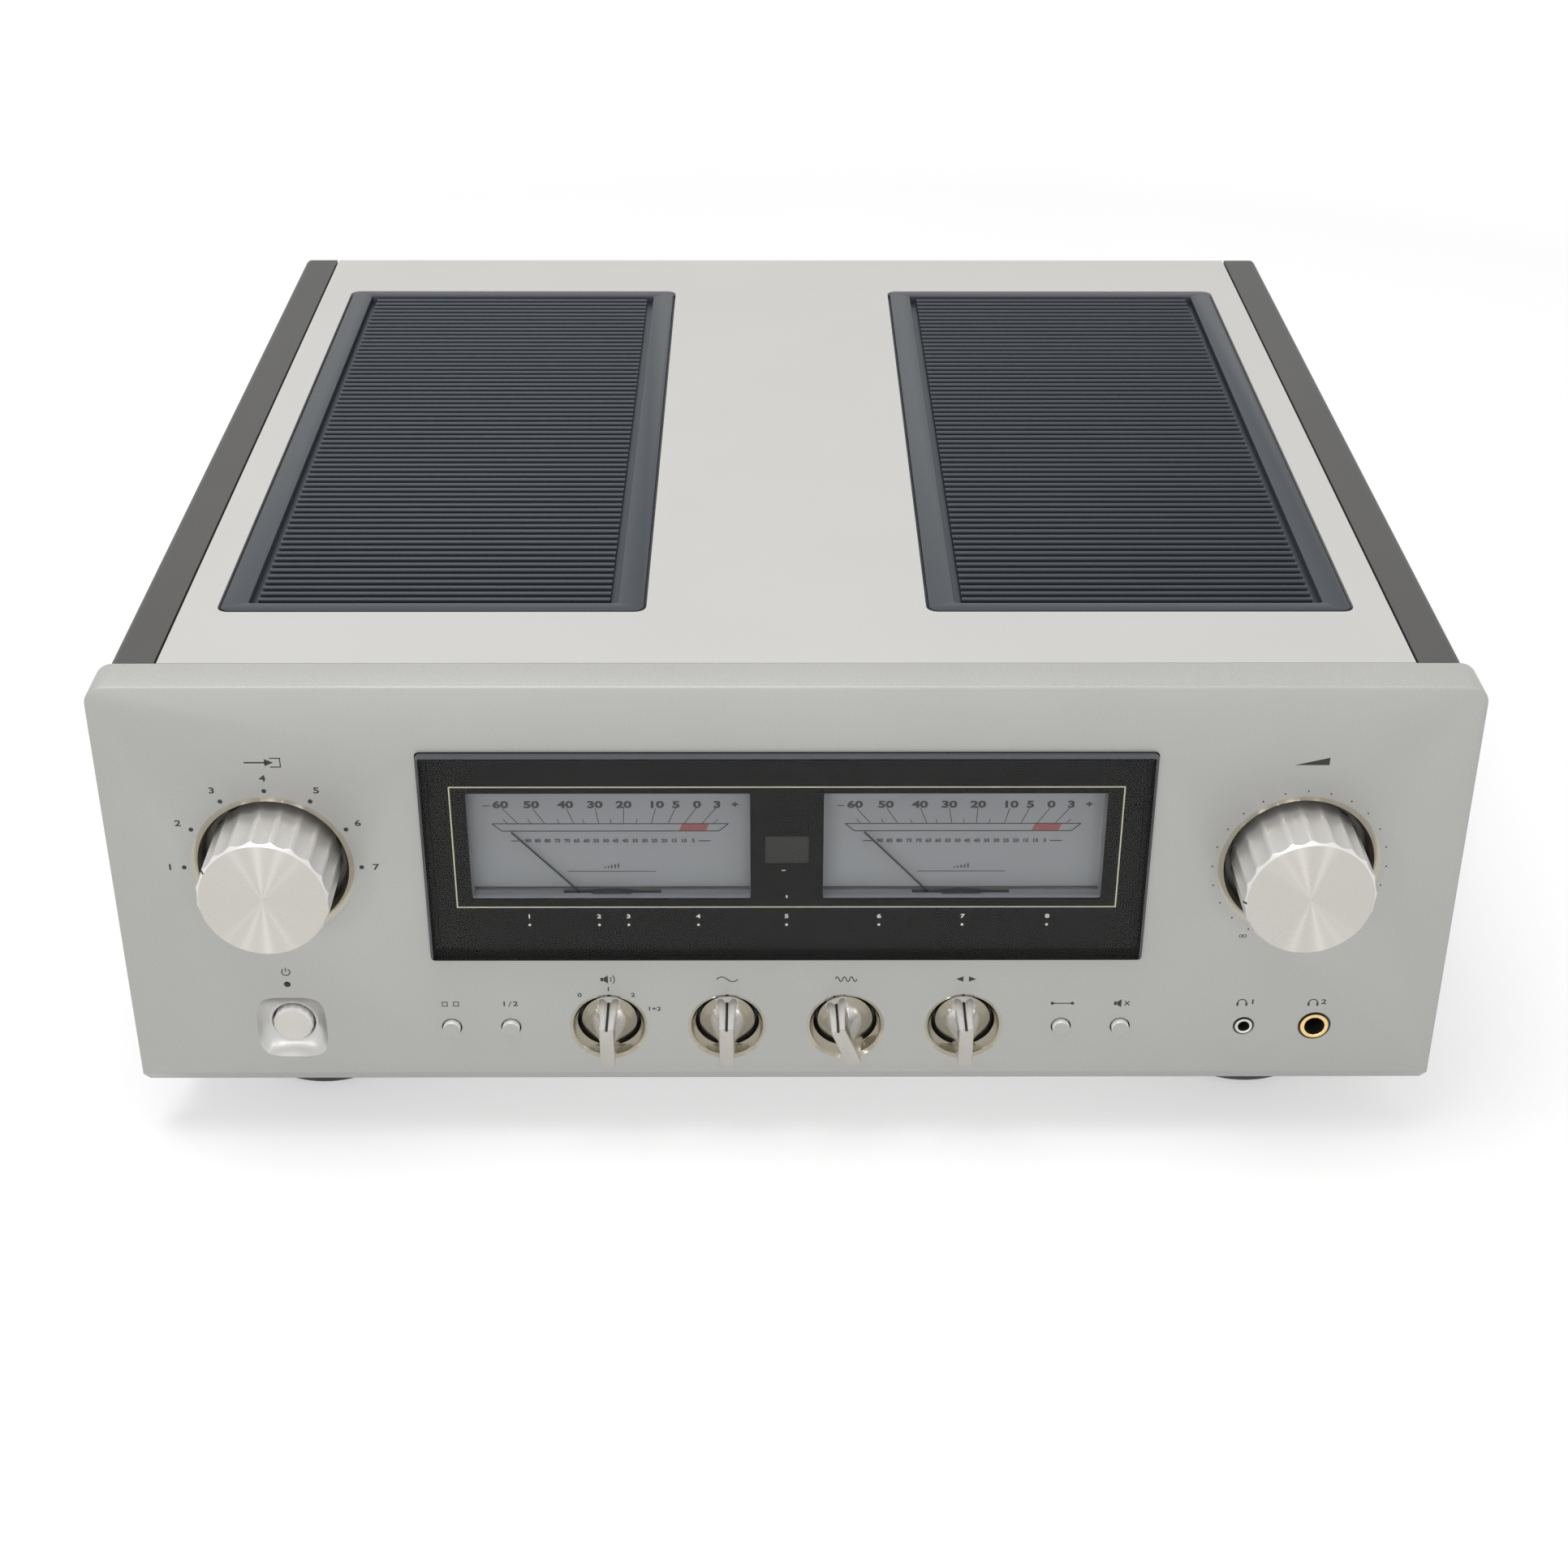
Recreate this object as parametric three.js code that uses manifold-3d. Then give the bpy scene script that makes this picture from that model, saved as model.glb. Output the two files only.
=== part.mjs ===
// Integrated amplifier with two level meters, in millimetres.
// X runs to the right, Y to the back and Z up, for someone who faces the front panel.
// The origin is on the floor, at the middle of the amplifier's outer width and depth.

import * as THREE from 'three';
import { mergeVertices } from 'three/addons/utils/BufferGeometryUtils.js';
import Module from 'manifold-3d';

const wasm = await Module();
wasm.setup();

// Driving sizes of the whole amplifier
const overallWidth = 440;
const overallHeight = 178;
const bodyDepth = 407;          // panel face to the rear end of the covers
const knobReach = 20;           // large knobs in front of the panel face
const terminalReach = 27;       // speaker terminals behind the covers
const footHeight = 20;

// Clearances and working allowances
const fit = 0.3;                // between pieces that pass through or sit inside one another
const overrun = 2;              // how far a cutter runs past what it cuts
const sink = 0.5;               // how far joined shapes of one piece run into each other
const weldTolerance = 0.0001;
const gridStep = 0.0001;        // shared planes land on one grid, so they meet exactly

// Front panel
const panelThickness = 16;
const panelOverhang = 5;        // past each side panel
const panelCornerRadius = 6.5;
const panelEdgeChamfer = 0.6;
const panelBottomBevel = 8;
const pocketDepth = 9;          // recess behind which a control is bolted

// Places of the controls on the front panel
const largeKnobInset = 53;      // large knob's axis to the panel's edge
const largeKnobHeightShare = 0.5791;
const controlRowZ = 47.4;
const smallKnobPitch = 40;
const buttonPairShare = 0.402;  // of the way from the outer small knob to the large one
const buttonPitch = 20;
const lampZ = 65;
const socketPitch = 24;         // between the two headphone sockets

// Large knobs: fluted, with a flat spun face
const largeKnobRadius = 21.4;
const largeKnobFlutes = 20;
const fluteDepth = 0.55;
const largeKnobChamfer = 1;
const largeLipRadius = 26.5;
const largeBowlRadius = 24.5;
const largeHoleRadius = 23.2;
const largeShaftRadius = 3;
const knobFloorGap = 1;         // between a knob's back and its pocket's floor

// Small knobs: a flared disc crossed by a tapered lever
const smallKnobRadius = 9.3;
const smallKnobReach = 12.2;    // lever in front of the panel face
const smallDiscDepth = 4;       // disc rim behind the panel face
const smallFlareRadius = 3.2;   // where the flare dies into the lever
const smallLipRadius = 13.3;
const smallBowlRadius = 12.1;
const smallHoleRadius = 10.9;
const smallShaftRadius = 2;
const leverFrontWidth = 4.8;
const leverBackWidth = 6.9;
const leverFrontHeight = 15.2;
const leverBackHeight = 16.8;
const leverNoseChamfer = 0.6;
const lipDepth = 0.8;
const bowlDepth = 4.5;

// Rest angles, clockwise from straight up as seen from the front
const inputSelectorAngle = -60;
const volumeAngle = -94;
const trebleAngle = -23;

// Push buttons and their switches
const buttonRadius = 2.95;
const buttonHoleRadius = 3.35;
const buttonReach = 1.8;
const buttonTravel = 1.2;
const buttonChamfer = 0.5;
const buttonFlangeRadius = 4.2;
const buttonFlangeThickness = 1.5;
const switchTowerWidth = 6;

// Power button in its dish
const dishHalfWidth = 11.7;
const dishHalfHeight = 12.2;
const dishDepth = 3.6;
const dishFloorRadius = 8.2;
const dishCornerPower = 4;
const powerRadius = 6.75;
const powerHoleRadius = 7.25;
const powerFaceDepth = 1.2;     // button face behind the panel face
const powerHeadLength = 11.8;
const powerChamfer = 0.7;
const powerPlungerRadius = 4;
const powerPlungerLength = 11;
const powerTravel = 2;
const powerSwitchWidth = 26;
const powerSwitchDepth = 22;

// Operation lamp
const lampRadius = 0.75;
const lampHoleRadius = 1.05;
const lampReach = 0.2;
const lampFlangeRadius = 2.5;
const lampFlangeThickness = 4;

// Headphone sockets
const smallCollarRadius = 3.45;
const smallBoreRadius = 1.75;
const smallSocketWidth = 12;
const smallBoreDepth = 15;
const largeCollarRadius = 5.4;
const largeBoreRadius = 3.2;
const largeSocketWidth = 16;
const largeBoreDepth = 31;
const collarReach = 0.4;
const socketWall = 2;

// Window: glass slab, mask, meters and level display
const windowKnobGap = 49;       // window's edge to a large knob's axis
const windowEdgeShares = [0.35127, 0.85];
const windowCornerRadius = 1.5;
const glassThickness = 4;
const glassReach = 2.4;         // proud of the panel face
const glassChamfer = 1;
const windowSeat = 3;           // ledge that the glass rests on
const maskThickness = 1.2;
const apertureInnerX = 11.85;   // nearest edge of a meter aperture to the middle
const apertureSideGap = 14.8;   // outer edge of an aperture to the window's edge
const apertureEdgeShares = [0.2868, 0.80203];
const displayHalfWidth = 7.1;
const displayEdgeShares = [0.4632, 0.59645];
const displayBodyMargin = 2;
const displayBodyDepth = 8;
const displayScreenInset = 0.3;

// Meters
const meterWall = 2;
const meterDepth = 14;
const dialDepth = 6;            // dial behind the mask
const pivotHeightShare = 0.13452;
const pivotPocketMargin = 5;    // beside the needle where it enters the pocket
const pivotPocketDrop = 3.6;    // pocket floor below the pivot
const bearingRadius = 1;
const bearingDepth = 5;
const needleTipShare = 0.57614;
const needleSideGap = 13.47;    // tip at rest to the aperture's side
const needleWidth = 0.5;
const needleThickness = 0.4;
const needleTail = 3;
const needleStandOff = 1.6;     // needle in front of the dial
const hubRadius = 2.4;
const hubThickness = 0.9;

// Controls behind the panel
const selectorBodyRadius = 18;
const selectorBodyDepth = 30;
const volumeBodyWidth = 44;
const volumeBodyDepth = 46;
const largeBushingRadius = 4.7;
const smallControlWidth = 20;
const smallControlDepth = 14;
const smallBushingRadius = 3.3;
const shaftLength = 12;         // inside its bushing
const boardThickness = 1.6;
const controlBoardMargin = 9;   // past the outer switches
const controlBoardHeight = 24;

// Covers and chassis
const sideWall = 2.5;
const railWidth = 14.2;
const railThickness = 3;
const railGap = 0.8;            // between a rail and the top cover
const sideCornerRadius = 2.5;
const coverThickness = 1.6;
const coverLip = 12;
const baseThickness = 2;
const baseLip = 14;
const baseSlotLength = 60;
const baseSlotWidth = 3.5;
const baseSlotPitch = 14;
const baseSlotCount = 6;
const rearThickness = 2;

// Louvred grilles
const grilleInnerX = 47.3;
const grilleSideGap = 12.9;     // grille's outer edge to the cover's edge
const grilleFrontGap = 53.1;    // panel face to the grille's front edge
const grilleRearGap = 42.5;     // grille's rear edge to the cover's rear
const grilleCutoutGap = 1;
const grilleCornerRadius = 3;
const grilleThickness = 8;
const grilleFlange = 3;         // under the cover's sheet, past its cut-out
const grilleFlangeThickness = 2;
const grilleSideBorder = 8.6;
const grilleEndBorder = 5.7;
const channelWidth = 2.7;
const channelDepth = 3;
const slatCount = 66;
const slatEndGap = 2.9;         // first and last slat to the border
const slatThickness = 1.7;

// Feet
const footTopRadius = 27;
const footWaistRadius = 29;
const footPadRadius = 25;
const footRimHeight = 5;
const footShoulder = 3;
const footInsetX = 50;
const footInsetFront = 57;
const footInsetRear = 50;

// Rear sockets and terminals
const jackPitchX = 21;
const jackPitchZ = 22;
const jackTopInset = 32;
const jackSideInset = 24.2;
const jackColumns = 5;          // one phono and four line inputs
const preampGap = 42;           // to the first of the pre-out and main-in columns
const preampColumns = 2;
const jackBarrelRadius = 4.15;
const jackBarrelLength = 8.6;
const jackBoreRadius = 1.6;
const jackPlateThickness = 2;
const jackPlateMargin = 9;
const balancedGap = 83;         // beside the last column of jacks
const balancedPitchX = 36;
const balancedPitchZ = 42;
const balancedTopInset = 38;
const balancedFlangeWidth = 26;
const balancedFlangeHeight = 31;
const balancedFlangeThickness = 2.4;
const balancedShellRadius = 11.4;
const balancedRecessRadius = 9.4;
const balancedRecessDepth = 11;
const balancedCoreRadius = 7.7;
const balancedCornerRadius = 3;
const speakerSideInset = 61.2;
const speakerBlockPitch = 124;
const speakerPostPitch = 24;
const speakerPostCount = 4;
const terminalRowShare = 0.29114; // height of the speaker posts and the power inlet
const speakerBlockMargin = 13;
const speakerBlockHalfHeight = 15;
const speakerBlockThickness = 4.5;
const studRadius = 3;
const studTipGap = 5;           // stud end inside the cap, before the cap's end
const capRadius = 8.6;
const capWaistRadius = 7.2;
const capWaistLength = 6;
const capChamfer = 1.2;
const groundInset = 38;         // beside the first column of jacks
const groundShare = 0.5588;     // of the way from the speaker block up to the jacks
const groundStudRadius = 2;
const groundStudLength = 11;
const groundNutRadius = 5;
const groundNutLength = 8;
const inletSideInset = 28.2;
const inletFlangeWidth = 50;
const inletFlangeHeight = 25;
const inletFlangeThickness = 2.5;
const inletCornerRadius = 4;
const inletCavityWidth = 24.4;
const inletCavityHeight = 16.6;
const inletCavityBevel = 4.2;
const inletCavityDepth = 17;
const inletWall = 1.8;
const inletBladeThickness = 2;
const inletBladeHeight = 4;
const inletBladeLength = 14;
const inletBladeSpread = 7;
const inletBladeLift = 2;

// Inside: supply and amplifier
const transformerWidth = 96;
const transformerDepthShare = 0.26536;
const transformerHeight = 104;
const transformerFrontGap = 26;
const windingBulge = 8;
const windingShare = 0.62;
const mountPlateThickness = 3;
const mountPlateMargin = 6;
const capacitorRadius = 22;
const capacitorHeight = 90;
const capacitorPitch = 48;
const capacitorFrontGap = 17;   // behind the transformer's mounting plate
const capacitorBoardMargin = 6;
const boardStandHeight = 8;
const boardStandRadius = 3;
const heatSinkInnerX = 72;
const heatSinkSideGap = 30.5;
const heatSinkFrontGap = 53;
const heatSinkRearGap = 23.6;   // to the amplifier board
const heatSinkTopGap = 17.7;    // below the grille
const heatSinkSpine = 7;
const heatSinkFin = 2.4;
const heatSinkFins = 15;
const amplifierBoardRearGap = 18.1;
const amplifierBoardDepthShare = 0.16216;
const amplifierBoardSideGap = 22.2;
const relayCount = 6;
const relayWidth = 22;
const relayDepth = 30;
const relayHeight = 18;

// Facet counts
const arcSteps = 4;
const hiddenArcSteps = 2;
const knobSteps = 32;
const smallKnobSteps = 16;
const drillSteps = 12;
const finePinSteps = 6;
const footSteps = 12;
const capSteps = 10;
const jackSteps = 8;
const balancedSteps = 10;
const dishSteps = 20;

// Planes that several pieces share
const panelHalf = overallWidth / 2;
const bodyHalf = panelHalf - panelOverhang;
const panelFaceY = knobReach - (knobReach + bodyDepth + terminalReach) / 2;
const panelBackY = panelFaceY + panelThickness;
const coverRearY = panelFaceY + bodyDepth;
const terminalTipY = coverRearY + terminalReach;
const rearFaceY = coverRearY - coverThickness - fit;
const rearInnerY = rearFaceY - rearThickness;
const baseFloorZ = footHeight + baseThickness;
const rearHalf = bodyHalf - sideWall - fit;
const coverHalf = bodyHalf - railWidth - railGap;
const panelHeight = overallHeight - footHeight;
const largeKnobX = panelHalf - largeKnobInset;
const largeKnobZ = footHeight + panelHeight * largeKnobHeightShare;
const smallKnobPlaces = [-1.5, -0.5, 0.5, 1.5].map((step) => [step * smallKnobPitch, controlRowZ]);
const [outerSmallKnobX] = smallKnobPlaces[3];
const buttonX = THREE.MathUtils.lerp(outerSmallKnobX, largeKnobX, buttonPairShare);
const windowWidth = 2 * (largeKnobX - windowKnobGap);
const [windowLowZ, windowHighZ] = windowEdgeShares.map((share) => footHeight + panelHeight * share);
const windowLevel = (share) => THREE.MathUtils.lerp(windowLowZ, windowHighZ, share);
const [apertureLowZ, apertureHighZ] = apertureEdgeShares.map(windowLevel);
const [displayLowZ, displayHighZ] = displayEdgeShares.map(windowLevel);
const apertureOuterX = windowWidth / 2 - apertureSideGap;
const meterMiddleX = (apertureInnerX + apertureOuterX) / 2;
const glassBackY = panelFaceY - glassReach + glassThickness;
const maskBackY = glassBackY + maskThickness;
const dialY = maskBackY + dialDepth;
const pivotZ = windowLevel(pivotHeightShare);
const needleRun = (apertureOuterX - apertureInnerX) / 2 - needleSideGap;
const needleRise = windowLevel(needleTipShare) - pivotZ;
const needleLength = Math.hypot(needleRun, needleRise);
const needleAngle = -THREE.MathUtils.radToDeg(Math.atan2(needleRun, needleRise));
const pivotPocketHalfWidth = (apertureLowZ - pivotZ) * needleRun / needleRise + pivotPocketMargin;
const grilleWidth = coverHalf - grilleSideGap - grilleInnerX;
const grilleLength = bodyDepth - grilleFrontGap - grilleRearGap;
const amplifierBoardBackY = rearInnerY - amplifierBoardRearGap;
const amplifierBoardFrontY = amplifierBoardBackY - bodyDepth * amplifierBoardDepthShare;
const transformerFrontY = panelBackY + transformerFrontGap;
const transformerDepth = bodyDepth * transformerDepthShare;
const heatSinkOuterX = bodyHalf - sideWall - heatSinkSideGap;
const heatSinkFrontY = panelBackY + heatSinkFrontGap;
const heatSinkBackY = amplifierBoardFrontY - heatSinkRearGap;
const heatSinkTopZ = overallHeight - grilleThickness - heatSinkTopGap;
const jackRowHighZ = overallHeight - jackTopInset;
const jackRowLowZ = jackRowHighZ - jackPitchZ;
const jackFirstX = rearHalf - jackSideInset;
const preampJackX = jackFirstX - (jackColumns - 1) * jackPitchX - preampGap;
const speakerZ = footHeight + panelHeight * terminalRowShare;
const inletZ = speakerZ;
const groundX = jackFirstX - groundInset;
const groundZ = THREE.MathUtils.lerp(
  speakerZ + speakerBlockHalfHeight, jackRowLowZ - jackPlateMargin, groundShare);
const balancedX = preampJackX - (preampColumns - 1) * jackPitchX - balancedGap;
const balancedHighZ = overallHeight - balancedTopInset;
const balancedLowZ = balancedHighZ - balancedPitchZ;
const speakerBlockRightX = rearHalf - speakerSideInset;
const speakerBlockLeftX = speakerBlockRightX - speakerBlockPitch;
const inletX = inletSideInset - rearHalf;

// Welds a three.js geometry into one closed, indexed shell that faces outwards, as a boolean solid
function solid(geometry) {
  const bare = geometry.clone();
  bare.deleteAttribute('normal');
  bare.deleteAttribute('uv');
  const rough = bare.getAttribute('position');
  rough.array.forEach((value, i) => { rough.array[i] = Math.round(value / gridStep) * gridStep; });
  const welded = mergeVertices(bare, weldTolerance);
  const points = welded.getAttribute('position');
  const source = welded.getIndex().array;
  const corners = [0, 1, 2].map(() => new THREE.Vector3());
  const triangles = [];
  let volume = 0;
  for (let i = 0; i < source.length; i += 3) {
    const [a, b, c] = [source[i], source[i + 1], source[i + 2]];
    if (a === b || b === c || c === a) continue;
    [a, b, c].forEach((vertex, k) => corners[k].fromBufferAttribute(points, vertex));
    volume += corners[0].dot(corners[1].clone().cross(corners[2]));
    triangles.push([a, b, c]);
  }
  const outward = volume > 0 ? triangles : triangles.map(([a, b, c]) => [a, c, b]);
  return new wasm.Manifold(new wasm.Mesh({
    numProp: 3,
    vertProperties: new Float32Array(points.array),
    triVerts: new Uint32Array(outward.flat()),
  }));
}

function cut(base, ...tools) {
  return tools.reduce((rest, tool) => rest.subtract(tool), base);
}

function join(base, ...others) {
  return others.reduce((whole, other) => whole.add(other), base);
}

// A box given by its spans along X, Y and Z
function block([x0, x1], [y0, y1], [z0, z1]) {
  const geometry = new THREE.BoxGeometry(x1 - x0, y1 - y0, z1 - z0);
  return solid(geometry.translate((x0 + x1) / 2, (y0 + y1) / 2, (z0 + z1) / 2));
}

function around(middle, width) {
  return [middle - width / 2, middle + width / 2];
}

// A prism along Y whose outline is drawn in X and Z
function prismY(outline, yFront, yBack, steps = arcSteps) {
  const options = { depth: yBack - yFront, bevelEnabled: false, curveSegments: steps };
  const geometry = new THREE.ExtrudeGeometry(outline, options);
  return solid(geometry.rotateX(Math.PI / 2).translate(0, yBack, 0));
}

// A prism along X whose outline is drawn in Y and Z
function prismX(outline, xLeft, xRight, steps = arcSteps) {
  const options = { depth: xRight - xLeft, bevelEnabled: false, curveSegments: steps };
  const turn = new THREE.Matrix4().makeBasis(
    new THREE.Vector3(0, 1, 0), new THREE.Vector3(0, 0, 1), new THREE.Vector3(1, 0, 0));
  const geometry = new THREE.ExtrudeGeometry(outline, options).applyMatrix4(turn);
  return solid(geometry.translate(xLeft, 0, 0));
}

// A prism along Z whose outline is drawn in X and Y
function prismZ(outline, zLow, zHigh) {
  const options = { depth: zHigh - zLow, bevelEnabled: false, curveSegments: arcSteps };
  return solid(new THREE.ExtrudeGeometry(outline, options).translate(0, 0, zLow));
}

function polygon(points) {
  return new THREE.Shape(points.map(([u, v]) => new THREE.Vector2(u, v)));
}

// A rectangle with one radius on each corner, in the order low-low, high-low, high-high, low-high
function roundedRectangle([u0, u1], [v0, v1], radii) {
  const [a, b, c, d] = Array.isArray(radii) ? radii : [radii, radii, radii, radii];
  const shape = new THREE.Shape();
  const quarter = Math.PI / 2;
  const corner = (u, v, radius, start) => {
    if (radius > 0) shape.absarc(u, v, radius, start, start + quarter, false);
  };
  shape.moveTo(u0 + a, v0);
  shape.lineTo(u1 - b, v0);
  corner(u1 - b, v0 + b, b, -quarter);
  shape.lineTo(u1, v1 - c);
  corner(u1 - c, v1 - c, c, 0);
  shape.lineTo(u0 + d, v1);
  corner(u0 + d, v1 - d, d, quarter);
  shape.lineTo(u0, v0 + a);
  corner(u0 + a, v0 + a, a, 2 * quarter);
  return shape;
}

// A turned shape about an axis along Y: its profile lists radius and Y
function turned(profile, [x, z], steps) {
  const points = profile.map(([radius, y]) => new THREE.Vector2(radius, y));
  return solid(new THREE.LatheGeometry(points, steps).translate(x, 0, z));
}

// A turned shape about an upright axis: its profile lists radius and Z
function turnedUpright(profile, [x, y], steps) {
  const points = profile.map(([radius, z]) => new THREE.Vector2(radius, z));
  return solid(new THREE.LatheGeometry(points, steps).rotateX(Math.PI / 2).translate(x, y, 0));
}

// A round bar or drill along Y
function bar(radius, [x, z], yFront, yBack, steps) {
  return turned([[0, yFront], [radius, yFront], [radius, yBack], [0, yBack]], [x, z], steps);
}

// A skin through rings with the same number of points, closed by flat ends
function loft(rings) {
  const count = rings[0].length;
  const positions = rings.flat().flatMap((point) => point.toArray());
  const middles = [rings[0], rings[rings.length - 1]].map((ring) => ring
    .reduce((sum, point) => sum.add(point), new THREE.Vector3()).divideScalar(count));
  middles.forEach((middle) => positions.push(...middle.toArray()));
  const index = [];
  const last = rings.length - 1;
  for (let i = 0; i < count; i += 1) {
    const next = (i + 1) % count;
    for (let r = 0; r < last; r += 1) {
      const [a, b] = [r * count + i, r * count + next];
      index.push(a, b, a + count, b, b + count, a + count);
    }
    index.push(rings.length * count, next, i);
    index.push(rings.length * count + 1, last * count + i, last * count + next);
  }
  const geometry = new THREE.BufferGeometry();
  geometry.setAttribute('position', new THREE.Float32BufferAttribute(positions, 3));
  geometry.setIndex(index);
  return solid(geometry);
}

// A ring of points in a plane across Y, between a rectangle and an ellipse in shape
function squareRing([x, z], halfWidth, halfHeight, power, y) {
  return Array.from({ length: dishSteps }, (_, i) => {
    const angle = (i / dishSteps) * 2 * Math.PI;
    const soft = (value) => Math.sign(value) * Math.abs(value) ** (2 / power);
    return new THREE.Vector3(
      x + halfWidth * soft(Math.cos(angle)), y, z + halfHeight * soft(Math.sin(angle)));
  });
}

function outlineRing(outline, y) {
  return outline.getPoints(hiddenArcSteps).slice(0, -1)
    .map((point) => new THREE.Vector3(point.x, y, point.y));
}

// Turns a solid about an axis along Y through [x, z], clockwise as seen from the front
function turnAbout(body, [x, z], degrees) {
  return body.translate([-x, 0, -z]).rotate([0, degrees, 0]).translate([x, 0, z]);
}

const amplifier = new THREE.Group();
amplifier.name = 'integrated_amplifier';

// Adds a finished solid to the amplifier as a named mesh
function place(name, body, material) {
  const mesh = body.getMesh();
  const geometry = new THREE.BufferGeometry();
  geometry.setAttribute('position', new THREE.Float32BufferAttribute(mesh.vertProperties, 3));
  geometry.setIndex(new THREE.Uint32BufferAttribute(mesh.triVerts, 1));
  geometry.computeVertexNormals();
  const piece = new THREE.Mesh(geometry, material.clone());
  piece.name = name;
  amplifier.add(piece);
}

function finish(color, roughness, metalness) {
  return new THREE.MeshStandardMaterial({ color, roughness, metalness });
}

const blastedAluminium = finish(0xc9c9c2, 0.55, 0.9);
const spunAluminium = finish(0xd6d3ca, 0.25, 1);
const silverPaint = finish(0xd2d2cc, 0.55, 0.4);
const darkPaint = finish(0x575756, 0.6, 0.3);
const grillePaint = finish(0x444b50, 0.5, 0.4);
const zincSteel = finish(0xb4b6b5, 0.4, 0.9);
const blackPlastic = finish(0x1b1b1b, 0.5, 0);
const smokedGlass = finish(0x20221f, 0.05, 0);
const dialGrey = finish(0x96999b, 0.7, 0);
const castIron = finish(0x3a3b3d, 0.5, 0.7);
const goldPlate = finish(0xc9a24f, 0.25, 1);
const circuitGreen = finish(0x2c5a3a, 0.6, 0);
const bareAluminium = finish(0xa7a9ab, 0.4, 0.9);
const lensRed = finish(0x5c1512, 0.3, 0);

const sides = [['left', -1], ['right', 1]];
const largeKnobPlaces = [[-largeKnobX, largeKnobZ], [largeKnobX, largeKnobZ]];
const buttonPlaces = [-1, 1].flatMap((side) => [-0.5, 0.5]
  .map((step) => [side * buttonX + step * buttonPitch, controlRowZ]));
const powerPlace = [-largeKnobX, controlRowZ];
const lampPlace = [-largeKnobX, lampZ];
const smallSocketPlace = [largeKnobX - socketPitch / 2, controlRowZ];
const largeSocketPlace = [largeKnobX + socketPitch / 2, controlRowZ];

// Front panel

// The turned recess round a knob: a lip, a bowl and a straight pocket
function knobPocket(centre, lipRadius, bowlRadius, holeRadius, steps) {
  return turned([
    [0, panelFaceY - overrun],
    [lipRadius, panelFaceY - overrun],
    [lipRadius, panelFaceY],
    [bowlRadius, panelFaceY + lipDepth],
    [holeRadius, panelFaceY + bowlDepth],
    [holeRadius, panelFaceY + pocketDepth],
    [0, panelFaceY + pocketDepth],
  ], centre, steps);
}

// The concave dish that sinks the power button, from a rounded square to a circle
function powerDish() {
  const stages = 3;
  const rings = [
    squareRing(powerPlace, dishHalfWidth, dishHalfHeight, dishCornerPower, panelFaceY - overrun)];
  for (let i = 0; i <= stages; i += 1) {
    const share = i / stages;
    const y = panelFaceY + dishDepth * Math.sin(share * Math.PI / 2);
    const halfWidth = THREE.MathUtils.lerp(dishHalfWidth, dishFloorRadius, share);
    const halfHeight = THREE.MathUtils.lerp(dishHalfHeight, dishFloorRadius, share);
    rings.push(squareRing(powerPlace, halfWidth, halfHeight, dishCornerPower - 2 * share, y));
  }
  return loft(rings);
}

function makeFrontPanel() {
  const top = overallHeight;
  const radii = [0, 0, panelCornerRadius, panelCornerRadius];
  const face = roundedRectangle([-panelHalf, panelHalf], [footHeight, top], radii);
  const side = polygon([
    [panelFaceY, footHeight + panelBottomBevel],
    [panelFaceY + panelBottomBevel, footHeight],
    [panelBackY, footHeight],
    [panelBackY, top],
    [panelFaceY + panelEdgeChamfer, top],
    [panelFaceY, top - panelEdgeChamfer],
  ]);
  const plan = polygon([
    [-panelHalf, panelBackY],
    [-panelHalf, panelFaceY + panelEdgeChamfer],
    [-panelHalf + panelEdgeChamfer, panelFaceY],
    [panelHalf - panelEdgeChamfer, panelFaceY],
    [panelHalf, panelFaceY + panelEdgeChamfer],
    [panelHalf, panelBackY],
  ]);
  const plate = prismY(face, panelFaceY, panelBackY)
    .intersect(prismX(side, -panelHalf - overrun, panelHalf + overrun))
    .intersect(prismZ(plan, footHeight - overrun, top + overrun));
  const through = [panelFaceY - overrun, panelBackY + overrun];
  const glassSeat = roundedRectangle(
    around(0, windowWidth + 2 * fit), [windowLowZ - fit, windowHighZ + fit], windowCornerRadius);
  const windowHole = [
    around(0, windowWidth - 2 * windowSeat), [windowLowZ + windowSeat, windowHighZ - windowSeat]];
  return cut(
    plate,
    prismY(glassSeat, panelFaceY - overrun, glassBackY),
    block(windowHole[0], through, windowHole[1]),
    ...largeKnobPlaces.map((centre) => knobPocket(
      centre, largeLipRadius, largeBowlRadius, largeHoleRadius, knobSteps)),
    ...largeKnobPlaces.map((centre) => bar(largeBushingRadius + fit, centre, ...through, drillSteps)),
    ...smallKnobPlaces.map((centre) => knobPocket(
      centre, smallLipRadius, smallBowlRadius, smallHoleRadius, smallKnobSteps)),
    ...smallKnobPlaces.map((centre) => bar(smallBushingRadius + fit, centre, ...through, drillSteps)),
    ...buttonPlaces.map((centre) => bar(buttonHoleRadius, centre, ...through, drillSteps)),
    powerDish(),
    bar(powerHoleRadius, powerPlace, ...through, dishSteps),
    bar(lampHoleRadius, lampPlace, ...through, finePinSteps),
    bar(smallCollarRadius + fit, smallSocketPlace, ...through, drillSteps),
    bar(largeCollarRadius + fit, largeSocketPlace, ...through, drillSteps),
  );
}

place('front_panel', makeFrontPanel(), blastedAluminium);

// Knobs

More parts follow.
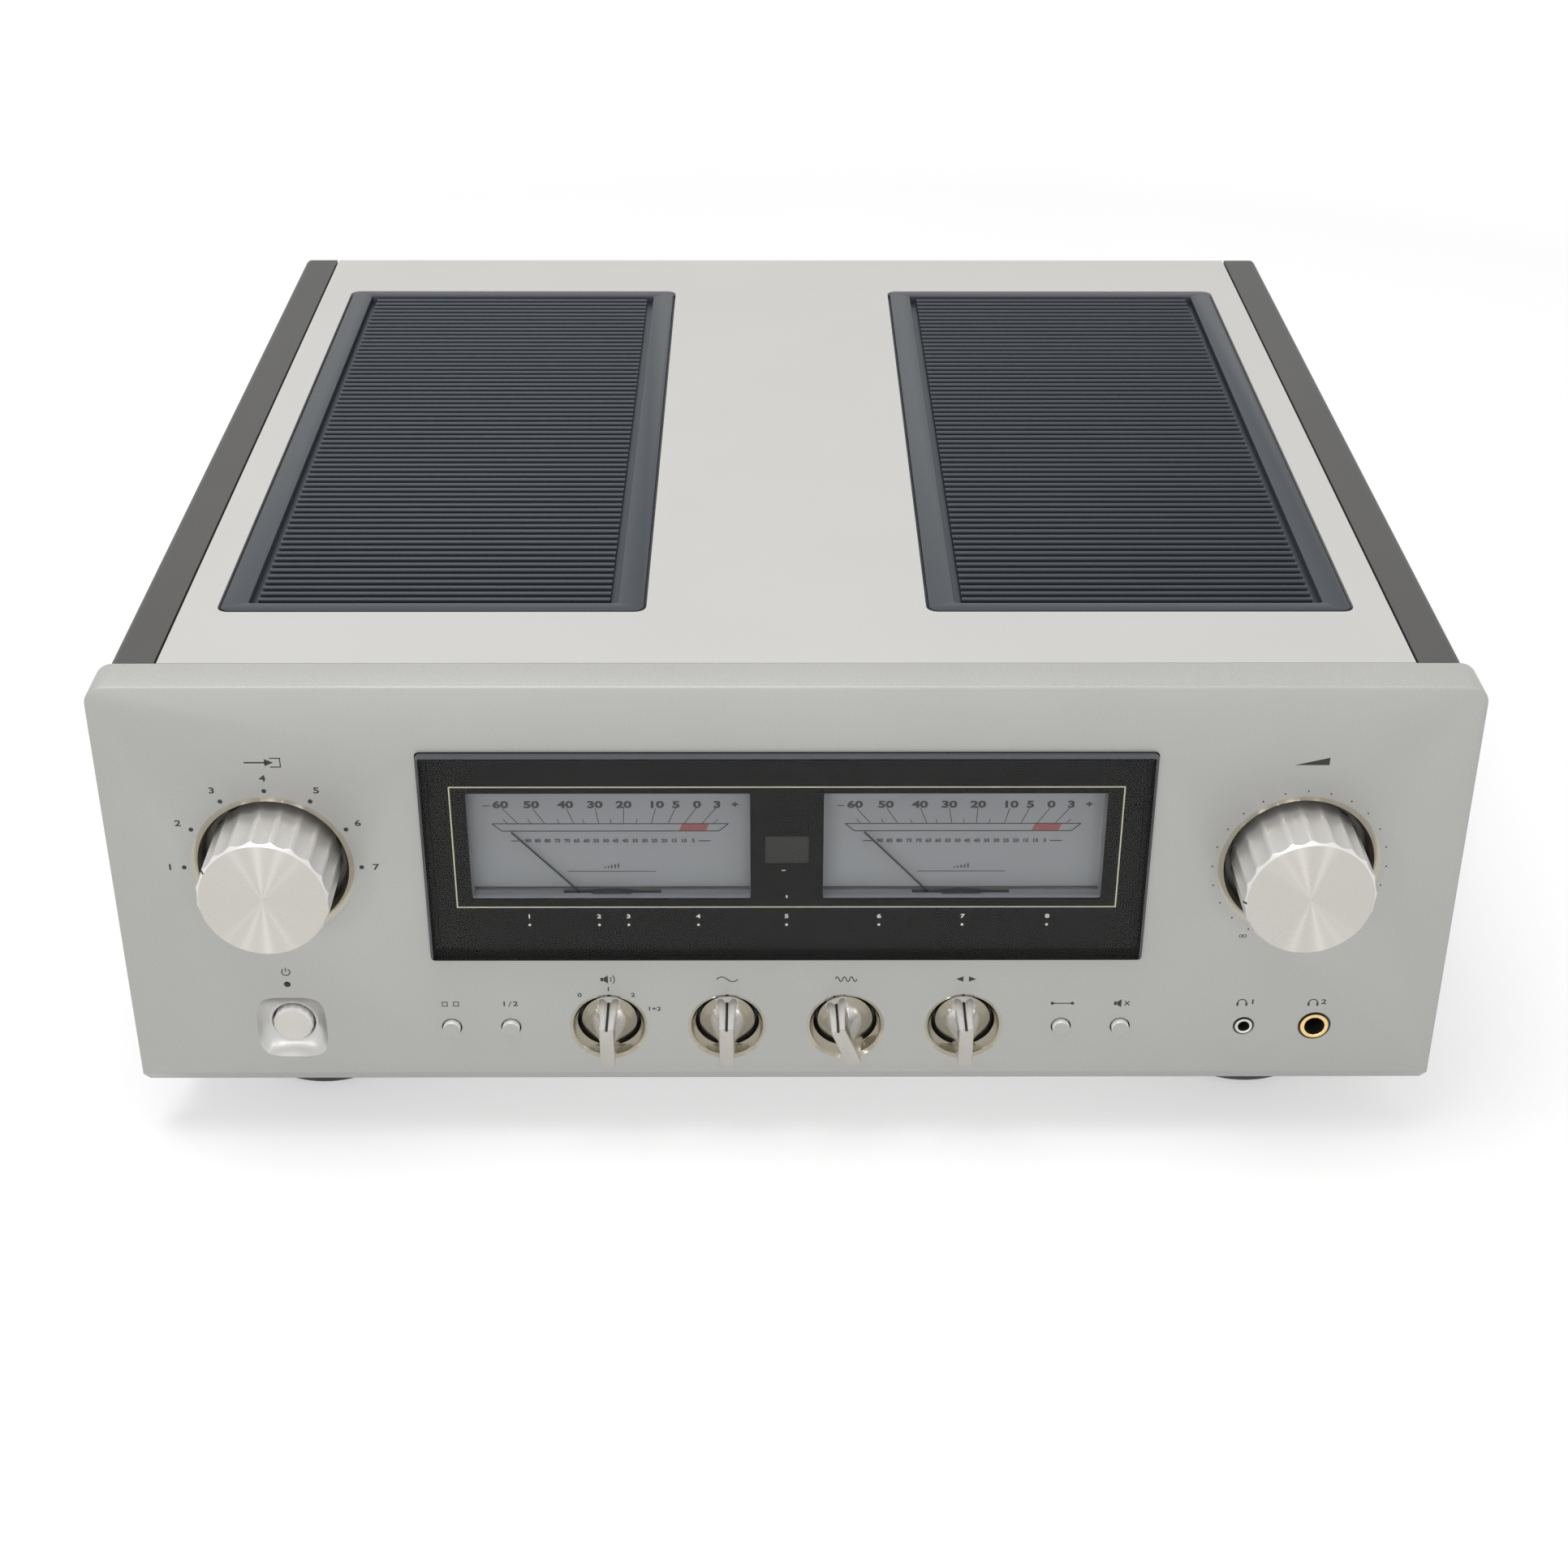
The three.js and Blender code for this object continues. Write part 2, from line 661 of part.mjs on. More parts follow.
// A fluted knob with a chamfered flat face and its shaft, pointing straight up
function makeLargeKnob(centre) {
  const [x, z] = centre;
  const back = panelFaceY + pocketDepth - knobFloorGap;
  const front = panelFaceY - knobReach;
  const valleyShares = [0, 0.75, 0.75];
  const ring = (radius, depth, y) => Array.from({ length: largeKnobFlutes * valleyShares.length }, (_, i) => {
    const angle = (i / (largeKnobFlutes * valleyShares.length)) * 2 * Math.PI;
    const reach = radius - depth * valleyShares[i % valleyShares.length];
    return new THREE.Vector3(x + reach * Math.sin(angle), y, z + reach * Math.cos(angle));
  });
  const body = loft([
    ring(largeKnobRadius - largeKnobChamfer, 0, front),
    ring(largeKnobRadius, fluteDepth, front + largeKnobChamfer),
    ring(largeKnobRadius, fluteDepth, back),
  ]);
  const shaft = bar(largeShaftRadius, centre, back - sink, back + knobFloorGap + shaftLength, jackSteps);
  return join(body, shaft);
}

// A ring of four corners across Y, for the tapered lever
function leverRing([x, z], width, height, y) {
  return [[-1, -1], [1, -1], [1, 1], [-1, 1]].map(([u, v]) => new THREE.Vector3(
    x + u * width / 2, y, z + v * height / 2));
}

// A flared disc crossed by a lever that narrows towards its nose, pointing straight up
function makeSmallKnob(centre) {
  const rim = panelFaceY + smallDiscDepth;
  const back = panelFaceY + pocketDepth - knobFloorGap;
  const nose = panelFaceY - smallKnobReach;
  const flareSteps = 3;
  const flareLength = rim - panelFaceY + smallKnobReach / 2;
  const flare = Array.from({ length: flareSteps + 1 }, (_, i) => {
    const angle = (i / flareSteps) * Math.PI / 2;
    const radius = THREE.MathUtils.lerp(smallKnobRadius, smallFlareRadius, Math.sin(angle));
    return [radius, rim - flareLength * (1 - Math.cos(angle))];
  });
  const profile = [[0, back], [smallKnobRadius, back], ...flare, [0, rim - flareLength]];
  const disc = turned(profile, centre, smallKnobSteps);
  const lever = loft([
    leverRing(centre, leverFrontWidth - 2 * leverNoseChamfer, leverFrontHeight - 2 * leverNoseChamfer, nose),
    leverRing(centre, leverFrontWidth, leverFrontHeight, nose + leverNoseChamfer),
    leverRing(centre, leverBackWidth, leverBackHeight, rim),
  ]);
  const shaft = bar(smallShaftRadius, centre, back - sink, back + knobFloorGap + shaftLength, finePinSteps);
  return join(disc, lever, shaft);
}

const [selectorPlace, volumePlace] = largeKnobPlaces;
[
  ['input_selector_knob', selectorPlace, inputSelectorAngle],
  ['volume_knob', volumePlace, volumeAngle],
].forEach(([name, centre, angle]) => {
  place(name, turnAbout(makeLargeKnob(centre), centre, angle), spunAluminium);
});

const smallKnobNames = ['speaker_selector', 'bass', 'treble', 'balance'];
const smallKnobAngles = { treble: trebleAngle };
smallKnobNames.forEach((name, i) => {
  const knob = turnAbout(makeSmallKnob(smallKnobPlaces[i]), smallKnobPlaces[i], smallKnobAngles[name] ?? 0);
  place(`${name}_knob`, knob, spunAluminium);
});

// Controls bolted behind the panel, each with a bushing that takes the knob's shaft

function withBushing(body, centre, bushingRadius, shaftRadius, steps) {
  const floor = panelFaceY + pocketDepth;
  const bushing = bar(bushingRadius, centre, floor, panelBackY + sink, steps);
  const bore = bar(shaftRadius + fit, centre, floor - overrun, floor + shaftLength + overrun, capSteps);
  return cut(join(body, bushing), bore);
}

const selectorBody = bar(
  selectorBodyRadius, selectorPlace, panelBackY, panelBackY + selectorBodyDepth, footSteps);
place(
  'input_selector_switch',
  withBushing(selectorBody, selectorPlace, largeBushingRadius, largeShaftRadius, capSteps),
  zincSteel);

const volumeBody = block(
  around(volumePlace[0], volumeBodyWidth),
  [panelBackY, panelBackY + volumeBodyDepth],
  around(volumePlace[1], volumeBodyWidth));
place(
  'volume_attenuator',
  withBushing(volumeBody, volumePlace, largeBushingRadius, largeShaftRadius, capSteps),
  zincSteel);

const smallControlNames = ['speaker_selector_switch', 'bass_control', 'treble_control', 'balance_control'];
smallControlNames.forEach((name, i) => {
  const centre = smallKnobPlaces[i];
  const body = block(
    around(centre[0], smallControlWidth),
    [panelBackY, panelBackY + smallControlDepth],
    around(centre[1], smallControlWidth));
  place(name, withBushing(body, centre, smallBushingRadius, smallShaftRadius, finePinSteps), zincSteel);
});

// Push buttons, power button, lamp and the board behind them

const buttonFlangeY = panelBackY + fit;
const buttonBackY = buttonFlangeY + buttonFlangeThickness;

function makeButton(centre) {
  const front = panelFaceY - buttonReach;
  return turned([
    [0, front],
    [buttonRadius - buttonChamfer, front],
    [buttonRadius, front + buttonChamfer],
    [buttonRadius, buttonFlangeY],
    [buttonFlangeRadius, buttonFlangeY],
    [buttonFlangeRadius, buttonBackY],
    [0, buttonBackY],
  ], centre, drillSteps);
}

const buttonNames = ['separate_button', 'cartridge_button', 'straight_button', 'mute_button'];
buttonNames.forEach((name, i) => place(name, makeButton(buttonPlaces[i]), blastedAluminium));

function makeControlBoard() {
  const front = panelBackY + smallControlDepth;
  const halfWidth = buttonX + buttonPitch / 2 + controlBoardMargin;
  const board = block(
    [-halfWidth, halfWidth], [front, front + boardThickness], around(controlRowZ, controlBoardHeight));
  const towers = buttonPlaces.map(([x, z]) => block(
    around(x, switchTowerWidth),
    [buttonBackY + buttonTravel + fit, front + sink],
    around(z, switchTowerWidth)));
  return join(board, ...towers);
}

place('control_board', makeControlBoard(), circuitGreen);

function makePowerButton() {
  const face = panelFaceY + powerFaceDepth;
  const headBack = face + powerHeadLength;
  return turned([
    [0, face],
    [powerRadius - powerChamfer, face],
    [powerRadius, face + powerChamfer],
    [powerRadius, headBack],
    [powerPlungerRadius, headBack],
    [powerPlungerRadius, headBack + powerPlungerLength],
    [0, headBack + powerPlungerLength],
  ], powerPlace, dishSteps);
}

function makePowerSwitch() {
  const body = block(
    around(powerPlace[0], powerSwitchWidth),
    [panelBackY, panelBackY + powerSwitchDepth],
    around(powerPlace[1], powerSwitchWidth));
  const plungerEnd = panelFaceY + powerFaceDepth + powerHeadLength + powerPlungerLength;
  const bore = bar(
    powerPlungerRadius + fit, powerPlace, panelBackY - overrun, plungerEnd + powerTravel + fit, drillSteps);
  return cut(body, bore);
}

place('power_button', makePowerButton(), spunAluminium);
place('power_switch', makePowerSwitch(), blackPlastic);

const lampBody = turned([
  [0, panelFaceY - lampReach],
  [lampRadius, panelFaceY - lampReach],
  [lampRadius, panelBackY],
  [lampFlangeRadius, panelBackY],
  [lampFlangeRadius, panelBackY + lampFlangeThickness],
  [0, panelBackY + lampFlangeThickness],
], lampPlace, finePinSteps);
place('operation_lamp', lampBody, lensRed);

// Headphone sockets

function makeSocket(centre, collarRadius, boreRadius, boreDepth, width, steps) {
  const mouth = panelFaceY - collarReach;
  const body = block(
    around(centre[0], width), [panelBackY, mouth + boreDepth + socketWall], around(centre[1], width));
  const collar = bar(collarRadius, centre, mouth, panelBackY + sink, steps);
  const bore = bar(boreRadius, centre, mouth - overrun, mouth + boreDepth, steps);
  return cut(join(body, collar), bore);
}

place(
  'headphone_socket_small',
  makeSocket(
    smallSocketPlace, smallCollarRadius, smallBoreRadius,
    smallBoreDepth + socketWall, smallSocketWidth, capSteps),
  goldPlate);
place(
  'headphone_socket_large',
  makeSocket(
    largeSocketPlace, largeCollarRadius, largeBoreRadius, largeBoreDepth, largeSocketWidth, drillSteps),
  goldPlate);

// Window, meters and display

function makeGlass() {
  const front = panelFaceY - glassReach;
  const outline = (inset) => roundedRectangle(
    around(0, windowWidth - 2 * inset), [windowLowZ + inset, windowHighZ - inset], windowCornerRadius);
  return loft([
    outlineRing(outline(glassChamfer), front),
    outlineRing(outline(0), front + glassChamfer),
    outlineRing(outline(0), glassBackY),
  ]);
}

function makeMask() {
  const through = [glassBackY - overrun, maskBackY + overrun];
  const plate = block(
    around(0, windowWidth - 2 * windowSeat - 2 * fit),
    [glassBackY, maskBackY],
    [windowLowZ + windowSeat + fit, windowHighZ - windowSeat - fit]);
  const apertures = sides.map(([, sign]) => block(
    around(sign * meterMiddleX, apertureOuterX - apertureInnerX), through, [apertureLowZ, apertureHighZ]));
  const screen = block([-displayHalfWidth, displayHalfWidth], through, [displayLowZ, displayHighZ]);
  return cut(plate, ...apertures, screen);
}

// A meter housing: a tray whose floor is the dial, with a lower pocket for the needle's hub
function makeMeter(middleX) {
  const apertureWidth = apertureOuterX - apertureInnerX;
  const body = block(
    around(middleX, apertureWidth + 2 * meterWall),
    [maskBackY, maskBackY + meterDepth],
    [pivotZ - pivotPocketDrop - meterWall, apertureHighZ + meterWall]);
  const tray = block(
    around(middleX, apertureWidth), [maskBackY - overrun, dialY], [apertureLowZ, apertureHighZ]);
  const hubPocket = block(
    around(middleX, 2 * pivotPocketHalfWidth),
    [maskBackY - overrun, dialY],
    [pivotZ - pivotPocketDrop, apertureLowZ + sink]);
  const bearing = bar(bearingRadius, [middleX, pivotZ], dialY - overrun, dialY + bearingDepth, finePinSteps);
  return cut(body, tray, hubPocket, bearing);
}

// A needle with its hub and axle, pointing straight up
function makeNeedle(middleX) {
  const centre = [middleX, pivotZ];
  const front = dialY - needleStandOff - needleThickness;
  const blade = block(
    around(middleX, needleWidth),
    [front, front + needleThickness],
    [pivotZ - needleTail, pivotZ + needleLength]);
  const hub = bar(hubRadius, centre, front - hubThickness / 2, front + hubThickness, capSteps);
  const axle = bar(bearingRadius - fit, centre, front, dialY + bearingDepth - fit, finePinSteps);
  return join(blade, hub, axle);
}

place('window_glass', makeGlass(), smokedGlass);
place('window_mask', makeMask(), blackPlastic);
sides.forEach(([side, sign]) => {
  const middle = sign * meterMiddleX;
  place(`meter_${side}`, makeMeter(middle), dialGrey);
  place(`needle_${side}`, turnAbout(makeNeedle(middle), [middle, pivotZ], needleAngle), blackPlastic);
});

const displayBody = block(
  [-displayHalfWidth - displayBodyMargin, displayHalfWidth + displayBodyMargin],
  [maskBackY, maskBackY + displayBodyDepth],
  [displayLowZ - displayBodyMargin, displayHighZ + displayBodyMargin]);
const displayScreen = block(
  [-displayHalfWidth + fit, displayHalfWidth - fit],
  [glassBackY + displayScreenInset, maskBackY + sink],
  [displayLowZ + fit, displayHighZ - fit]);
place('level_display', join(displayBody, displayScreen), blackPlastic);

// Louvred grilles and the cover that holds them

const grilleFrontY = panelFaceY + grilleFrontGap;
const grilleBackY = grilleFrontY + grilleLength;

// A frame with upright slats and a flange that seats under the cover's sheet.
// A channel runs down both sides, so the slats stand clear of the border.
function makeGrille(sign) {
  const xSpan = [grilleInnerX, grilleInnerX + grilleWidth].map((x) => sign * x).sort((a, b) => a - b);
  const zLow = overallHeight - grilleThickness;
  const frame = prismZ(
    roundedRectangle(xSpan, [grilleFrontY, grilleBackY], grilleCornerRadius), zLow, overallHeight);
  const reach = grilleCutoutGap + grilleFlange;
  const flangeTop = overallHeight - coverThickness - fit;
  const flangeSpan = [flangeTop - grilleFlangeThickness, flangeTop];
  const flange = cut(
    block([xSpan[0] - reach, xSpan[1] + reach], [grilleFrontY - reach, grilleBackY + reach], flangeSpan),
    block(
      [xSpan[0] + grilleCornerRadius, xSpan[1] - grilleCornerRadius],
      [grilleFrontY + grilleCornerRadius, grilleBackY - grilleCornerRadius],
      [flangeSpan[0] - overrun, flangeSpan[1] + overrun]));
  const open = [xSpan[0] + grilleSideBorder, xSpan[1] - grilleSideBorder];
  const field = [open[0] + channelWidth, open[1] - channelWidth];
  const fieldY = [grilleFrontY + grilleEndBorder, grilleBackY - grilleEndBorder];
  const channels = [[open[0], field[0]], [field[1], open[1]]].map((span) => block(
    span, fieldY, [overallHeight - channelDepth, overallHeight + overrun]));
  const firstSlat = fieldY[0] + slatEndGap + slatThickness / 2;
  const slatPitch = (fieldY[0] + fieldY[1] - 2 * firstSlat) / (slatCount - 1);
  const slatEdges = Array.from({ length: slatCount }, (_, i) => (
    around(firstSlat + i * slatPitch, slatThickness)));
  const starts = [fieldY[0], ...slatEdges.map((edge) => edge[1])];
  const ends = [...slatEdges.map((edge) => edge[0]), fieldY[1]];
  const gaps = starts.map((start, i) => block(
    field, [start, ends[i]], [zLow - overrun, overallHeight + overrun]));
  return join(cut(frame, ...channels, ...gaps), flange);
}

sides.forEach(([side, sign]) => place(`grille_${side}`, makeGrille(sign), grillePaint));

function makeTopCover() {
  const shell = block(
    [-coverHalf, coverHalf], [panelBackY, coverRearY], [overallHeight - coverLip, overallHeight]);
  const hollow = block(
    [-coverHalf + coverThickness, coverHalf - coverThickness],
    [panelBackY - overrun, coverRearY - coverThickness],
    [overallHeight - coverLip - overrun, overallHeight - coverThickness]);
  const cutouts = sides.map(([, sign]) => {
    const outer = [grilleInnerX - grilleCutoutGap, grilleInnerX + grilleWidth + grilleCutoutGap];
    const span = outer.map((x) => sign * x).sort((a, b) => a - b);
    const along = [grilleFrontY - grilleCutoutGap, grilleBackY + grilleCutoutGap];
    return prismZ(
      roundedRectangle(span, along, grilleCornerRadius + grilleCutoutGap),
      overallHeight - coverLip, overallHeight + overrun);
  });
  return cut(shell, hollow, ...cutouts);
}

place('top_cover', makeTopCover(), silverPaint);

// A side panel with a flat rail along its top and a flange along its foot
function makeSidePanel(sign) {
  const outer = bodyHalf;
  const profile = polygon([
    [outer, footHeight],
    [outer, overallHeight - sideCornerRadius],
    ...cornerArc(outer - sideCornerRadius, overallHeight - sideCornerRadius, sideCornerRadius),
    [outer - railWidth, overallHeight],
    [outer - railWidth, overallHeight - railThickness],
    [outer - sideWall, overallHeight - railThickness],
    [outer - sideWall, footHeight + baseThickness],
    [outer - sideWall, footHeight],
  ].map(([x, z]) => [sign * x, z]));
  const plan = [outer - railWidth - overrun, outer];
  const reach = roundedRectangle(
    plan.map((x) => sign * x).sort((a, b) => a - b),
    [panelBackY - overrun, coverRearY],
    sign > 0 ? [0, 0, sideCornerRadius, 0] : [0, 0, 0, sideCornerRadius]);
  return prismY(profile, panelBackY, coverRearY)
    .intersect(prismZ(reach, footHeight - overrun, overallHeight + overrun));
}

function cornerArc(x, z, radius) {
  return Array.from({ length: arcSteps }, (_, i) => {
    const angle = ((i + 1) / arcSteps) * Math.PI / 2;
    return [x + radius * Math.cos(angle), z + radius * Math.sin(angle)];
  });
}

sides.forEach(([side, sign]) => place(`side_panel_${side}`, makeSidePanel(sign), darkPaint));

function makeBase() {
  const span = [panelBackY + fit, rearInnerY - fit];
  const tray = block([-rearHalf, rearHalf], span, [footHeight, footHeight + baseLip]);
  const hollow = block(
    [-rearHalf + baseThickness, rearHalf - baseThickness],
    [span[0] + baseThickness, span[1] - baseThickness],
    [baseFloorZ, footHeight + baseLip + overrun]);
  const slotX = (heatSinkInnerX + heatSinkOuterX) / 2;
  const slotY = (heatSinkFrontY + heatSinkBackY) / 2;
  const slots = sides.flatMap(([, sign]) => Array.from({ length: baseSlotCount }, (_, i) => block(
    around(sign * slotX, baseSlotLength),
    around(slotY + (i - (baseSlotCount - 1) / 2) * baseSlotPitch, baseSlotWidth),
    [footHeight - overrun, baseFloorZ + overrun])));
  return cut(tray, hollow, ...slots);
}

place('base_chassis', makeBase(), zincSteel);

const footRows = [['front', panelFaceY + footInsetFront], ['rear', coverRearY - footInsetRear]];
const footPlaces = footRows.flatMap(([end, y]) => sides
  .map(([side, sign]) => [`foot_${end}_${side}`, [sign * (bodyHalf - footInsetX), y]]));
footPlaces.forEach(([name, centre]) => place(name, turnedUpright([
  [0, 0],
  [footPadRadius, 0],
  [footWaistRadius, footShoulder],
  [footWaistRadius, footHeight - footRimHeight],
  [footTopRadius, footHeight],
  [0, footHeight],
], centre, footSteps), castIron));

// Rear panel, sockets and terminals

const jackPlaces = [];
const jackXs = [
  ...Array.from({ length: jackColumns }, (_, i) => jackFirstX - i * jackPitchX),
  ...Array.from({ length: preampColumns }, (_, i) => preampJackX - i * jackPitchX),
];
jackXs.forEach((x) => jackPlaces.push([x, jackRowHighZ], [x, jackRowLowZ]));
const balancedPlaces = [0, 1].flatMap((i) => [balancedHighZ, balancedLowZ]
  .map((z) => [balancedX - i * balancedPitchX, z]));
const balancedOutline = ([x, z]) => roundedRectangle(
  around(x, balancedFlangeWidth), around(z, balancedFlangeHeight), balancedCornerRadius);
const postXs = [speakerBlockRightX, speakerBlockLeftX].map((middle) => Array.from(
  { length: speakerPostCount }, (_, i) => middle + (i - (speakerPostCount - 1) / 2) * speakerPostPitch));
const inletBodyWidth = inletCavityWidth + 2 * inletWall;
const inletBodyHeight = inletCavityHeight + 2 * inletWall;

function makeRearPanel() {
  const plate = block(
    [-rearHalf, rearHalf],
    [rearInnerY, rearFaceY],
    [baseFloorZ - baseThickness, overallHeight - railThickness - fit]);
  const coverSpace = cut(
    block([-coverHalf - fit, coverHalf + fit], [rearInnerY - overrun, rearFaceY + overrun],
      [overallHeight - coverThickness - fit, overallHeight]),
    block([-coverHalf, coverHalf], [rearInnerY - overrun, rearFaceY + overrun],
      [overallHeight, overallHeight + overrun]));
  const lipSlots = sides.map(([, sign]) => block(
    around(sign * (coverHalf - coverThickness / 2), coverThickness + 2 * fit),
    [rearInnerY - overrun, rearFaceY + overrun],
    [overallHeight - coverLip - fit, overallHeight]));
  const through = [rearInnerY - overrun, rearFaceY + overrun];
  const stud = bar(
    groundStudRadius, [groundX, groundZ],
    rearFaceY - sink, rearFaceY + groundStudLength, jackSteps);
  return join(cut(
    plate,
    coverSpace,
    ...lipSlots,
    ...balancedPlaces.map((centre) => bar(balancedShellRadius + fit, centre, ...through, balancedSteps)),
    block(around(inletX, inletBodyWidth + 2 * fit), through, around(inletZ, inletBodyHeight + 2 * fit)),
  ), stud);
}

place('rear_panel', makeRearPanel(), darkPaint);

// Every pin jack stands on one plate that lies flat on the rear panel
function makeSignalJacks() {
  const xs = jackPlaces.map(([x]) => x);
  const plateBackY = rearFaceY + jackPlateThickness;
  const plate = block(
    [Math.min(...xs) - jackPlateMargin, Math.max(...xs) + jackPlateMargin],
    [rearFaceY, plateBackY],
    [jackRowLowZ - jackPlateMargin, jackRowHighZ + jackPlateMargin]);
  const tip = plateBackY + jackBarrelLength;
  const jacks = jackPlaces.map((centre) => cut(
    bar(jackBarrelRadius, centre, plateBackY - sink, tip, jackSteps),
    bar(jackBoreRadius, centre, plateBackY + sink, tip + overrun, finePinSteps)));
  return join(plate, ...jacks);
}

place('signal_jacks', makeSignalJacks(), goldPlate);

// Four balanced sockets: a flange and a round shell through the panel, with a ring groove round its core
function makeBalancedSockets() {
  const front = rearFaceY + fit;
  const face = front + balancedFlangeThickness;
  const floor = face - balancedRecessDepth;
  const board = block(
    [balancedX - balancedPitchX - balancedShellRadius, balancedX + balancedShellRadius],
    [floor - boardThickness - sink, floor - sink],
    [balancedLowZ - balancedShellRadius, balancedHighZ + balancedShellRadius]);
  const sockets = balancedPlaces.map((centre) => {
    const flange = prismY(balancedOutline(centre), front, face, hiddenArcSteps);
    const shell = bar(balancedShellRadius, centre, floor - boardThickness, front + sink, balancedSteps);
    const ring = cut(
      bar(balancedRecessRadius, centre, floor, face + overrun, balancedSteps),
      bar(balancedCoreRadius, centre, floor - overrun, face, balancedSteps));
    return cut(join(flange, shell), ring);
  });
  return join(board, ...sockets);
}

place('balanced_sockets', makeBalancedSockets(), blackPlastic);

function makeInlet() {
  const front = rearFaceY + fit;
  const face = front + inletFlangeThickness;
  const floor = face - inletCavityDepth;
  const centre = [inletX, inletZ];
  const flange = prismY(
    roundedRectangle(around(inletX, inletFlangeWidth), around(inletZ, inletFlangeHeight), inletCornerRadius),
    front, face, hiddenArcSteps);
  const body = block(
    around(inletX, inletBodyWidth), [floor - inletWall, front + sink], around(inletZ, inletBodyHeight));
  const [x0, x1] = around(inletX, inletCavityWidth);
  const [z0, z1] = around(inletZ, inletCavityHeight);
  const cavity = polygon([
    [x0, z0], [x1, z0], [x1, z1 - inletCavityBevel], [x1 - inletCavityBevel, z1],
    [x0 + inletCavityBevel, z1], [x0, z1 - inletCavityBevel],
  ]);
  const sideBlades = [-1, 1].map((side) => [side * inletBladeSpread, -inletBladeLift]);
  const blades = [...sideBlades, [0, inletBladeLift]]
    .map(([x, z]) => block(
      around(centre[0] + x, inletBladeThickness),
      [floor - sink, floor + inletBladeLength],
      around(centre[1] + z, inletBladeHeight)));
  return join(cut(join(flange, body), prismY(cavity, floor, face + overrun)), ...blades);
}

place('power_inlet', makeInlet(), blackPlastic);

// Speaker terminals: a block with four studs, and a turning cap on each stud
const speakerBlockY = rearFaceY + fit;
const capBackY = speakerBlockY + speakerBlockThickness + fit;

function makeSpeakerBlock(posts) {
  const base = prismY(
    roundedRectangle(
      [Math.min(...posts) - speakerBlockMargin, Math.max(...posts) + speakerBlockMargin],
      around(speakerZ, 2 * speakerBlockHalfHeight), balancedCornerRadius),
    speakerBlockY, speakerBlockY + speakerBlockThickness, hiddenArcSteps);
  const studs = posts.map((x) => bar(
    studRadius, [x, speakerZ], speakerBlockY + sink, terminalTipY - studTipGap, jackSteps));
  return join(base, ...studs);
}

function makeCap(centre) {
  const boreEnd = terminalTipY - studTipGap + fit;
  return turned([
    [studRadius + fit, capBackY],
    [capWaistRadius, capBackY],
    [capWaistRadius, capBackY + capWaistLength],
    [capRadius, capBackY + capWaistLength],
    [capRadius, terminalTipY - capChamfer],
    [capRadius - capChamfer, terminalTipY],
    [0, terminalTipY],
    [0, boreEnd],
    [studRadius + fit, boreEnd],
    [studRadius + fit, capBackY],
  ], centre, capSteps);
}

// The channels are named as the user meets them at the front, so the right one has the larger X
const postNames = ['b_minus', 'a_minus', 'a_plus', 'b_plus'];
[['right', 0], ['left', 1]].forEach(([side, i]) => {
  place(`speaker_terminals_${side}`, makeSpeakerBlock(postXs[i]), blackPlastic);
  postXs[i].forEach((x, k) => place(
    `speaker_cap_${side}_${postNames[k]}`, makeCap([x, speakerZ]), goldPlate));
});

const groundNut = turned([
  [groundStudRadius + fit, rearFaceY + fit],
  [groundNutRadius, rearFaceY + fit],
  [groundNutRadius, rearFaceY + fit + groundNutLength],
  [groundStudRadius + fit, rearFaceY + fit + groundNutLength],
  [groundStudRadius + fit, rearFaceY + fit],
], [groundX, groundZ], capSteps);
place('ground_nut', groundNut, goldPlate);

// Inside

function makeTransformer() {
  const floor = baseFloorZ + fit;
  const span = [transformerFrontY, transformerFrontY + transformerDepth];
  const plateTop = floor + mountPlateThickness;
  const top = plateTop + transformerHeight;
  const mount = block(
    around(0, transformerWidth + 2 * mountPlateMargin),
    [span[0] - mountPlateMargin, span[1] + mountPlateMargin],
    [floor, plateTop]);
  const core = block(around(0, transformerWidth), span, [plateTop - sink, top]);
  const windingHeight = transformerHeight * windingShare;
  const middle = plateTop + transformerHeight / 2;
  const winding = prismX(
    roundedRectangle(
      [span[0] - windingBulge, span[1] + windingBulge], around(middle, windingHeight), windingBulge),
    -transformerWidth * windingShare / 2, transformerWidth * windingShare / 2, hiddenArcSteps);
  return join(mount, core, winding);
}

place('power_transformer', makeTransformer(), castIron);

function makeCapacitorBank() {
  const floor = baseFloorZ + fit;
  const boardLow = floor + boardStandHeight;
  const boardTop = boardLow + boardThickness;
  const half = capacitorPitch / 2 + capacitorRadius + capacitorBoardMargin;
  const middleY = transformerFrontY + transformerDepth + mountPlateMargin + capacitorFrontGap + half;
  const board = block([-half, half], [middleY - half, middleY + half], [boardLow, boardTop]);
  const corners = [[-1, -1], [1, -1], [1, 1], [-1, 1]];
  const stands = corners.map(([u, v]) => turnedUpright(
    [[0, floor], [boardStandRadius, floor], [boardStandRadius, boardLow + sink], [0, boardLow + sink]],
    [u * (half - capacitorBoardMargin), middleY + v * (half - capacitorBoardMargin)], finePinSteps));
  const cans = corners.map(([u, v]) => turnedUpright([
    [0, boardTop - sink],
    [capacitorRadius, boardTop - sink],
    [capacitorRadius, boardTop + capacitorHeight],
    [0, boardTop + capacitorHeight],
  ], [u * capacitorPitch / 2, middleY + v * capacitorPitch / 2], drillSteps));
  return join(board, ...stands, ...cans);
}

place('capacitor_bank', makeCapacitorBank(), circuitGreen);

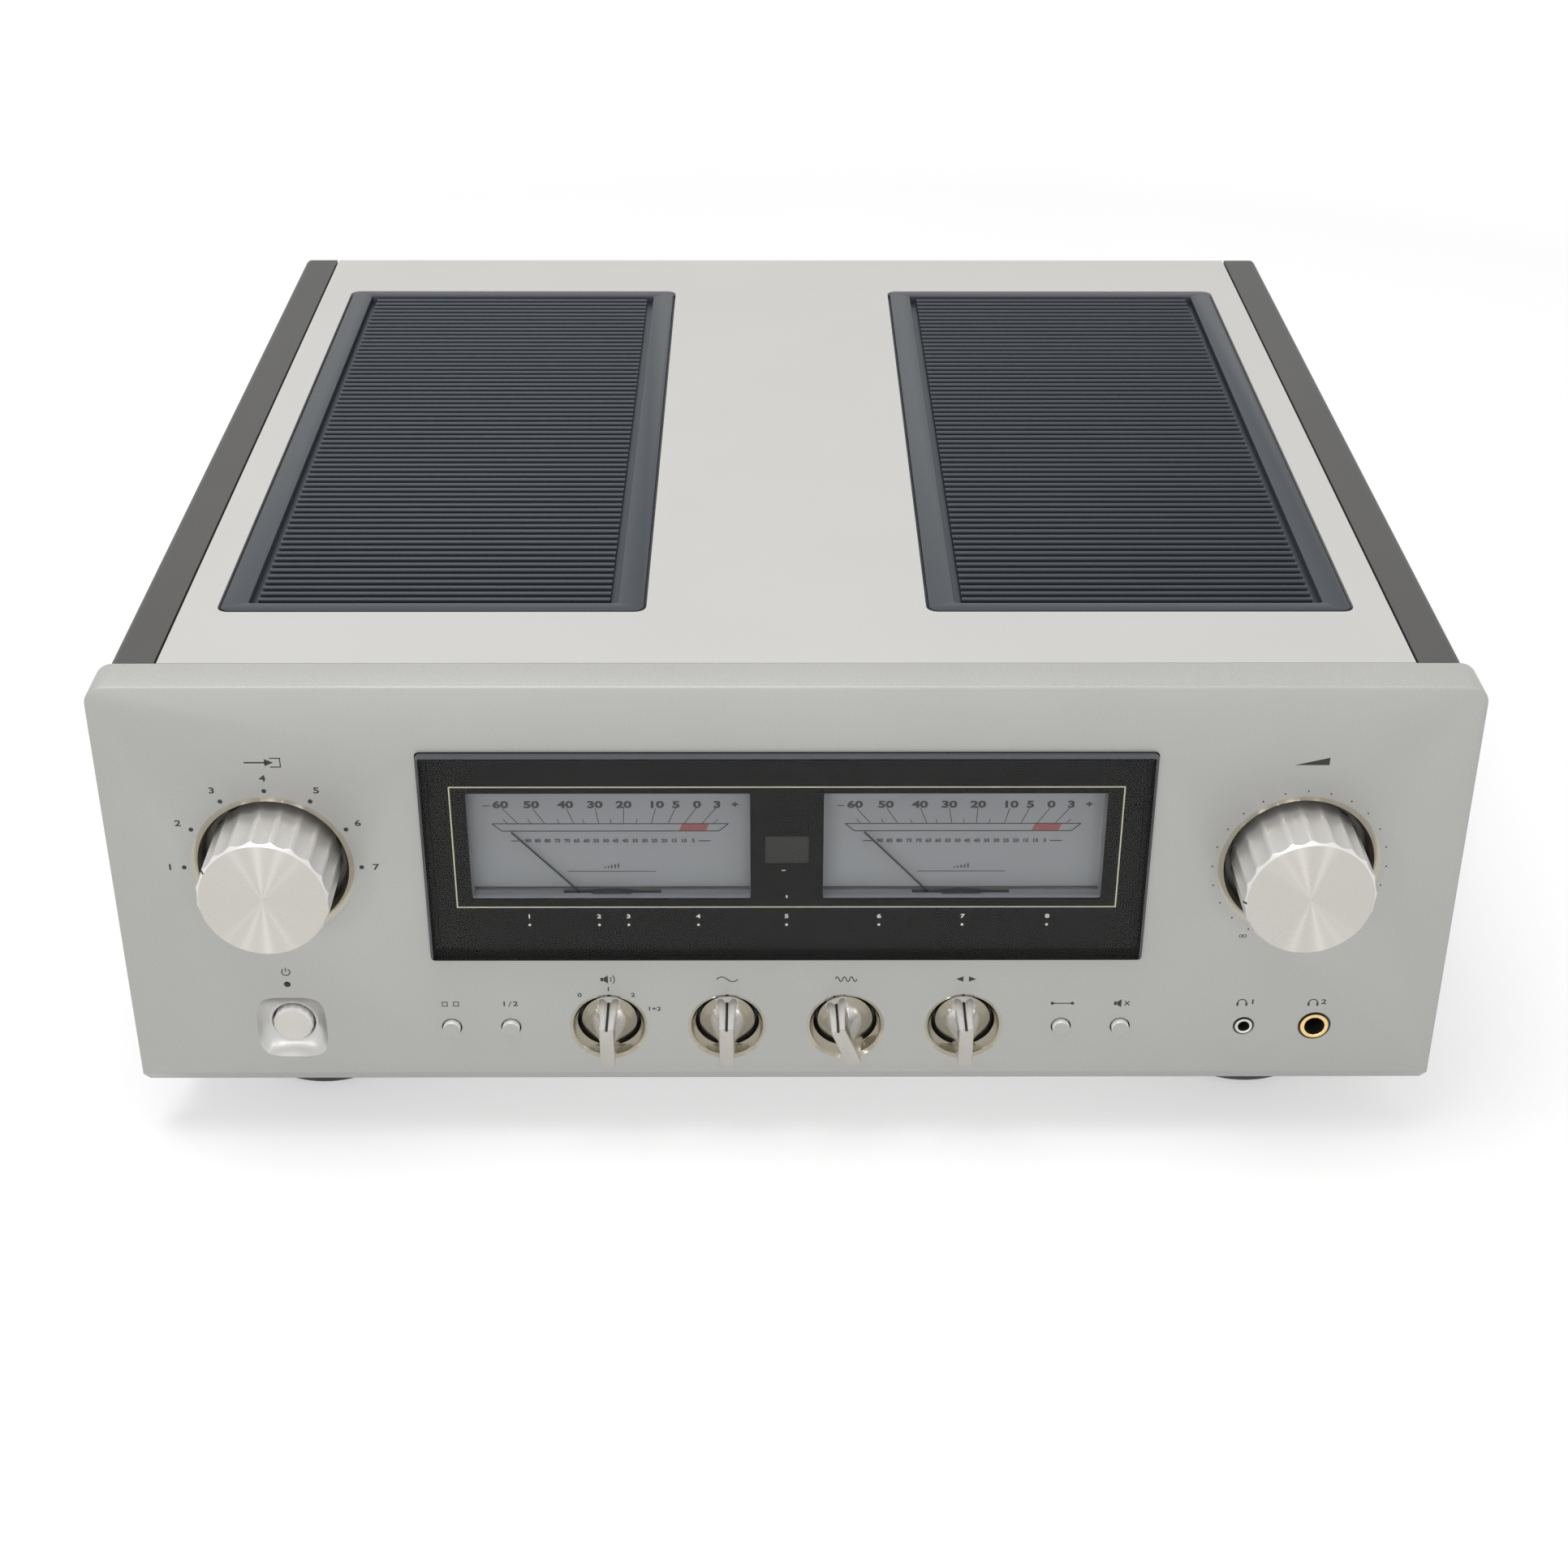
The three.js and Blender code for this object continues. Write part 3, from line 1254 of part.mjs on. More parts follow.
// A heat sink under each grille: upright fins on a spine that faces the middle
function makeHeatSink(sign) {
  const floor = baseFloorZ + fit;
  const pitch = (heatSinkBackY - heatSinkFrontY - heatSinkFin) / (heatSinkFins - 1);
  const points = [[heatSinkInnerX, heatSinkFrontY]];
  for (let i = 0; i < heatSinkFins; i += 1) {
    const start = heatSinkFrontY + i * pitch;
    points.push([heatSinkOuterX, start], [heatSinkOuterX, start + heatSinkFin]);
    if (i < heatSinkFins - 1) {
      points.push(
        [heatSinkInnerX + heatSinkSpine, start + heatSinkFin],
        [heatSinkInnerX + heatSinkSpine, start + pitch]);
    }
  }
  points.push([heatSinkInnerX, heatSinkBackY]);
  return prismZ(polygon(points.map(([x, y]) => [sign * x, y])), floor, heatSinkTopZ);
}

sides.forEach(([side, sign]) => place(`heat_sink_${side}`, makeHeatSink(sign), bareAluminium));

function makeAmplifierBoard() {
  const floor = baseFloorZ + fit;
  const boardLow = floor + boardStandHeight;
  const boardTop = boardLow + boardThickness;
  const span = [amplifierBoardFrontY, amplifierBoardBackY];
  const half = rearHalf - amplifierBoardSideGap;
  const board = block([-half, half], span, [boardLow, boardTop]);
  const standX = half - capacitorBoardMargin;
  const standRows = [span[0] + capacitorBoardMargin, span[1] - capacitorBoardMargin];
  const stands = [-standX, standX].flatMap((x) => standRows
    .map((y) => turnedUpright(
      [[0, floor], [boardStandRadius, floor], [boardStandRadius, boardLow + sink], [0, boardLow + sink]],
      [x, y], finePinSteps)));
  const relays = Array.from({ length: relayCount }, (_, i) => block(
    around((i - (relayCount - 1) / 2) * 2 * half / relayCount, relayWidth),
    around((span[0] + span[1]) / 2, relayDepth),
    [boardTop - sink, boardTop + relayHeight]));
  return join(board, ...stands, ...relays);
}

place('amplifier_board', makeAmplifierBoard(), circuitGreen);

export default amplifier;
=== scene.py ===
"""Looks of the integrated amplifier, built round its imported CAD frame.

Lengths are millimetres and angles are degrees; Bench turns them into Blender's metres.
X runs to the right, Y to the back and Z up, for someone who faces the front panel.
"""

import logging
import math
from collections.abc import Callable, Iterator, Sequence
from contextlib import contextmanager
from dataclasses import dataclass, field
from enum import Enum
from itertools import pairwise

import bmesh
import bpy
from mathutils import Matrix, Vector


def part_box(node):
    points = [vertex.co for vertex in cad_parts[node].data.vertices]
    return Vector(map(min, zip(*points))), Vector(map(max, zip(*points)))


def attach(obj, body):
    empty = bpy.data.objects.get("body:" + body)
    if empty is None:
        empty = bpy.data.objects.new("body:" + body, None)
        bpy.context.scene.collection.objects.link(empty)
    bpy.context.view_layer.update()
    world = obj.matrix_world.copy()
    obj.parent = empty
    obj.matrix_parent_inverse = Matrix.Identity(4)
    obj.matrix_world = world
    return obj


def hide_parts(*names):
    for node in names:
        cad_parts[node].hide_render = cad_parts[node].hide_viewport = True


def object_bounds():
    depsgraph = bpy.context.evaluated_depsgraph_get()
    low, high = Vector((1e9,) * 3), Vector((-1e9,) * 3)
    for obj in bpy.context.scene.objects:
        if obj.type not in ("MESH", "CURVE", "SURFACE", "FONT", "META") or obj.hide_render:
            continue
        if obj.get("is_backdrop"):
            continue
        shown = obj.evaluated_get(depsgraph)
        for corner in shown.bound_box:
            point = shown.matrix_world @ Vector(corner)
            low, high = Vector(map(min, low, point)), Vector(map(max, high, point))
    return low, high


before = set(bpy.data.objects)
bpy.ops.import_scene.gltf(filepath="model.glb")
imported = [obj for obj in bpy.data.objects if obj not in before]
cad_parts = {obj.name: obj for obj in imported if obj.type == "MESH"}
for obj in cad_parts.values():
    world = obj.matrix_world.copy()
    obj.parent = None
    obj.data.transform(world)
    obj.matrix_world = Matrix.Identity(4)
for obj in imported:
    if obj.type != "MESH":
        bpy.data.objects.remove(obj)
CAD_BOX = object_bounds()

MM = 0.001
MERGE_DISTANCE = 0.0005
OVERRUN = 1.0
PRINT_THICKNESS = 0.03
WAVE_RATE = 20          # rings that Blender's wave texture makes per unit at scale 1, in radians
MIX_FIRST, MIX_SECOND, MIX_RESULT = 6, 7, 2     # colour sockets of Blender's Mix node
TOUCH = 0.01            # points nearer than this to a plane lie on it
FIGURE_SHARE = 1.4      # a font's size over the height of its figures
SIDES = {"left": -1, "right": 1}
SIGNS = (-1, 1)
BUTTONS = ("separate", "cartridge", "straight", "mute")
BODY = "body"

log = logging.getLogger("amplifier")

Place = tuple[float, float]
Table = Sequence[Sequence[float]]
Colour = tuple[float, float, float]
Piece = bpy.types.Object
Socket = bpy.types.NodeSocket
Test = Callable[[Vector, Vector], bool]
Chooser = Callable[[Vector, Vector], int]


class Axis(Enum):
    """Directions of the frame that a shape turns about or runs along."""

    X = 0
    Y = 1
    Z = 2

    @property
    def vector(self) -> Vector:
        """Unit vector along the axis."""
        return Vector([float(i == self.value) for i in range(3)])


class Part(Enum):
    """Kinds of mesh part that can be picked in edit mode."""

    POINT = "VERT"
    EDGE = "EDGE"
    FACE = "FACE"


@dataclass(frozen=True)
class NodeBox:
    """Corners of a CAD node at rest."""

    low: Vector
    high: Vector

    @classmethod
    def of(cls, node: str) -> "NodeBox":
        """Box of the named CAD node."""
        low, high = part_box(node)
        return cls(low / MM, high / MM)

    @property
    def middle(self) -> Vector:
        """Centre of the box."""
        return (self.low + self.high) / 2

    @property
    def front(self) -> Place:
        """Centre of the box seen from the front, as X and Z."""
        return self.middle.x, self.middle.z


def runs_along(axis: Axis) -> Test:
    """Make a test for edges that run along one axis.

    Args:
        axis: The direction of the edges wanted.

    Returns:
        A test of an edge's two end points.
    """
    return lambda a, b: (b - a).normalized().cross(axis.vector).length < 0.01


def shares(steps: int) -> list[float]:
    """The shares from 0 to 1 at the ends of equal steps."""
    return [i / steps for i in range(steps + 1)]


def away(point: Vector, centre: Place) -> float:
    """How far a point lies from an axis along Y."""
    return math.hypot(point.x - centre[0], point.z - centre[1])


def chamfer_profile(radius: float, front: float, chamfer: Place, rings: int) -> list[Place]:
    """Make the profile of a knob's chamfer, from its face to its side.

    Args:
        radius: The knob's radius.
        front: Y of its face.
        chamfer: How far the chamfer reaches in and back.
        rings: Steps along it.

    Returns:
        Radius and Y of each point.
    """
    return [
        (radius - chamfer[0] * (1 - share), front + chamfer[1] * share) for share in shares(rings)]


def polar(centre: Place, radius: float, clock: float) -> Place:
    """Place at a radius and a clock angle, in degrees clockwise from straight up."""
    turn = math.radians(clock)
    return centre[0] + radius * math.sin(turn), centre[1] + radius * math.cos(turn)


def scallops(count: int, radius: float, depth: float) -> Callable[[float], float]:
    """Make the outline of a fluted knob: shallow hollows between softly rounded ridges.

    Args:
        count: How many flutes there are.
        radius: Radius at the ridges.
        depth: Depth of a flute.

    Returns:
        The radius at a share of a turn.
    """
    turn_off = 0.8

    def fall(across: float) -> float:
        """Depth from the middle of a flute (0) to a ridge (1)."""
        if across < turn_off:
            return 1 - across**2
        past = across - turn_off
        return 1 - turn_off**2 - 2 * turn_off * (past - past**2 / (2 - 2 * turn_off))

    ridge = fall(1)
    scale = depth / (1 - ridge)
    return lambda share: radius - scale * (fall(abs(2 * (share * count % 1) - 1)) - ridge)


class Bench:
    """Modelling steps, each made of Blender's own operators."""

    @staticmethod
    def clear() -> None:
        """Leave edit mode and deselect everything."""
        if bpy.context.object and bpy.context.object.mode != "OBJECT":
            bpy.ops.object.mode_set(mode="OBJECT")
        bpy.ops.object.select_all(action="DESELECT")

    @staticmethod
    def only(obj: Piece) -> None:
        """Select one object and make it the active one."""
        Bench.clear()
        obj.select_set(True)
        bpy.context.view_layer.objects.active = obj

    @staticmethod
    @contextmanager
    def editing(obj: Piece, part: Part = Part.POINT, selected: bool = False) -> Iterator[None]:
        """Open an object in edit mode.

        Args:
            obj: The object to edit.
            part: The kind of mesh part to select by.
            selected: Whether all of it starts out selected, or nothing.
        """
        Bench.only(obj)
        bpy.ops.object.mode_set(mode="EDIT")
        bpy.ops.mesh.select_mode(type=part.value)
        bpy.ops.mesh.select_all(action="SELECT" if selected else "DESELECT")
        yield
        bpy.ops.object.mode_set(mode="OBJECT")

    @staticmethod
    def pick_edges(obj: Piece, test: Test) -> None:
        """Select the edges of the open mesh whose ends pass a test.

        Args:
            obj: The object in edit mode.
            test: Takes the two end points in millimetres.
        """
        mesh = bmesh.from_edit_mesh(obj.data)
        for edge in mesh.edges:
            a, b = (v.co / MM for v in edge.verts)
            edge.select_set(test(a, b))
        bmesh.update_edit_mesh(obj.data)

    @staticmethod
    def pick_faces(obj: Piece, test: Test) -> None:
        """Select the faces of the open mesh that pass a test.

        Args:
            obj: The object in edit mode.
            test: Takes the face's centre in millimetres and its normal.
        """
        mesh = bmesh.from_edit_mesh(obj.data)
        for face in mesh.faces:
            face.select_set(test(face.calc_center_median() / MM, face.normal))
        bmesh.update_edit_mesh(obj.data)

    @staticmethod
    def settle(obj: Piece) -> Piece:
        """Bake the object's place into its mesh."""
        Bench.only(obj)
        bpy.ops.object.transform_apply(location=True, rotation=True, scale=True)
        return obj

    @staticmethod
    def slab(name: str, low: Sequence[float], high: Sequence[float]) -> Piece:
        """Add a box between two corners.

        Args:
            name: The new object's name.
            low: The lowest corner.
            high: The highest corner.

        Returns:
            The box.
        """
        Bench.clear()
        middle = [(a + b) / 2 * MM for a, b in zip(low, high)]
        size = [(b - a) * MM for a, b in zip(low, high)]
        bpy.ops.mesh.primitive_cube_add(size=1, location=middle, scale=size)
        obj = bpy.context.object
        obj.name = name
        return Bench.settle(obj)

    @staticmethod
    def bevel(obj: Piece, test: Test, width: float, segments: int = 2) -> None:
        """Bevel the edges that pass a test.

        Args:
            obj: The object to bevel.
            test: Takes an edge's two end points.
            width: Width of the bevel, or its radius when it is round.
            segments: One for a flat bevel, more for a round one.
        """
        with Bench.editing(obj, Part.EDGE):
            Bench.pick_edges(obj, test)
            bpy.ops.mesh.bevel(
                offset=width * MM, offset_type="OFFSET", segments=segments,
                affect="EDGES", clamp_overlap=True)

    @staticmethod
    def corners(obj: Piece, width: float, segments: int, axis: Axis = Axis.Y) -> None:
        """Bevel the edges that run along an axis."""
        Bench.bevel(obj, runs_along(axis), width, segments)

    @staticmethod
    def rim(obj: Piece, station: float, width: float, segments: int, axis: Axis = Axis.Y) -> None:
        """Bevel the edges round a flat face.

        Args:
            obj: The object to bevel.
            station: Where along the axis the face lies.
            width: Width of the bevel.
            segments: One for a flat bevel, more for a round one.
            axis: The axis that the face is square to.
        """
        i = axis.value
        Bench.bevel(
            obj, lambda *ends: all(abs(end[i] - station) < TOUCH for end in ends), width, segments)

    @staticmethod
    def chain(name: str, points: Sequence[Vector]) -> Piece:
        """Draw a chain of edges through points, by extruding one vertex along it.

        Args:
            name: The new object's name.
            points: The chain's points in millimetres.

        Returns:
            The chain as an object without faces.
        """
        Bench.clear()
        bpy.ops.mesh.primitive_plane_add(size=MM, location=points[0] * MM)
        obj = Bench.settle(bpy.context.object)
        obj.name = name
        with Bench.editing(obj, selected=True):
            bpy.ops.mesh.merge(type="CENTER")
            for start, end in pairwise(points):
                step = {"value": (end - start) * MM}
                bpy.ops.mesh.extrude_region_move(TRANSFORM_OT_translate=step)
        return obj

    @staticmethod
    def close_up(obj: Piece) -> None:
        """Merge doubles and point every face outwards."""
        with Bench.editing(obj, selected=True):
            bpy.ops.mesh.remove_doubles(threshold=MERGE_DISTANCE * MM)
            bpy.ops.mesh.normals_make_consistent(inside=False)

    @staticmethod
    def turned(
        name: str, profile: Sequence[Place], centre: Place, steps: int = 64, axis: Axis = Axis.Y
    ) -> Piece:
        """Turn a profile about an axis along Y or Z.

        Args:
            name: The new object's name.
            profile: Radius and station along the axis of each point.
            centre: X and Z of an axis along Y, or X and Y of one along Z.
            steps: Number of steps round the axis.
            axis: The axis to turn about.

        Returns:
            The turned shape, closed where the profile meets the axis or itself.
        """
        if axis is Axis.Y:
            points = [Vector((centre[0] + r, station, centre[1])) for r, station in profile]
            pivot = Vector((centre[0], 0, centre[1])) * MM
        else:
            points = [Vector((centre[0] + r, centre[1], station)) for r, station in profile]
            pivot = Vector((centre[0], centre[1], 0)) * MM
        obj = Bench.chain(name, points)
        with Bench.editing(obj, selected=True):
            bpy.ops.mesh.spin(steps=steps, angle=math.tau, center=pivot, axis=axis.vector)
        Bench.close_up(obj)
        return obj

    @staticmethod
    def rod(name: str, centre: Place, radius: float, span: Place, steps: int) -> Piece:
        """Plain round bar along Y, from which holes are cut."""
        start, end = span
        return Bench.turned(
            name, [(0, start), (radius, start), (radius, end), (0, end)], centre, steps)

    @staticmethod
    def prism(
        name: str, outline: Sequence[Place], stations: Sequence[float], axis: Axis = Axis.Y
    ) -> Piece:
        """Draw an outline, fill it and extrude it along an axis in one or more steps.

        Args:
            name: The new object's name.
            outline: Points in X and Z for an axis along Y, in Y and Z for X, in X and Y for Z.
            stations: Where the prism starts, each place where it gets a ring, and where it ends.
            axis: The direction of extrusion.

        Returns:
            The closed prism.
        """
        def lift(u: float, v: float) -> Vector:
            """Put an outline point in space."""
            start = stations[0]
            return Vector(
                {Axis.X: (start, u, v), Axis.Y: (u, start, v), Axis.Z: (u, v, start)}[axis])

        obj = Bench.chain(name, [lift(u, v) for u, v in outline])
        with Bench.editing(obj, selected=True):
            bpy.ops.mesh.edge_face_add()
            for start, end in pairwise(stations):
                bpy.ops.mesh.extrude_region_move(
                    TRANSFORM_OT_translate={"value": axis.vector * (end - start) * MM})
        Bench.close_up(obj)
        return obj

    @staticmethod
    def join(name: str, pieces: Sequence[Piece]) -> Piece:
        """Join several objects into one.

        Args:
            name: The joined object's name.
            pieces: The objects; the first one keeps its materials first.

        Returns:
            The joined object.
        """
        Bench.only(pieces[0])
        for piece in pieces[1:]:
            piece.select_set(True)
        bpy.ops.object.join()
        bpy.context.object.name = name
        return bpy.context.object

    @staticmethod
    def apply(obj: Piece, kind: str, **settings: object) -> None:
        """Add a modifier, set it and apply it.

        Args:
            obj: The object to modify.
            kind: Blender's name of the modifier.
            **settings: The modifier's values, lengths in metres.
        """
        modifier = obj.modifiers.new(kind.lower(), kind)
        for name, value in settings.items():
            setattr(modifier, name, value)
        Bench.only(obj)
        bpy.ops.object.modifier_apply(modifier=modifier.name)

    @staticmethod
    def combine(obj: Piece, tool: Piece, operation: str) -> None:
        """Add a shape to an object or cut it out, and throw the shape away."""
        Bench.apply(obj, "BOOLEAN", operation=operation, solver="EXACT", object=tool)
        bpy.data.objects.remove(tool, do_unlink=True)

    @staticmethod
    def carve(obj: Piece, *cutters: Piece) -> None:
        """Cut one or more shapes out of an object."""
        tool = Bench.join("cutter", cutters) if len(cutters) > 1 else cutters[0]
        Bench.combine(obj, tool, "DIFFERENCE")

    @staticmethod
    def duplicate(obj: Piece, name: str, shift: Sequence[float]) -> Piece:
        """Copy an object with its own mesh and shift the copy.

        Args:
            obj: The object to copy.
            name: The copy's name.
            shift: How far the copy moves.

        Returns:
            The copy.
        """
        Bench.only(obj)
        bpy.ops.object.duplicate(linked=False)
        copy = bpy.context.object
        copy.name = name
        bpy.ops.transform.translate(value=Vector(shift) * MM)
        return Bench.settle(copy)

    @staticmethod
    def copies(pieces: Sequence[Piece], places: Sequence[Place]) -> list[Piece]:
        """Repeat pieces that are modelled at the first of several places seen from the front.

        Args:
            pieces: The pieces at the first place.
            places: X and Z of every place.

        Returns:
            The pieces and all their copies.
        """
        (first_x, first_z), *others = places
        return [*pieces, *(
            Bench.duplicate(piece, piece.name, (x - first_x, 0, z - first_z))
            for x, z in others for piece in pieces)]

    @staticmethod
    def reshape(obj: Piece, centre: Place, move: Callable[[float, float, float], Place]) -> None:
        """Move every point of an object square to an axis along Y.

        Args:
            obj: The object.
            centre: X and Z of the axis.
            move: Takes a point's distance across and up from the axis and its Y, and returns
                where it goes, across and up.
        """
        for vertex in obj.data.vertices:
            x, y, z = (part / MM for part in vertex.co)
            across, up = move(x - centre[0], z - centre[1], y)
            vertex.co.x, vertex.co.z = (centre[0] + across) * MM, (centre[1] + up) * MM

    @staticmethod
    def flute(obj: Piece, centre: Place, limit: Callable[[float], float]) -> None:
        """Pull in every point that stands further from an axis along Y than a limit.

        Args:
            obj: The turned object.
            centre: X and Z of the axis.
            limit: Takes the share of a turn clockwise from the top, returns the largest radius.
        """
        def pull(across: float, up: float, station: float) -> Place:
            """Place of one point after the pull."""
            reach = math.hypot(across, up)
            inward = min(1.0, limit(math.atan2(across, up) / math.tau % 1) / max(reach, TOUCH))
            return across * inward, up * inward

        Bench.reshape(obj, centre, pull)

    @staticmethod
    def turn(obj: Piece, centre: Place, clock: float) -> None:
        """Turn an object about an axis along Y.

        Args:
            obj: The object to turn.
            centre: X and Z of the axis.
            clock: Degrees clockwise as seen from the front.
        """
        pivot = Matrix.Translation(Vector((centre[0], 0, centre[1])) * MM)
        obj.data.transform(pivot @ Matrix.Rotation(math.radians(clock), 4, "Y") @ pivot.inverted())

    @staticmethod
    def paint(
        obj: Piece, *finishes: "Finish", choose: Chooser = lambda point, normal: 0
    ) -> Piece:
        """Give an object its finishes.

        Args:
            obj: The object to paint.
            *finishes: Its finishes in order.
            choose: Takes a face's centre and normal and returns which finish it has.

        Returns:
            The object.
        """
        obj.data.materials.clear()
        for finish in finishes:
            obj.data.materials.append(finish.material())
        for face in obj.data.polygons:
            face.material_index = choose(face.center / MM, face.normal)
        return obj

    @staticmethod
    def finish(
        obj: Piece, slot: str, *replaces: str, body: str = BODY, smooth: float = 30
    ) -> Piece:
        """Shade a piece, hang it on its body and hide the CAD nodes that it stands for.

        Args:
            obj: The finished piece.
            slot: Not used.
            *replaces: CAD nodes that it stands for.
            body: The CAD body that it rides on.
            smooth: Edges sharper than this stay sharp.

        Returns:
            The piece.
        """
        Bench.settle(obj)
        bpy.ops.object.shade_smooth_by_angle(angle=math.radians(smooth))
        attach(obj, body)
        if replaces:
            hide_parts(*replaces)
        return obj


class NodeDesk:
    """Lays out the shader nodes of one tree."""

    def __init__(self, tree: bpy.types.NodeTree) -> None:
        """Take a material's or the world's node tree."""
        self.nodes, self.links = tree.nodes, tree.links

    def add(self, kind: str, feeds: dict[str | int, object], **settings: object) -> bpy.types.Node:
        """Add a node and fill its inputs.

        Args:
            kind: Blender's name of the node, without its first word.
            feeds: For each input, the socket that it is linked to or its value.
            **settings: The node's own settings.

        Returns:
            The node.
        """
        node = self.nodes.new(f"ShaderNode{kind}")
        for name, value in settings.items():
            setattr(node, name, value)
        for name, value in feeds.items():
            if isinstance(value, Socket):
                self.links.new(value, node.inputs[name])
            else:
                node.inputs[name].default_value = value
        return node

    def output(self, name: str, surface: Socket) -> None:
        """Show a shader on the tree's output."""
        self.links.new(surface, self.nodes[name].inputs["Surface"])

    def spread(self, factor: Socket, low: float, high: float, span: Place = (0.3, 0.7)) -> Socket:
        """Map a factor to a range of numbers.

        Args:
            factor: The socket that varies.
            low: The number at the start of the span.
            high: The number at its end.
            span: The stretch of the factor that is used.

        Returns:
            The mapped socket.
        """
        ends = dict(zip(("From Min", "From Max", "To Min", "To Max"), (*span, low, high)))
        return self.add("MapRange", {**ends, "Value": factor}).outputs["Result"]


class MaterialDesk(NodeDesk):
    """Lays out one material round its Principled shader, on object coordinates."""

    def __init__(self, name: str) -> None:
        """Start a material.

        Args:
            name: The material's name.
        """
        self.material = bpy.data.materials.new(name)
        self.material.use_nodes = True
        super().__init__(self.material.node_tree)
        self.shader = self.nodes["Principled BSDF"]
        self.place = self.add("TexCoord", {}).outputs["Object"]

    def set(self, **values: object) -> None:
        """Set uniform values on the shader's own sockets, underscores standing for spaces."""
        for name, value in values.items():
            self.shader.inputs[name.replace("_", " ")].default_value = value

    def feed(self, socket: str, source: Socket) -> None:
        """Link a pattern to one of the shader's sockets."""
        self.links.new(source, self.shader.inputs[socket])

    def noise(self, size: float, detail: float = 2.0) -> Socket:
        """Noise with features of a real size."""
        place = self.add("Mapping", {"Vector": self.place}).outputs["Vector"]
        feeds = {"Vector": place, "Scale": 1 / (size * MM), "Detail": detail}
        return self.add("TexNoise", feeds).outputs["Fac"]

    def blend(self, factor: Socket, first: Colour, second: Colour) -> Socket:
        """Mix two colours by a factor."""
        ends = {MIX_FIRST: (*first, 1), MIX_SECOND: (*second, 1)}
        return self.add("Mix", {"Factor": factor, **ends}, data_type="RGBA").outputs[MIX_RESULT]

    def relief(self, height: Socket, depth: float, strength: float = 1.0) -> None:
        """Bump the surface by a pattern of some depth, of which a share shows."""
        bump = self.add("Bump", {"Distance": depth * MM, "Strength": strength, "Height": height})
        self.feed("Normal", bump.outputs["Normal"])


def shade(colour: Colour, factor: float) -> Colour:
    """The colour made lighter or darker by a factor."""
    return tuple(min(1.0, channel * factor) for channel in colour)


@dataclass(frozen=True)
class Finish:
    """A sprayed, cast, moulded or blasted surface with a fine grain."""

    name: str
    colour: Colour
    metallic: float = 0.0
    roughness: float = 0.5
    grain: float = 0.3
    grain_depth: float = 0.004
    mottle: float = 0.04
    mottle_size: float = 24.0
    specular: float = 0.5
    speckle: float = 0.3

    @property
    def shades(self) -> tuple[Colour, Colour]:
        """The darkest and the lightest colour of the mottle."""
        return shade(self.colour, 1 - self.mottle), shade(self.colour, 1 + self.mottle)

    @property
    def roughness_span(self) -> Place:
        """The least and the greatest roughness of the grain."""
        return self.roughness * 0.9, self.roughness * 1.1

    def material(self) -> bpy.types.Material:
        """Make the finish, or take the one that is made already.

        Returns:
            The material.
        """
        made = bpy.data.materials.get(self.name)
        if made:
            return made
        desk = MaterialDesk(self.name)
        self.dress(desk)
        return desk.material

    def dress(self, desk: MaterialDesk) -> None:
        """Lay out colour, gloss and grain.

        Args:
            desk: The material's desk.
        """
        desk.set(Metallic=self.metallic, Specular_IOR_Level=self.specular)
        fine = desk.noise(self.grain)
        cloud = desk.spread(desk.noise(self.mottle_size, 3), 0, 1 - self.speckle)
        total = desk.add("Math", {0: cloud, 1: desk.spread(fine, 0, self.speckle)})
        desk.feed("Base Color", desk.blend(total.outputs["Value"], *self.shades))
        desk.feed("Roughness", desk.spread(fine, *self.roughness_span))
        desk.relief(fine, self.grain_depth)


@dataclass(frozen=True)
class SpunFinish(Finish):
    """Metal faced on a lathe, whose fine rings throw wedges of light."""

    centre: Place = (0.0, 0.0)
    anisotropy: float = 0.75
    ring_pitch: float = 0.5
    distortion: float = 0.6

    def dress(self, desk: MaterialDesk) -> None:
        """Add rings about the centre and stretch the highlight across them.

        Args:
            desk: The material's desk.
        """
        desk.set(
            Metallic=self.metallic, Specular_IOR_Level=self.specular, Anisotropic=self.anisotropy,
            Anisotropic_Rotation=0.25)
        shift = Vector((-self.centre[0], 0, -self.centre[1])) * MM
        place = desk.add("Mapping", {"Location": shift, "Vector": desk.place}).outputs["Vector"]
        rings = desk.add("TexWave", {
            "Scale": math.tau / (WAVE_RATE * self.ring_pitch * MM), "Distortion": self.distortion,
            "Detail": 3, "Vector": place}, wave_type="RINGS", rings_direction="Y").outputs["Fac"]
        tangent = desk.add("Tangent", {}, direction_type="RADIAL", axis="Y")
        desk.feed("Tangent", tangent.outputs["Tangent"])
        desk.feed("Base Color", desk.blend(rings, *self.shades))
        desk.feed("Roughness", desk.spread(rings, *self.roughness_span, (0, 1)))
        desk.relief(rings, self.grain_depth, 0.5)


@dataclass(frozen=True)
class GlassFinish(Finish):
    """Clear window glass that lets the studio light through to the dials."""

    index: float = 1.17
    shadow: float = 0.95

    def dress(self, desk: MaterialDesk) -> None:
        """Make it transmit, and count as clear for shadows.

        Args:
            desk: The material's desk.
        """
        desk.set(
            Roughness=self.roughness, IOR=self.index, Transmission_Weight=1.0,
            Specular_IOR_Level=self.specular)
        streaks = desk.spread(desk.noise(self.mottle_size), 0, 1)
        desk.feed("Base Color", desk.blend(streaks, self.shades[0], self.colour))
        clear = desk.add("BsdfTransparent", {"Color": (*shade(self.colour, self.shadow), 1)})
        mix = desk.add("MixShader", {
            "Fac": desk.add("LightPath", {}).outputs["Is Shadow Ray"],
            1: desk.shader.outputs["BSDF"], 2: clear.outputs["BSDF"]})
        desk.output("Material Output", mix.outputs["Shader"])


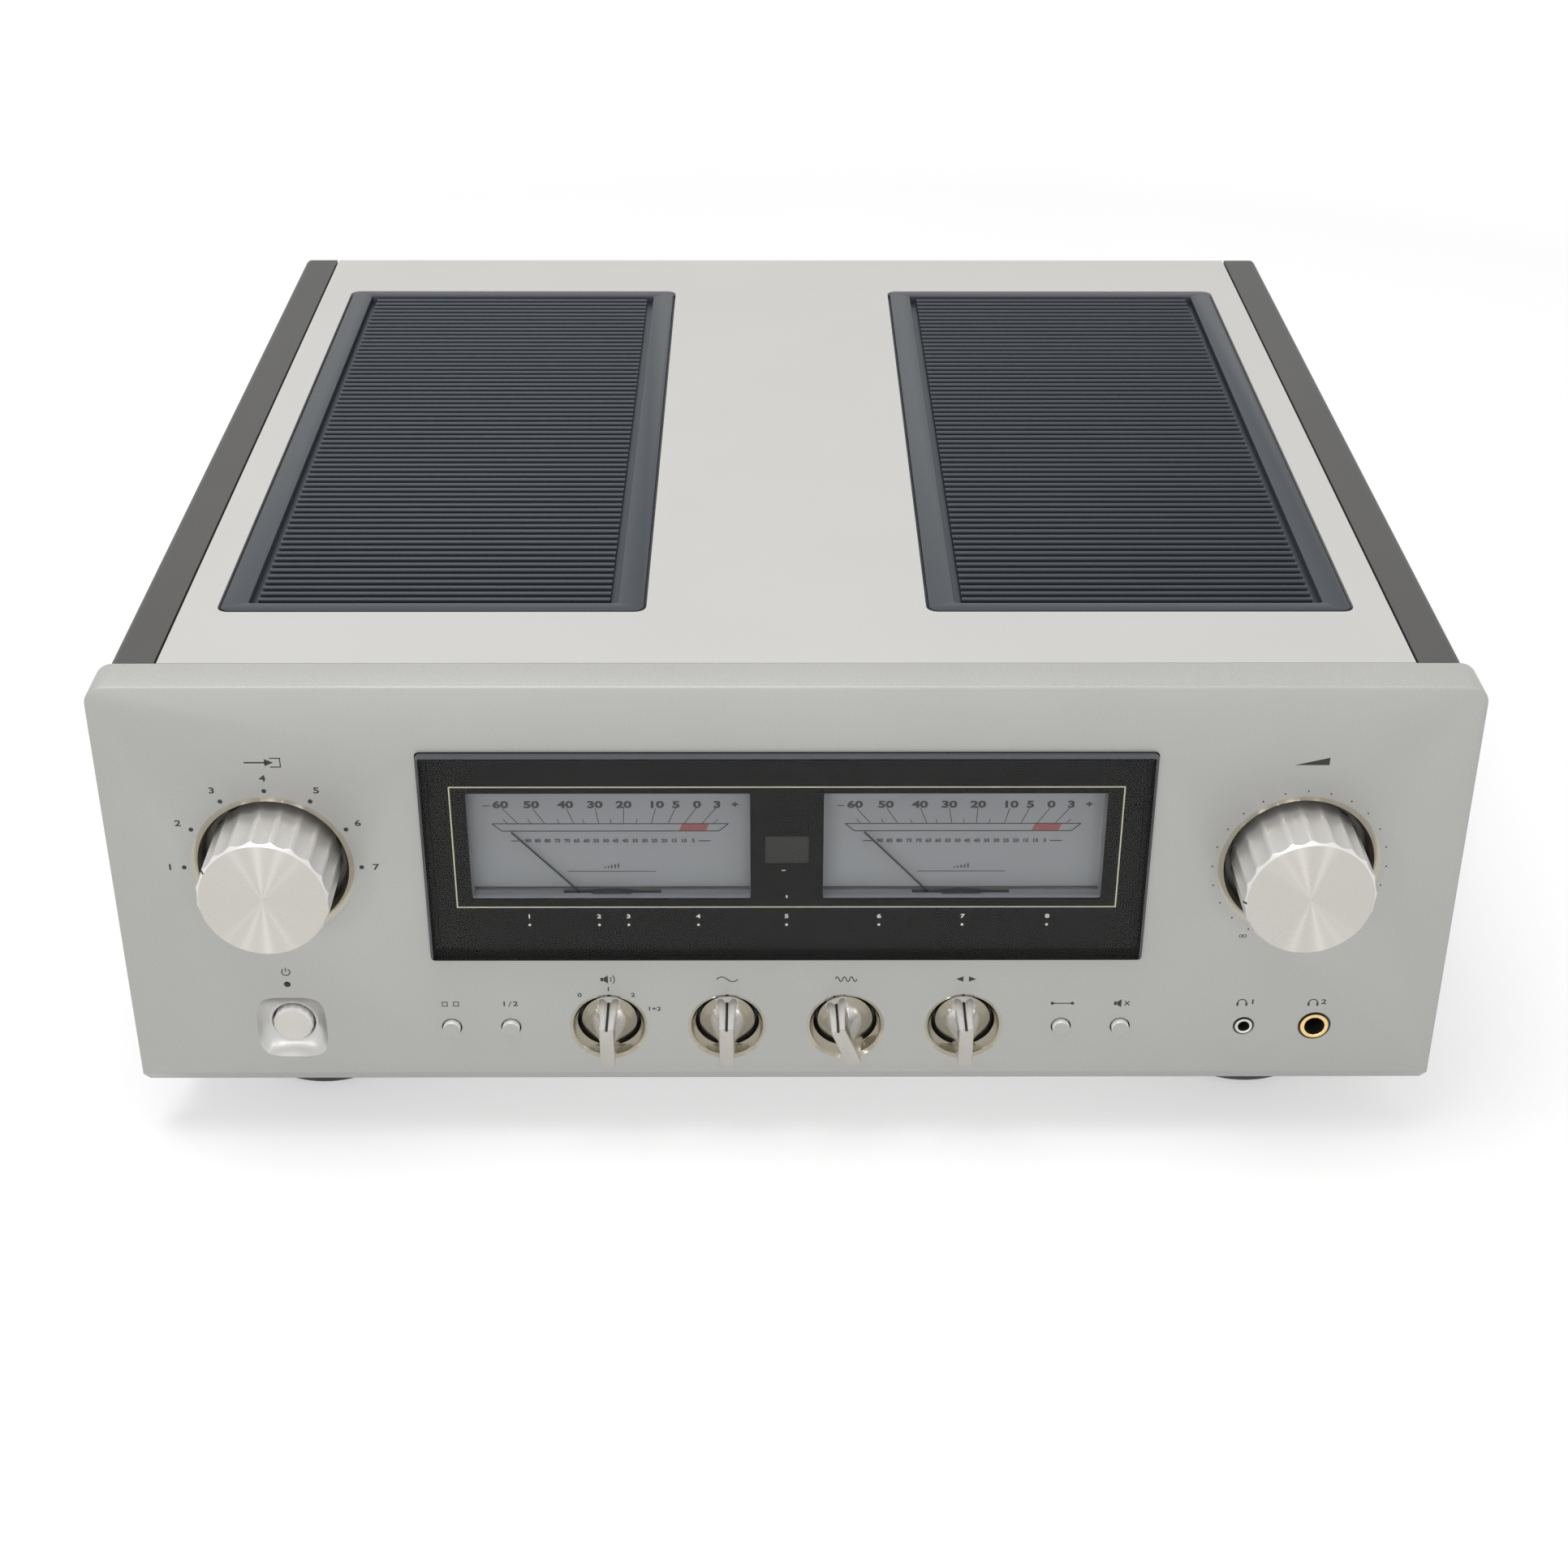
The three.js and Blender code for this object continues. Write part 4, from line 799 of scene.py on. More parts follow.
@dataclass(frozen=True)
class DialFinish(Finish):
    """Printed dial card with a painted shadow: a little darker towards its top edge, where the mask
    shades it.
    """

    span: Place = (80.0, 141.0)
    # share of the colour left at the top edge, as painted shadow of the mask
    top_shade: float = 0.8

    def dress(self, desk: MaterialDesk) -> None:
        """Lay the painted shadow over the card's plain finish.

        Args:
            desk: The material's desk.
        """
        super().dress(desk)
        height = desk.add("SeparateXYZ", {"Vector": desk.place}).outputs["Z"]
        rise = desk.spread(height, 0, 1, [edge * MM for edge in self.span])
        # darker towards the top: painted shadow of the mask
        desk.feed("Base Color", desk.blend(rise, self.colour, shade(self.colour, self.top_shade)))


class Finishes:
    """Every finish of the amplifier."""

    panel = Finish(
        "blasted aluminium", (0.46, 0.459, 0.441), 0.5, 0.45, 0.45, 0.005, 0.08, 40, 0.5, 0.8)
    lip = Finish("champagne lip", (0.42, 0.39, 0.32), 1.0, 0.14, 0.4, 0.0003, 0.03, 4)
    # Dark metal for the deep walls and floor of the knob recesses: painted shade
    recess = Finish("painted shade recess", (0.11, 0.105, 0.095), 0.7, 0.4, 0.3, 0.003, 0.1, 6)
    cover = Finish("silver paint", (0.59, 0.583, 0.56), 0.2, 0.5, 0.4, 0.004, 0.06, 60, 0.5, 0.8)
    side = Finish("dark side paint", (0.068, 0.066, 0.064), 0.2, 0.5, 0.3, 0.006, 0.05, 40)
    grille = Finish("grille paint", (0.033, 0.041, 0.05), 0.25, 0.42, 0.3, 0.004, 0.05, 30)
    rear = Finish("rear panel paint", (0.035, 0.035, 0.037), 0.1, 0.45, 0.25, 0.006, 0.06, 30)
    steel = Finish("zinc plated steel", (0.55, 0.55, 0.54), 0.9, 0.38, 0.8, 0.004, 0.08, 14)
    iron = Finish("cast iron", (0.075, 0.075, 0.078), 0.5, 0.55, 0.7, 0.03, 0.1, 10)
    plastic = Finish("black plastic", (0.02, 0.02, 0.021), 0.0, 0.4, 0.4, 0.005, 0.1, 10)
    mask = Finish("window mask", (0.007, 0.007, 0.0065), 0.0, 0.5, 0.3, 0.0002, 0.06, 20, 0.1)
    gold = Finish("gold plate", (0.83, 0.60, 0.25), 1.0, 0.22, 0.6, 0.001, 0.06, 3)
    trim = Finish("pale gold trim", (0.50, 0.48, 0.35), 0.3, 0.4, 0.3, 0.001, 0.05, 5)
    ink = Finish("black ink", (0.022, 0.022, 0.024), 0.0, 0.5, 0.15, 0.001, 0.1, 2)
    pale_ink = Finish("pale ink", (0.62, 0.61, 0.58), 0.0, 0.5, 0.15, 0.001, 0.06, 2)
    dial_ink = Finish("dial ink", (0.024, 0.025, 0.026), 0.0, 0.5, 0.15, 0.001, 0.1, 2)
    red_ink = Finish("red ink", (0.21, 0.065, 0.057), 0.0, 0.5, 0.15, 0.001, 0.1, 2)
    # Dial card, darker towards the top as painted shadow of the mask; also on the ledges and the
    # CAD dial boxes
    dial = DialFinish("dial card", (0.245, 0.25, 0.265), 0.0, 0.55, 0.2, 0.0005, 0.02, 20)
    # Dark grey sheet that stands in for the shadow line above the meter's ledge: painted shadow
    strip = Finish("painted shadow strip", (0.06, 0.06, 0.058), 0.0, 0.55, 0.2, 0.0005, 0.03, 20)
    dish = Finish("polished dish", (0.52, 0.517, 0.50), 1.0, 0.37, 0.45, 0.002, 0.04, 12)
    glass = GlassFinish("smoked glass", (0.93, 0.935, 0.93), 0.0, 0.0, 0.3, 0.0, 0.02, 40)
    # Opaque dark edge whose colour stands in for the black mask seen reflected inside the glass:
    # painted reflection; the gloss is real
    glass_edge = Finish(
        "glass edge painted reflection", (0.035, 0.042, 0.05), 0.0, 0.04, 2, 0.0002, 0.1, 9, 1.0)
    screen = Finish("display screen", (0.027, 0.028, 0.025), 0.0, 0.4, 0.5, 0.0002, 0.06, 4, 0.2)
    lens = Finish("lamp lens", (0.03, 0.006, 0.005), 0.0, 0.12, 0.3, 0.001, 0.1, 1)
    board = Finish("circuit board", (0.02, 0.13, 0.05), 0.0, 0.35, 0.5, 0.01, 0.2, 6)
    sleeve = Finish("capacitor sleeve", (0.03, 0.03, 0.05), 0.0, 0.3, 0.6, 0.002, 0.1, 12)
    bright = Finish("bright aluminium", (0.74, 0.73, 0.71), 1.0, 0.2, 0.5, 0.0003, 0.02, 6)
    # Pale satin metal for lever ridges and button sides, lighter than the metal itself: painted
    # highlight
    ridge = Finish("painted highlight metal", (0.90, 0.89, 0.87), 0.3, 0.3, 0.5, 0.0003, 0.02, 6)
    nose = Finish("satin lever nose", (0.46, 0.445, 0.41), 0.8, 0.42, 0.4, 0.001, 0.05, 5)
    red = Finish("red plastic", (0.42, 0.02, 0.02), 0.0, 0.35, 0.4, 0.002, 0.06, 5)
    white = Finish("white plastic", (0.62, 0.61, 0.58), 0.0, 0.4, 0.4, 0.002, 0.04, 5)
    nickel = Finish("nickel plate", (0.62, 0.60, 0.56), 1.0, 0.24, 0.5, 0.001, 0.05, 4)
    rubber = Finish("foot pad", (0.018, 0.018, 0.018), 0.0, 0.75, 0.8, 0.02, 0.12, 6, 0.3)
    bare = Finish("bare aluminium", (0.72, 0.72, 0.71), 1.0, 0.36, 0.6, 0.002, 0.05, 12)
    blades = Finish("needle lacquer", (0.012, 0.012, 0.013), 0.0, 0.3, 0.2, 0.001, 0.1, 2)

    @staticmethod
    def spun(name: str, centre: Place, roughness: float = 0.29) -> SpunFinish:
        """Lathe finish centred on one knob or button."""
        return SpunFinish(
            f"spun aluminium {name}", (0.56, 0.54, 0.50), 1.0, roughness, 0.3, 0.0002, 0.02,
            centre=centre, anisotropy=1.0)


@dataclass
class InkPlate:
    """Flat printed marks on one plane that faces the front, joined into a thin piece.

    Marks for the rear are drawn as someone behind the amplifier sees them, and turned round.
    """

    name: str
    plane: float
    weight: float = 0.03
    rear: bool = False
    marks: list[Piece] = field(default_factory=list)

    def keep(self) -> None:
        """Bake the newest mark's place into its mesh and keep it."""
        self.marks.append(Bench.settle(bpy.context.object))

    def lay(self, place: Place, clock: float = 0) -> dict[str, object]:
        """Where an operator adds a mark, and how it turns it to face the front."""
        return {
            "location": Vector((place[0], self.plane, place[1])) * MM,
            "rotation": (math.pi / 2, math.radians(clock), 0)}

    def dot(self, place: Place, radius: float, steps: int = 20) -> None:
        """Print a round dot.

        Args:
            place: Its middle.
            radius: Its radius.
            steps: Straight stretches round it.
        """
        Bench.clear()
        bpy.ops.mesh.primitive_circle_add(
            vertices=steps, radius=radius * MM, fill_type="NGON", **self.lay(place))
        self.keep()

    def bar(self, place: Place, width: float, height: float, clock: float = 0) -> None:
        """Print a straight bar.

        Args:
            place: Its middle.
            width: Its width before it is turned.
            height: Its height before it is turned.
            clock: How far it is turned clockwise, in degrees.
        """
        Bench.clear()
        bpy.ops.mesh.primitive_plane_add(size=1, **self.lay(place, clock))
        bpy.context.object.scale = (width * MM, height * MM, 1)
        self.keep()

    def bars(self, centre: Place, table: Sequence[Sequence[float]]) -> None:
        """Print the bars of a sign, each given by its shift to the right and up and its size.

        Args:
            centre: The sign's middle.
            table: The bars' shifts and sizes.
        """
        for right, up, *size in table:
            self.bar((centre[0] + right, centre[1] + up), *size)

    def line(self, places: Sequence[Place], width: float) -> None:
        """Print straight lines from each place to the next.

        Args:
            places: The places in order.
            width: Width of the lines.
        """
        for start, end in pairwise(places):
            run = Vector((end[0] - start[0], end[1] - start[1]))
            middle = ((start[0] + end[0]) / 2, (start[1] + end[1]) / 2)
            self.bar(middle, width, run.length, math.degrees(math.atan2(run.x, run.y)))

    def shape(self, centre: Place, outline: Sequence[Place]) -> None:
        """Print a filled outline.

        Args:
            centre: The place that the outline's own places are counted from.
            outline: Its corners, anticlockwise.
        """
        x, z = centre
        corners = [Vector((x + right, self.plane, z + up)) for right, up in outline]
        mark = Bench.chain("mark", corners)
        with Bench.editing(mark, selected=True):
            bpy.ops.mesh.edge_face_add()
        self.marks.append(mark)

    def arc(self, centre: Place, radius: float, width: float, span: Place, steps: int = 16) -> None:
        """Print a ring or a stretch of one.

        Args:
            centre: The ring's middle.
            radius: Its middle radius.
            width: Width of the line.
            span: Clock angles of its two ends.
            steps: Straight stretches along it.
        """
        start, end = span
        turns = (start + (end - start) * share for share in shares(steps))
        self.line([polar(centre, radius, clock) for clock in turns], width)

    def word(self, text: str, place: Place, size: float, stretch: float = 1.3) -> None:
        """Print a number or a sign.

        Args:
            text: What is printed.
            place: Its middle.
            size: Height of its figures.
            stretch: How much wider than the font's own figures.
        """
        Bench.clear()
        bpy.ops.object.text_add(**self.lay(place))
        letters = bpy.context.object
        letters.data.body = text
        letters.data.align_x = "CENTER"
        letters.data.align_y = "CENTER"
        letters.data.size = size * FIGURE_SHARE * MM
        letters.data.offset = size * self.weight * MM
        letters.data.resolution_u = 3
        letters.scale = (stretch, 1, 1)
        bpy.ops.object.convert(target="MESH")
        self.keep()

    def finish(self, finish: Finish, slot: str) -> Piece:
        """Join the marks, give them thickness and hand the piece over.

        Args:
            finish: The ink.
            slot: The record's material slot.

        Returns:
            The printed piece.
        """
        piece = Bench.join(self.name, self.marks)
        with Bench.editing(piece, selected=True):
            bpy.ops.mesh.remove_doubles(threshold=MERGE_DISTANCE * MM)
        with Bench.editing(piece, Part.FACE):
            Bench.pick_faces(piece, lambda point, normal: normal.y > 0)
            bpy.ops.mesh.flip_normals()
        Bench.apply(piece, "SOLIDIFY", thickness=PRINT_THICKNESS * MM, offset=1)
        if self.rear:
            centre = Matrix.Translation((0, self.plane * MM, 0))
            piece.data.transform(centre @ Matrix.Rotation(math.pi, 4, "Z") @ centre.inverted())
        return Bench.finish(Bench.paint(piece, finish), slot)


@dataclass
class Recess:
    """Turned recess behind which a knob sits: polished lip, bowl, and a floor painted dark as
    shade.
    """

    centre: Place
    lip: float
    bowl: float
    hole: float
    lip_depth: float = 0.8
    bowl_depth: float = 4.5
    floor_depth: float = 9.0
    steps: int = 128

    def cutter(self, face: float) -> Piece:
        """Shape to cut from the panel.

        Args:
            face: Y of the panel's face.

        Returns:
            The cutter.
        """
        slope = (self.lip - self.bowl) / self.lip_depth
        middle = (self.bowl + self.hole) / 2
        profile = [
            (0, face - OVERRUN), (self.lip + slope * OVERRUN, face - OVERRUN),
            (self.lip, face), (self.bowl, face + self.lip_depth),
            (self.bowl - 0.1, face + self.lip_depth + 0.5),
            (middle - 0.2, face + (self.lip_depth + self.bowl_depth) / 2),
            (self.hole, face + self.bowl_depth), (self.hole, face + self.floor_depth),
            (0, face + self.floor_depth)]
        return Bench.turned("recess cutter", profile, self.centre, self.steps)

    def region(self, face: float, point: Vector) -> int:
        """Material of a panel face: 0 panel, 1 polished lip and bowl, 2 inside painted dark as
        shade.

        Args:
            face: Y of the panel's front.
            point: Centre of the face in question.

        Returns:
            The material's place in the panel's list.
        """
        depth = point.y - face
        if away(point, self.centre) > self.lip + TOUCH or depth < 2 * TOUCH:
            return 0
        # deep walls and floor painted dark as shade
        return 1 if depth < self.bowl_depth - 0.1 else 2


@dataclass
class FrontPanel:
    """Thick blasted plate with its recesses, dish, holes and window opening."""

    node: str = "front_panel"
    corner_radius: float = 6.5
    edge_chamfer: float = 0.6
    bottom_bevel: float = 8.0
    button_bore: float = 3.35
    power_bore: float = 7.25
    lamp_bore: float = 1.05
    dish_half: Place = (11.7, 12.2)
    dish_floor: float = 8.2
    dish_depth: float = 3.6
    dish_power: float = 4.0
    dish_slope: float = 0.7
    dish_stages: int = 8
    window_gap: float = 0.25
    window_corner: float = 1.5
    socket_bores: Sequence[tuple[str, float]] = (("small", 3.5), ("large", 5.45))
    knob_recess: Sequence[float] = (26.5, 24.5, 23.2)       # radii of lip, bowl and hole
    control_recess: Sequence[float] = (13.3, 12.1, 10.2)
    recesses: list[Recess] = field(default_factory=list)

    def __post_init__(self) -> None:
        """Find the recesses from the knobs that sit in them."""
        for name in ("input_selector", "volume"):
            self.recesses.append(Recess(NodeBox.of(f"{name}_knob").front, *self.knob_recess))
        for name in (
            "speaker_selector_switch", "bass_control", "treble_control", "balance_control"):
            place = (NodeBox.of(name).middle.x, self.row_height)
            self.recesses.append(Recess(place, *self.control_recess, steps=96))

    @property
    def row_height(self) -> float:
        """Height of the row of small controls."""
        return NodeBox.of("separate_button").middle.z

    def plate(self, box: NodeBox) -> Piece:
        """Model the plate with its rounded corners, chamfer and bottom bevel.

        Args:
            box: Box of the panel's node.

        Returns:
            The plate, without its holes.
        """
        plate = Bench.slab("front_panel_plate", box.low, box.high)
        upright = runs_along(Axis.Y)
        Bench.bevel(
            plate, lambda a, b: upright(a, b) and a.z > box.middle.z, self.corner_radius, 10)
        level = runs_along(Axis.X)
        Bench.bevel(
            plate,
            lambda a, b: level(a, b) and a.z < box.low.z + TOUCH and a.y < box.low.y + TOUCH,
            self.bottom_bevel, 1)
        Bench.rim(plate, box.low.y, self.edge_chamfer, 2)
        Bench.rim(plate, box.high.y, self.edge_chamfer / 2, 1)
        return plate

    def dish_cutter(self, centre: Place, face: float) -> Piece:
        """Dish whose outline goes from a rounded square to a circle.

        Args:
            centre: The power button's place.
            face: Y of the panel's face.

        Returns:
            The cutter.
        """
        def grow(across: float, up: float, station: float) -> Place:
            """Place of one point of the round cutter after its mouth is squared."""
            if math.hypot(across, up) < self.dish_floor / 2:
                return across, up
            depth = max(0.0, station - face) / self.dish_depth
            share = 1 - self.dish_slope * depth - (1 - self.dish_slope) * depth**4
            turn = math.atan2(up, across)
            reach = sum(
                abs(part / half) ** self.dish_power
                for part, half in zip((math.cos(turn), math.sin(turn)), self.dish_half)
            ) ** (-1 / self.dish_power)
            radius = self.dish_floor + (reach - self.dish_floor) * share
            return radius * math.cos(turn), radius * math.sin(turn)

        cutter = Bench.turned("dish cutter", [
            (0.0, face - OVERRUN), (self.dish_floor, face - OVERRUN),
            *((self.dish_floor, face + self.dish_depth * share)
              for share in shares(self.dish_stages)),
            (0.0, face + self.dish_depth)], centre, 96)
        Bench.reshape(cutter, centre, grow)
        return cutter

    @staticmethod
    def drill(centre: Place, radius: float, span: Place, chamfer: float = 0.3) -> Piece:
        """Model a drill for one round hole.

        Args:
            centre: X and Z of the hole.
            radius: Its radius.
            span: Y of its mouth and of its end.
            chamfer: Width of the chamfer at its mouth.

        Returns:
            The cutter.
        """
        start, end = span
        return Bench.turned("drill", [
            (0, start - OVERRUN), (radius + chamfer + OVERRUN, start - OVERRUN),
            (radius, start + chamfer), (radius, end), (0, end)], centre, 48)

    def opening(self, node: str, front: float, back: float) -> Piece:
        """Box cutter round a node, a gap wider than it on all four sides.

        Args:
            node: The node's name.
            front: Y of the cutter's front.
            back: Y of its back.

        Returns:
            The cutter.
        """
        box, gap = NodeBox.of(node), self.window_gap
        return Bench.slab(
            "opening", (box.low.x - gap, front, box.low.z - gap),
            (box.high.x + gap, back, box.high.z + gap))

    def build(self) -> list[Piece]:
        """Model the panel and dress it.

        Returns:
            Its pieces.
        """
        box, glass = NodeBox.of(self.node), NodeBox.of("window_glass")
        face, back = box.low.y, box.high.y + OVERRUN
        plate = self.plate(box)
        pocket = self.opening("window_glass", face - OVERRUN, glass.high.y)
        Bench.corners(pocket, self.window_corner, 4)
        Bench.carve(plate, pocket)
        Bench.carve(plate, self.opening("window_mask", face - OVERRUN, back))
        Bench.carve(plate, *[recess.cutter(face) for recess in self.recesses])
        power = NodeBox.of("power_button").front
        Bench.carve(plate, self.dish_cutter(power, face))
        buttons = [NodeBox.of(f"{name}_button").front for name in BUTTONS]
        through = (face, back)
        Bench.carve(
            plate,
            *[self.drill(place, self.button_bore, through, 0.12) for place in buttons],
            self.drill(NodeBox.of("operation_lamp").front, self.lamp_bore, through, 0.15),
            self.drill(power, self.power_bore, (face + self.dish_depth, back)),
            *[self.drill(NodeBox.of(f"headphone_socket_{name}").front, radius, through, 0.2)
              for name, radius in self.socket_bores])

        def region(point: Vector, normal: Vector) -> int:
            """Finish of one face of the panel: 3 is the window's walls and the button bores, whose
            black is painted shade, and 4 the dish.
            """
            depth = point.y - face
            behind_glass = all(
                low - 1 < at < high + 1
                for low, at, high in zip(glass.low.xz, point.xz, glass.high.xz))
            if behind_glass and 0.05 < depth and point.y < box.high.y - TOUCH:
                return 3
            in_dish = all(
                abs(at - middle) < half + 0.1
                for at, middle, half in zip(point.xz, power, self.dish_half))
            if in_dish and 2 * TOUCH < depth < self.dish_depth + 0.05:
                return 4
            # button bores painted black as the shade in the gap round each button
            if any(away(point, place) < self.button_bore + 0.05 for place in buttons):
                return 3 if depth > 0.05 else 0
            return max(recess.region(face, point) for recess in self.recesses)

        Bench.paint(
            plate, Finishes.panel, Finishes.lip, Finishes.recess, Finishes.mask, Finishes.dish,
            choose=region)
        return [Bench.finish(plate, "blasted_aluminium", self.node)]


@dataclass
class LargeKnob:
    """Fluted knob with a spun face, whose ridges and scalloped chamfer catch the light."""

    name: str
    clock: float
    flutes: int = 20
    flute_depth: float = 0.6
    flute_steps: int = 16
    chamfer: Place = (1.1, 1.4)
    chamfer_rings: int = 6
    radius: float = 21.4
    shaft_radius: float = 3.0
    hollow: Place = (1.5, 0.6)      # how far its back is hollowed in from the rim, and how deep
    mark: Place = (0.5, 3.4)

    def build(self) -> list[Piece]:
        """Model the knob, with the black mark that shows where it points.

        Returns:
            Its pieces.
        """
        node = f"{self.name}_knob"
        box = NodeBox.of(node)
        centre = box.front
        front, back = box.low.y, NodeBox.of("front_panel").low.y + 8
        profile = [
            (0, front), (self.radius * 0.5, front),
            *chamfer_profile(self.radius, front, self.chamfer, self.chamfer_rings),
            (self.radius, back),
            (self.radius - self.hollow[0], back + self.hollow[1]),
            (self.shaft_radius, back + self.hollow[1]),
            (self.shaft_radius, box.high.y), (0, box.high.y)]
        steps = self.flutes * self.flute_steps
        knob = Bench.turned(f"{self.name}_fluted_knob", profile, centre, steps)
        Bench.flute(knob, centre, scallops(self.flutes, self.radius, self.flute_depth))
        # Side lighter and less metallic than the spun face: partly the turned metal, partly painted
        # highlight
        side = Finish(
            f"turned side {self.name}", (0.80, 0.79, 0.77), 0.55, 0.34, 0.5, 0.0003, 0.02, 6)

        def region(point: Vector, normal: Vector) -> int:
            """Finish of one face: 0 spun front, 1 turned side, lighter in part as a painted
            highlight, 2 painted mark.
            """
            if normal.y < -0.9 and point.y < front + 0.1:
                return 0
            on_line = abs(point.x - centre[0]) < self.mark[0] and point.z > centre[1]
            return 2 if on_line and point.y < front + self.mark[1] else 1

        Bench.paint(knob, Finishes.spun(self.name, centre), side, Finishes.ink, choose=region)
        Bench.turn(knob, centre, self.clock)
        return [Bench.finish(knob, "spun_aluminium", node, body=self.name)]


@dataclass
class LeverKnob:
    """Small knob: a disc that flares up into a tapered lever with a black pointer line."""

    name: str
    control: str
    clock: float = 0.0
    radius: float = 9.3
    rim_edge: float = 0.35
    disc_depth: float = 4.0
    flare_radius: float = 2.3
    flare_power: float = 1.7
    front_half: Place = (2.4, 7.6)
    back_half: Place = (3.5, 8.75)
    taper_power: float = 2.2
    corner: float = 0.5
    ridge: Sequence[Place] = ((1.0, 0.7), (0.85, 0.2), (0.62, 0.0), (0.38, 0.12), (0.18, 0.6))
    line_half: float = 0.42
    line_rise: Place = (-0.8, -0.45)
    shaft_radius: float = 2.0
    rings: int = 12

    def half(self, along: float) -> Place:
        """Half the lever's width and height at a share of the way from its disc to its nose."""
        swell = (1 - min(max(along, 0.0), 1.0)) ** self.taper_power
        return tuple(f + (b - f) * swell for f, b in zip(self.front_half, self.back_half))

    def build(self) -> list[Piece]:
        """Model the knob and its line.

        Returns:
            Its pieces.
        """
        node = f"{self.name}_knob"
        box = NodeBox.of(node)
        face = NodeBox.of("front_panel").low.y
        centre = (NodeBox.of(self.control).middle.x, NodeBox.of("separate_button").middle.z)
        nose, rim, back = box.low.y, face + self.disc_depth, face + 8.0
        flare_end = nose + 1.5
        start = self.radius - self.rim_edge
        flare = [
            (self.flare_radius + (start - self.flare_radius) * (1 - share) ** self.flare_power,
             rim + (flare_end - rim) * share) for share in shares(self.rings)]
        profile = [
            (0, box.high.y), (self.shaft_radius, box.high.y), (self.shaft_radius, back),
            (self.radius, back), (self.radius, rim + self.rim_edge), *flare, (0, flare_end)]
        disc = Bench.turned(f"{self.name}_lever_knob", profile, centre, 72)
        (wide, tall), cut = self.back_half, self.corner
        outline = [
            (centre[0] + x, centre[1] + z) for x, z in (
                (-wide, cut - tall), (cut - wide, -tall), (wide - cut, -tall), (wide, cut - tall),
                *((s * wide * x, tall - z) for s, way in ((1, 1), (-1, -1))
                  for x, z in self.ridge[::way]))]
        stations = [rim + 0.4, *(rim + (nose - rim) * share for share in shares(self.rings)[1:])]

        def taper(across: float, up: float, station: float) -> Place:
            """Place of one point of the lever after its taper."""
            half = self.half((station - rim) / (nose - rim))
            return across * half[0] / wide, up * half[1] / tall

        def follow(across: float, up: float, station: float) -> Place:
            """Place of one point of the line, on the tapered lever's ridge."""
            return across, up + self.half((station - rim) / (nose - rim))[1]

        def region(point: Vector, normal: Vector) -> int:
            """Finish of one face: 0 disc, 1 nose, 2 ridges along the lever, painted pale as a
            highlight.
            """
            if point.y < nose + 0.2:
                return 1
            high = point.z - centre[1] > self.front_half[1] - 1.2
            return 2 * (abs(point.x - centre[0]) < wide and high)

        lever = Bench.prism("lever", outline, stations)
        Bench.reshape(lever, centre, taper)
        Bench.rim(lever, nose, 0.3, 2)
        Bench.combine(disc, lever, "UNION")
        Bench.paint(disc, Finishes.bright, Finishes.nose, Finishes.ridge, choose=region)
        Bench.turn(disc, centre, self.clock)
        left, right = centre[0] - self.line_half, centre[0] + self.line_half
        low, high = (centre[1] + rise for rise in self.line_rise)
        line = Bench.prism(
            f"{self.name}_line", [(left, low), (right, low), (right, high), (left, high)],
            stations[1:])
        Bench.reshape(line, centre, follow)
        Bench.turn(line, centre, self.clock)
        return [
            Bench.finish(disc, "spun_aluminium", node, body=self.name),
            Bench.finish(Bench.paint(line, Finishes.ink), "black_plastic", body=self.name)]


@dataclass
class PushButton:
    """Round push button with a soft front edge."""

    name: str
    radius: float = 2.95
    flange_radius: float = 4.2
    edge: float = 0.5

    def build(self) -> list[Piece]:
        """Model the button.

        Returns:
            Its pieces.
        """
        node = f"{self.name}_button"
        box = NodeBox.of(node)
        front, back = box.low.y, box.high.y
        flange = back - 1.5
        curve = [
            (self.radius - self.edge + self.edge * math.sin(math.radians(a)),
             front + self.edge - self.edge * math.cos(math.radians(a))) for a in (0, 30, 60, 90)]
        profile = [
            (0, front + 0.05), (1.6, front + 0.01), *curve, (self.radius, flange),
            (self.flange_radius, flange), (self.flange_radius, back), (0, back)]
        button = Bench.turned(f"{self.name}_push_button", profile, box.front, 48)
        # the button's side is painted pale as a highlight
        Bench.paint(
            button, Finishes.panel, Finishes.ridge,
            choose=lambda point, normal: int(abs(normal.y) < 0.95))
        return [Bench.finish(button, "blasted_aluminium", node, body=f"{self.name}_key")]


@dataclass
class PowerButton:
    """Power button: a small fluted knob shape in its dish."""

    radius: float = 6.75
    chamfer: Place = (0.9, 1.0)
    chamfer_rings: int = 4
    flutes: int = 14
    flute_depth: float = 0.2
    plunger_radius: float = 4.0
    head_length: float = 11.8

    def build(self) -> list[Piece]:
        """Model the button.

        Returns:
            Its pieces.
        """
        box = NodeBox.of("power_button")
        front, back = box.low.y, box.high.y
        head = front + self.head_length
        profile = [
            (0, front), (self.radius * 0.5, front),
            *chamfer_profile(self.radius, front, self.chamfer, self.chamfer_rings),
            (self.radius, head),
            (self.plunger_radius, head), (self.plunger_radius, back), (0, back)]
        button = Bench.turned("power_button_cap", profile, box.front, self.flutes * 12)
        Bench.flute(button, box.front, scallops(self.flutes, self.radius, self.flute_depth))
        # the cap's side is painted pale as a highlight
        Bench.paint(
            button, Finishes.spun("power", box.front, 0.22), Finishes.ridge,
            choose=lambda point, normal: int(normal.y > -0.9))
        return [Bench.finish(button, "spun_aluminium", "power_button", body="power_key")]


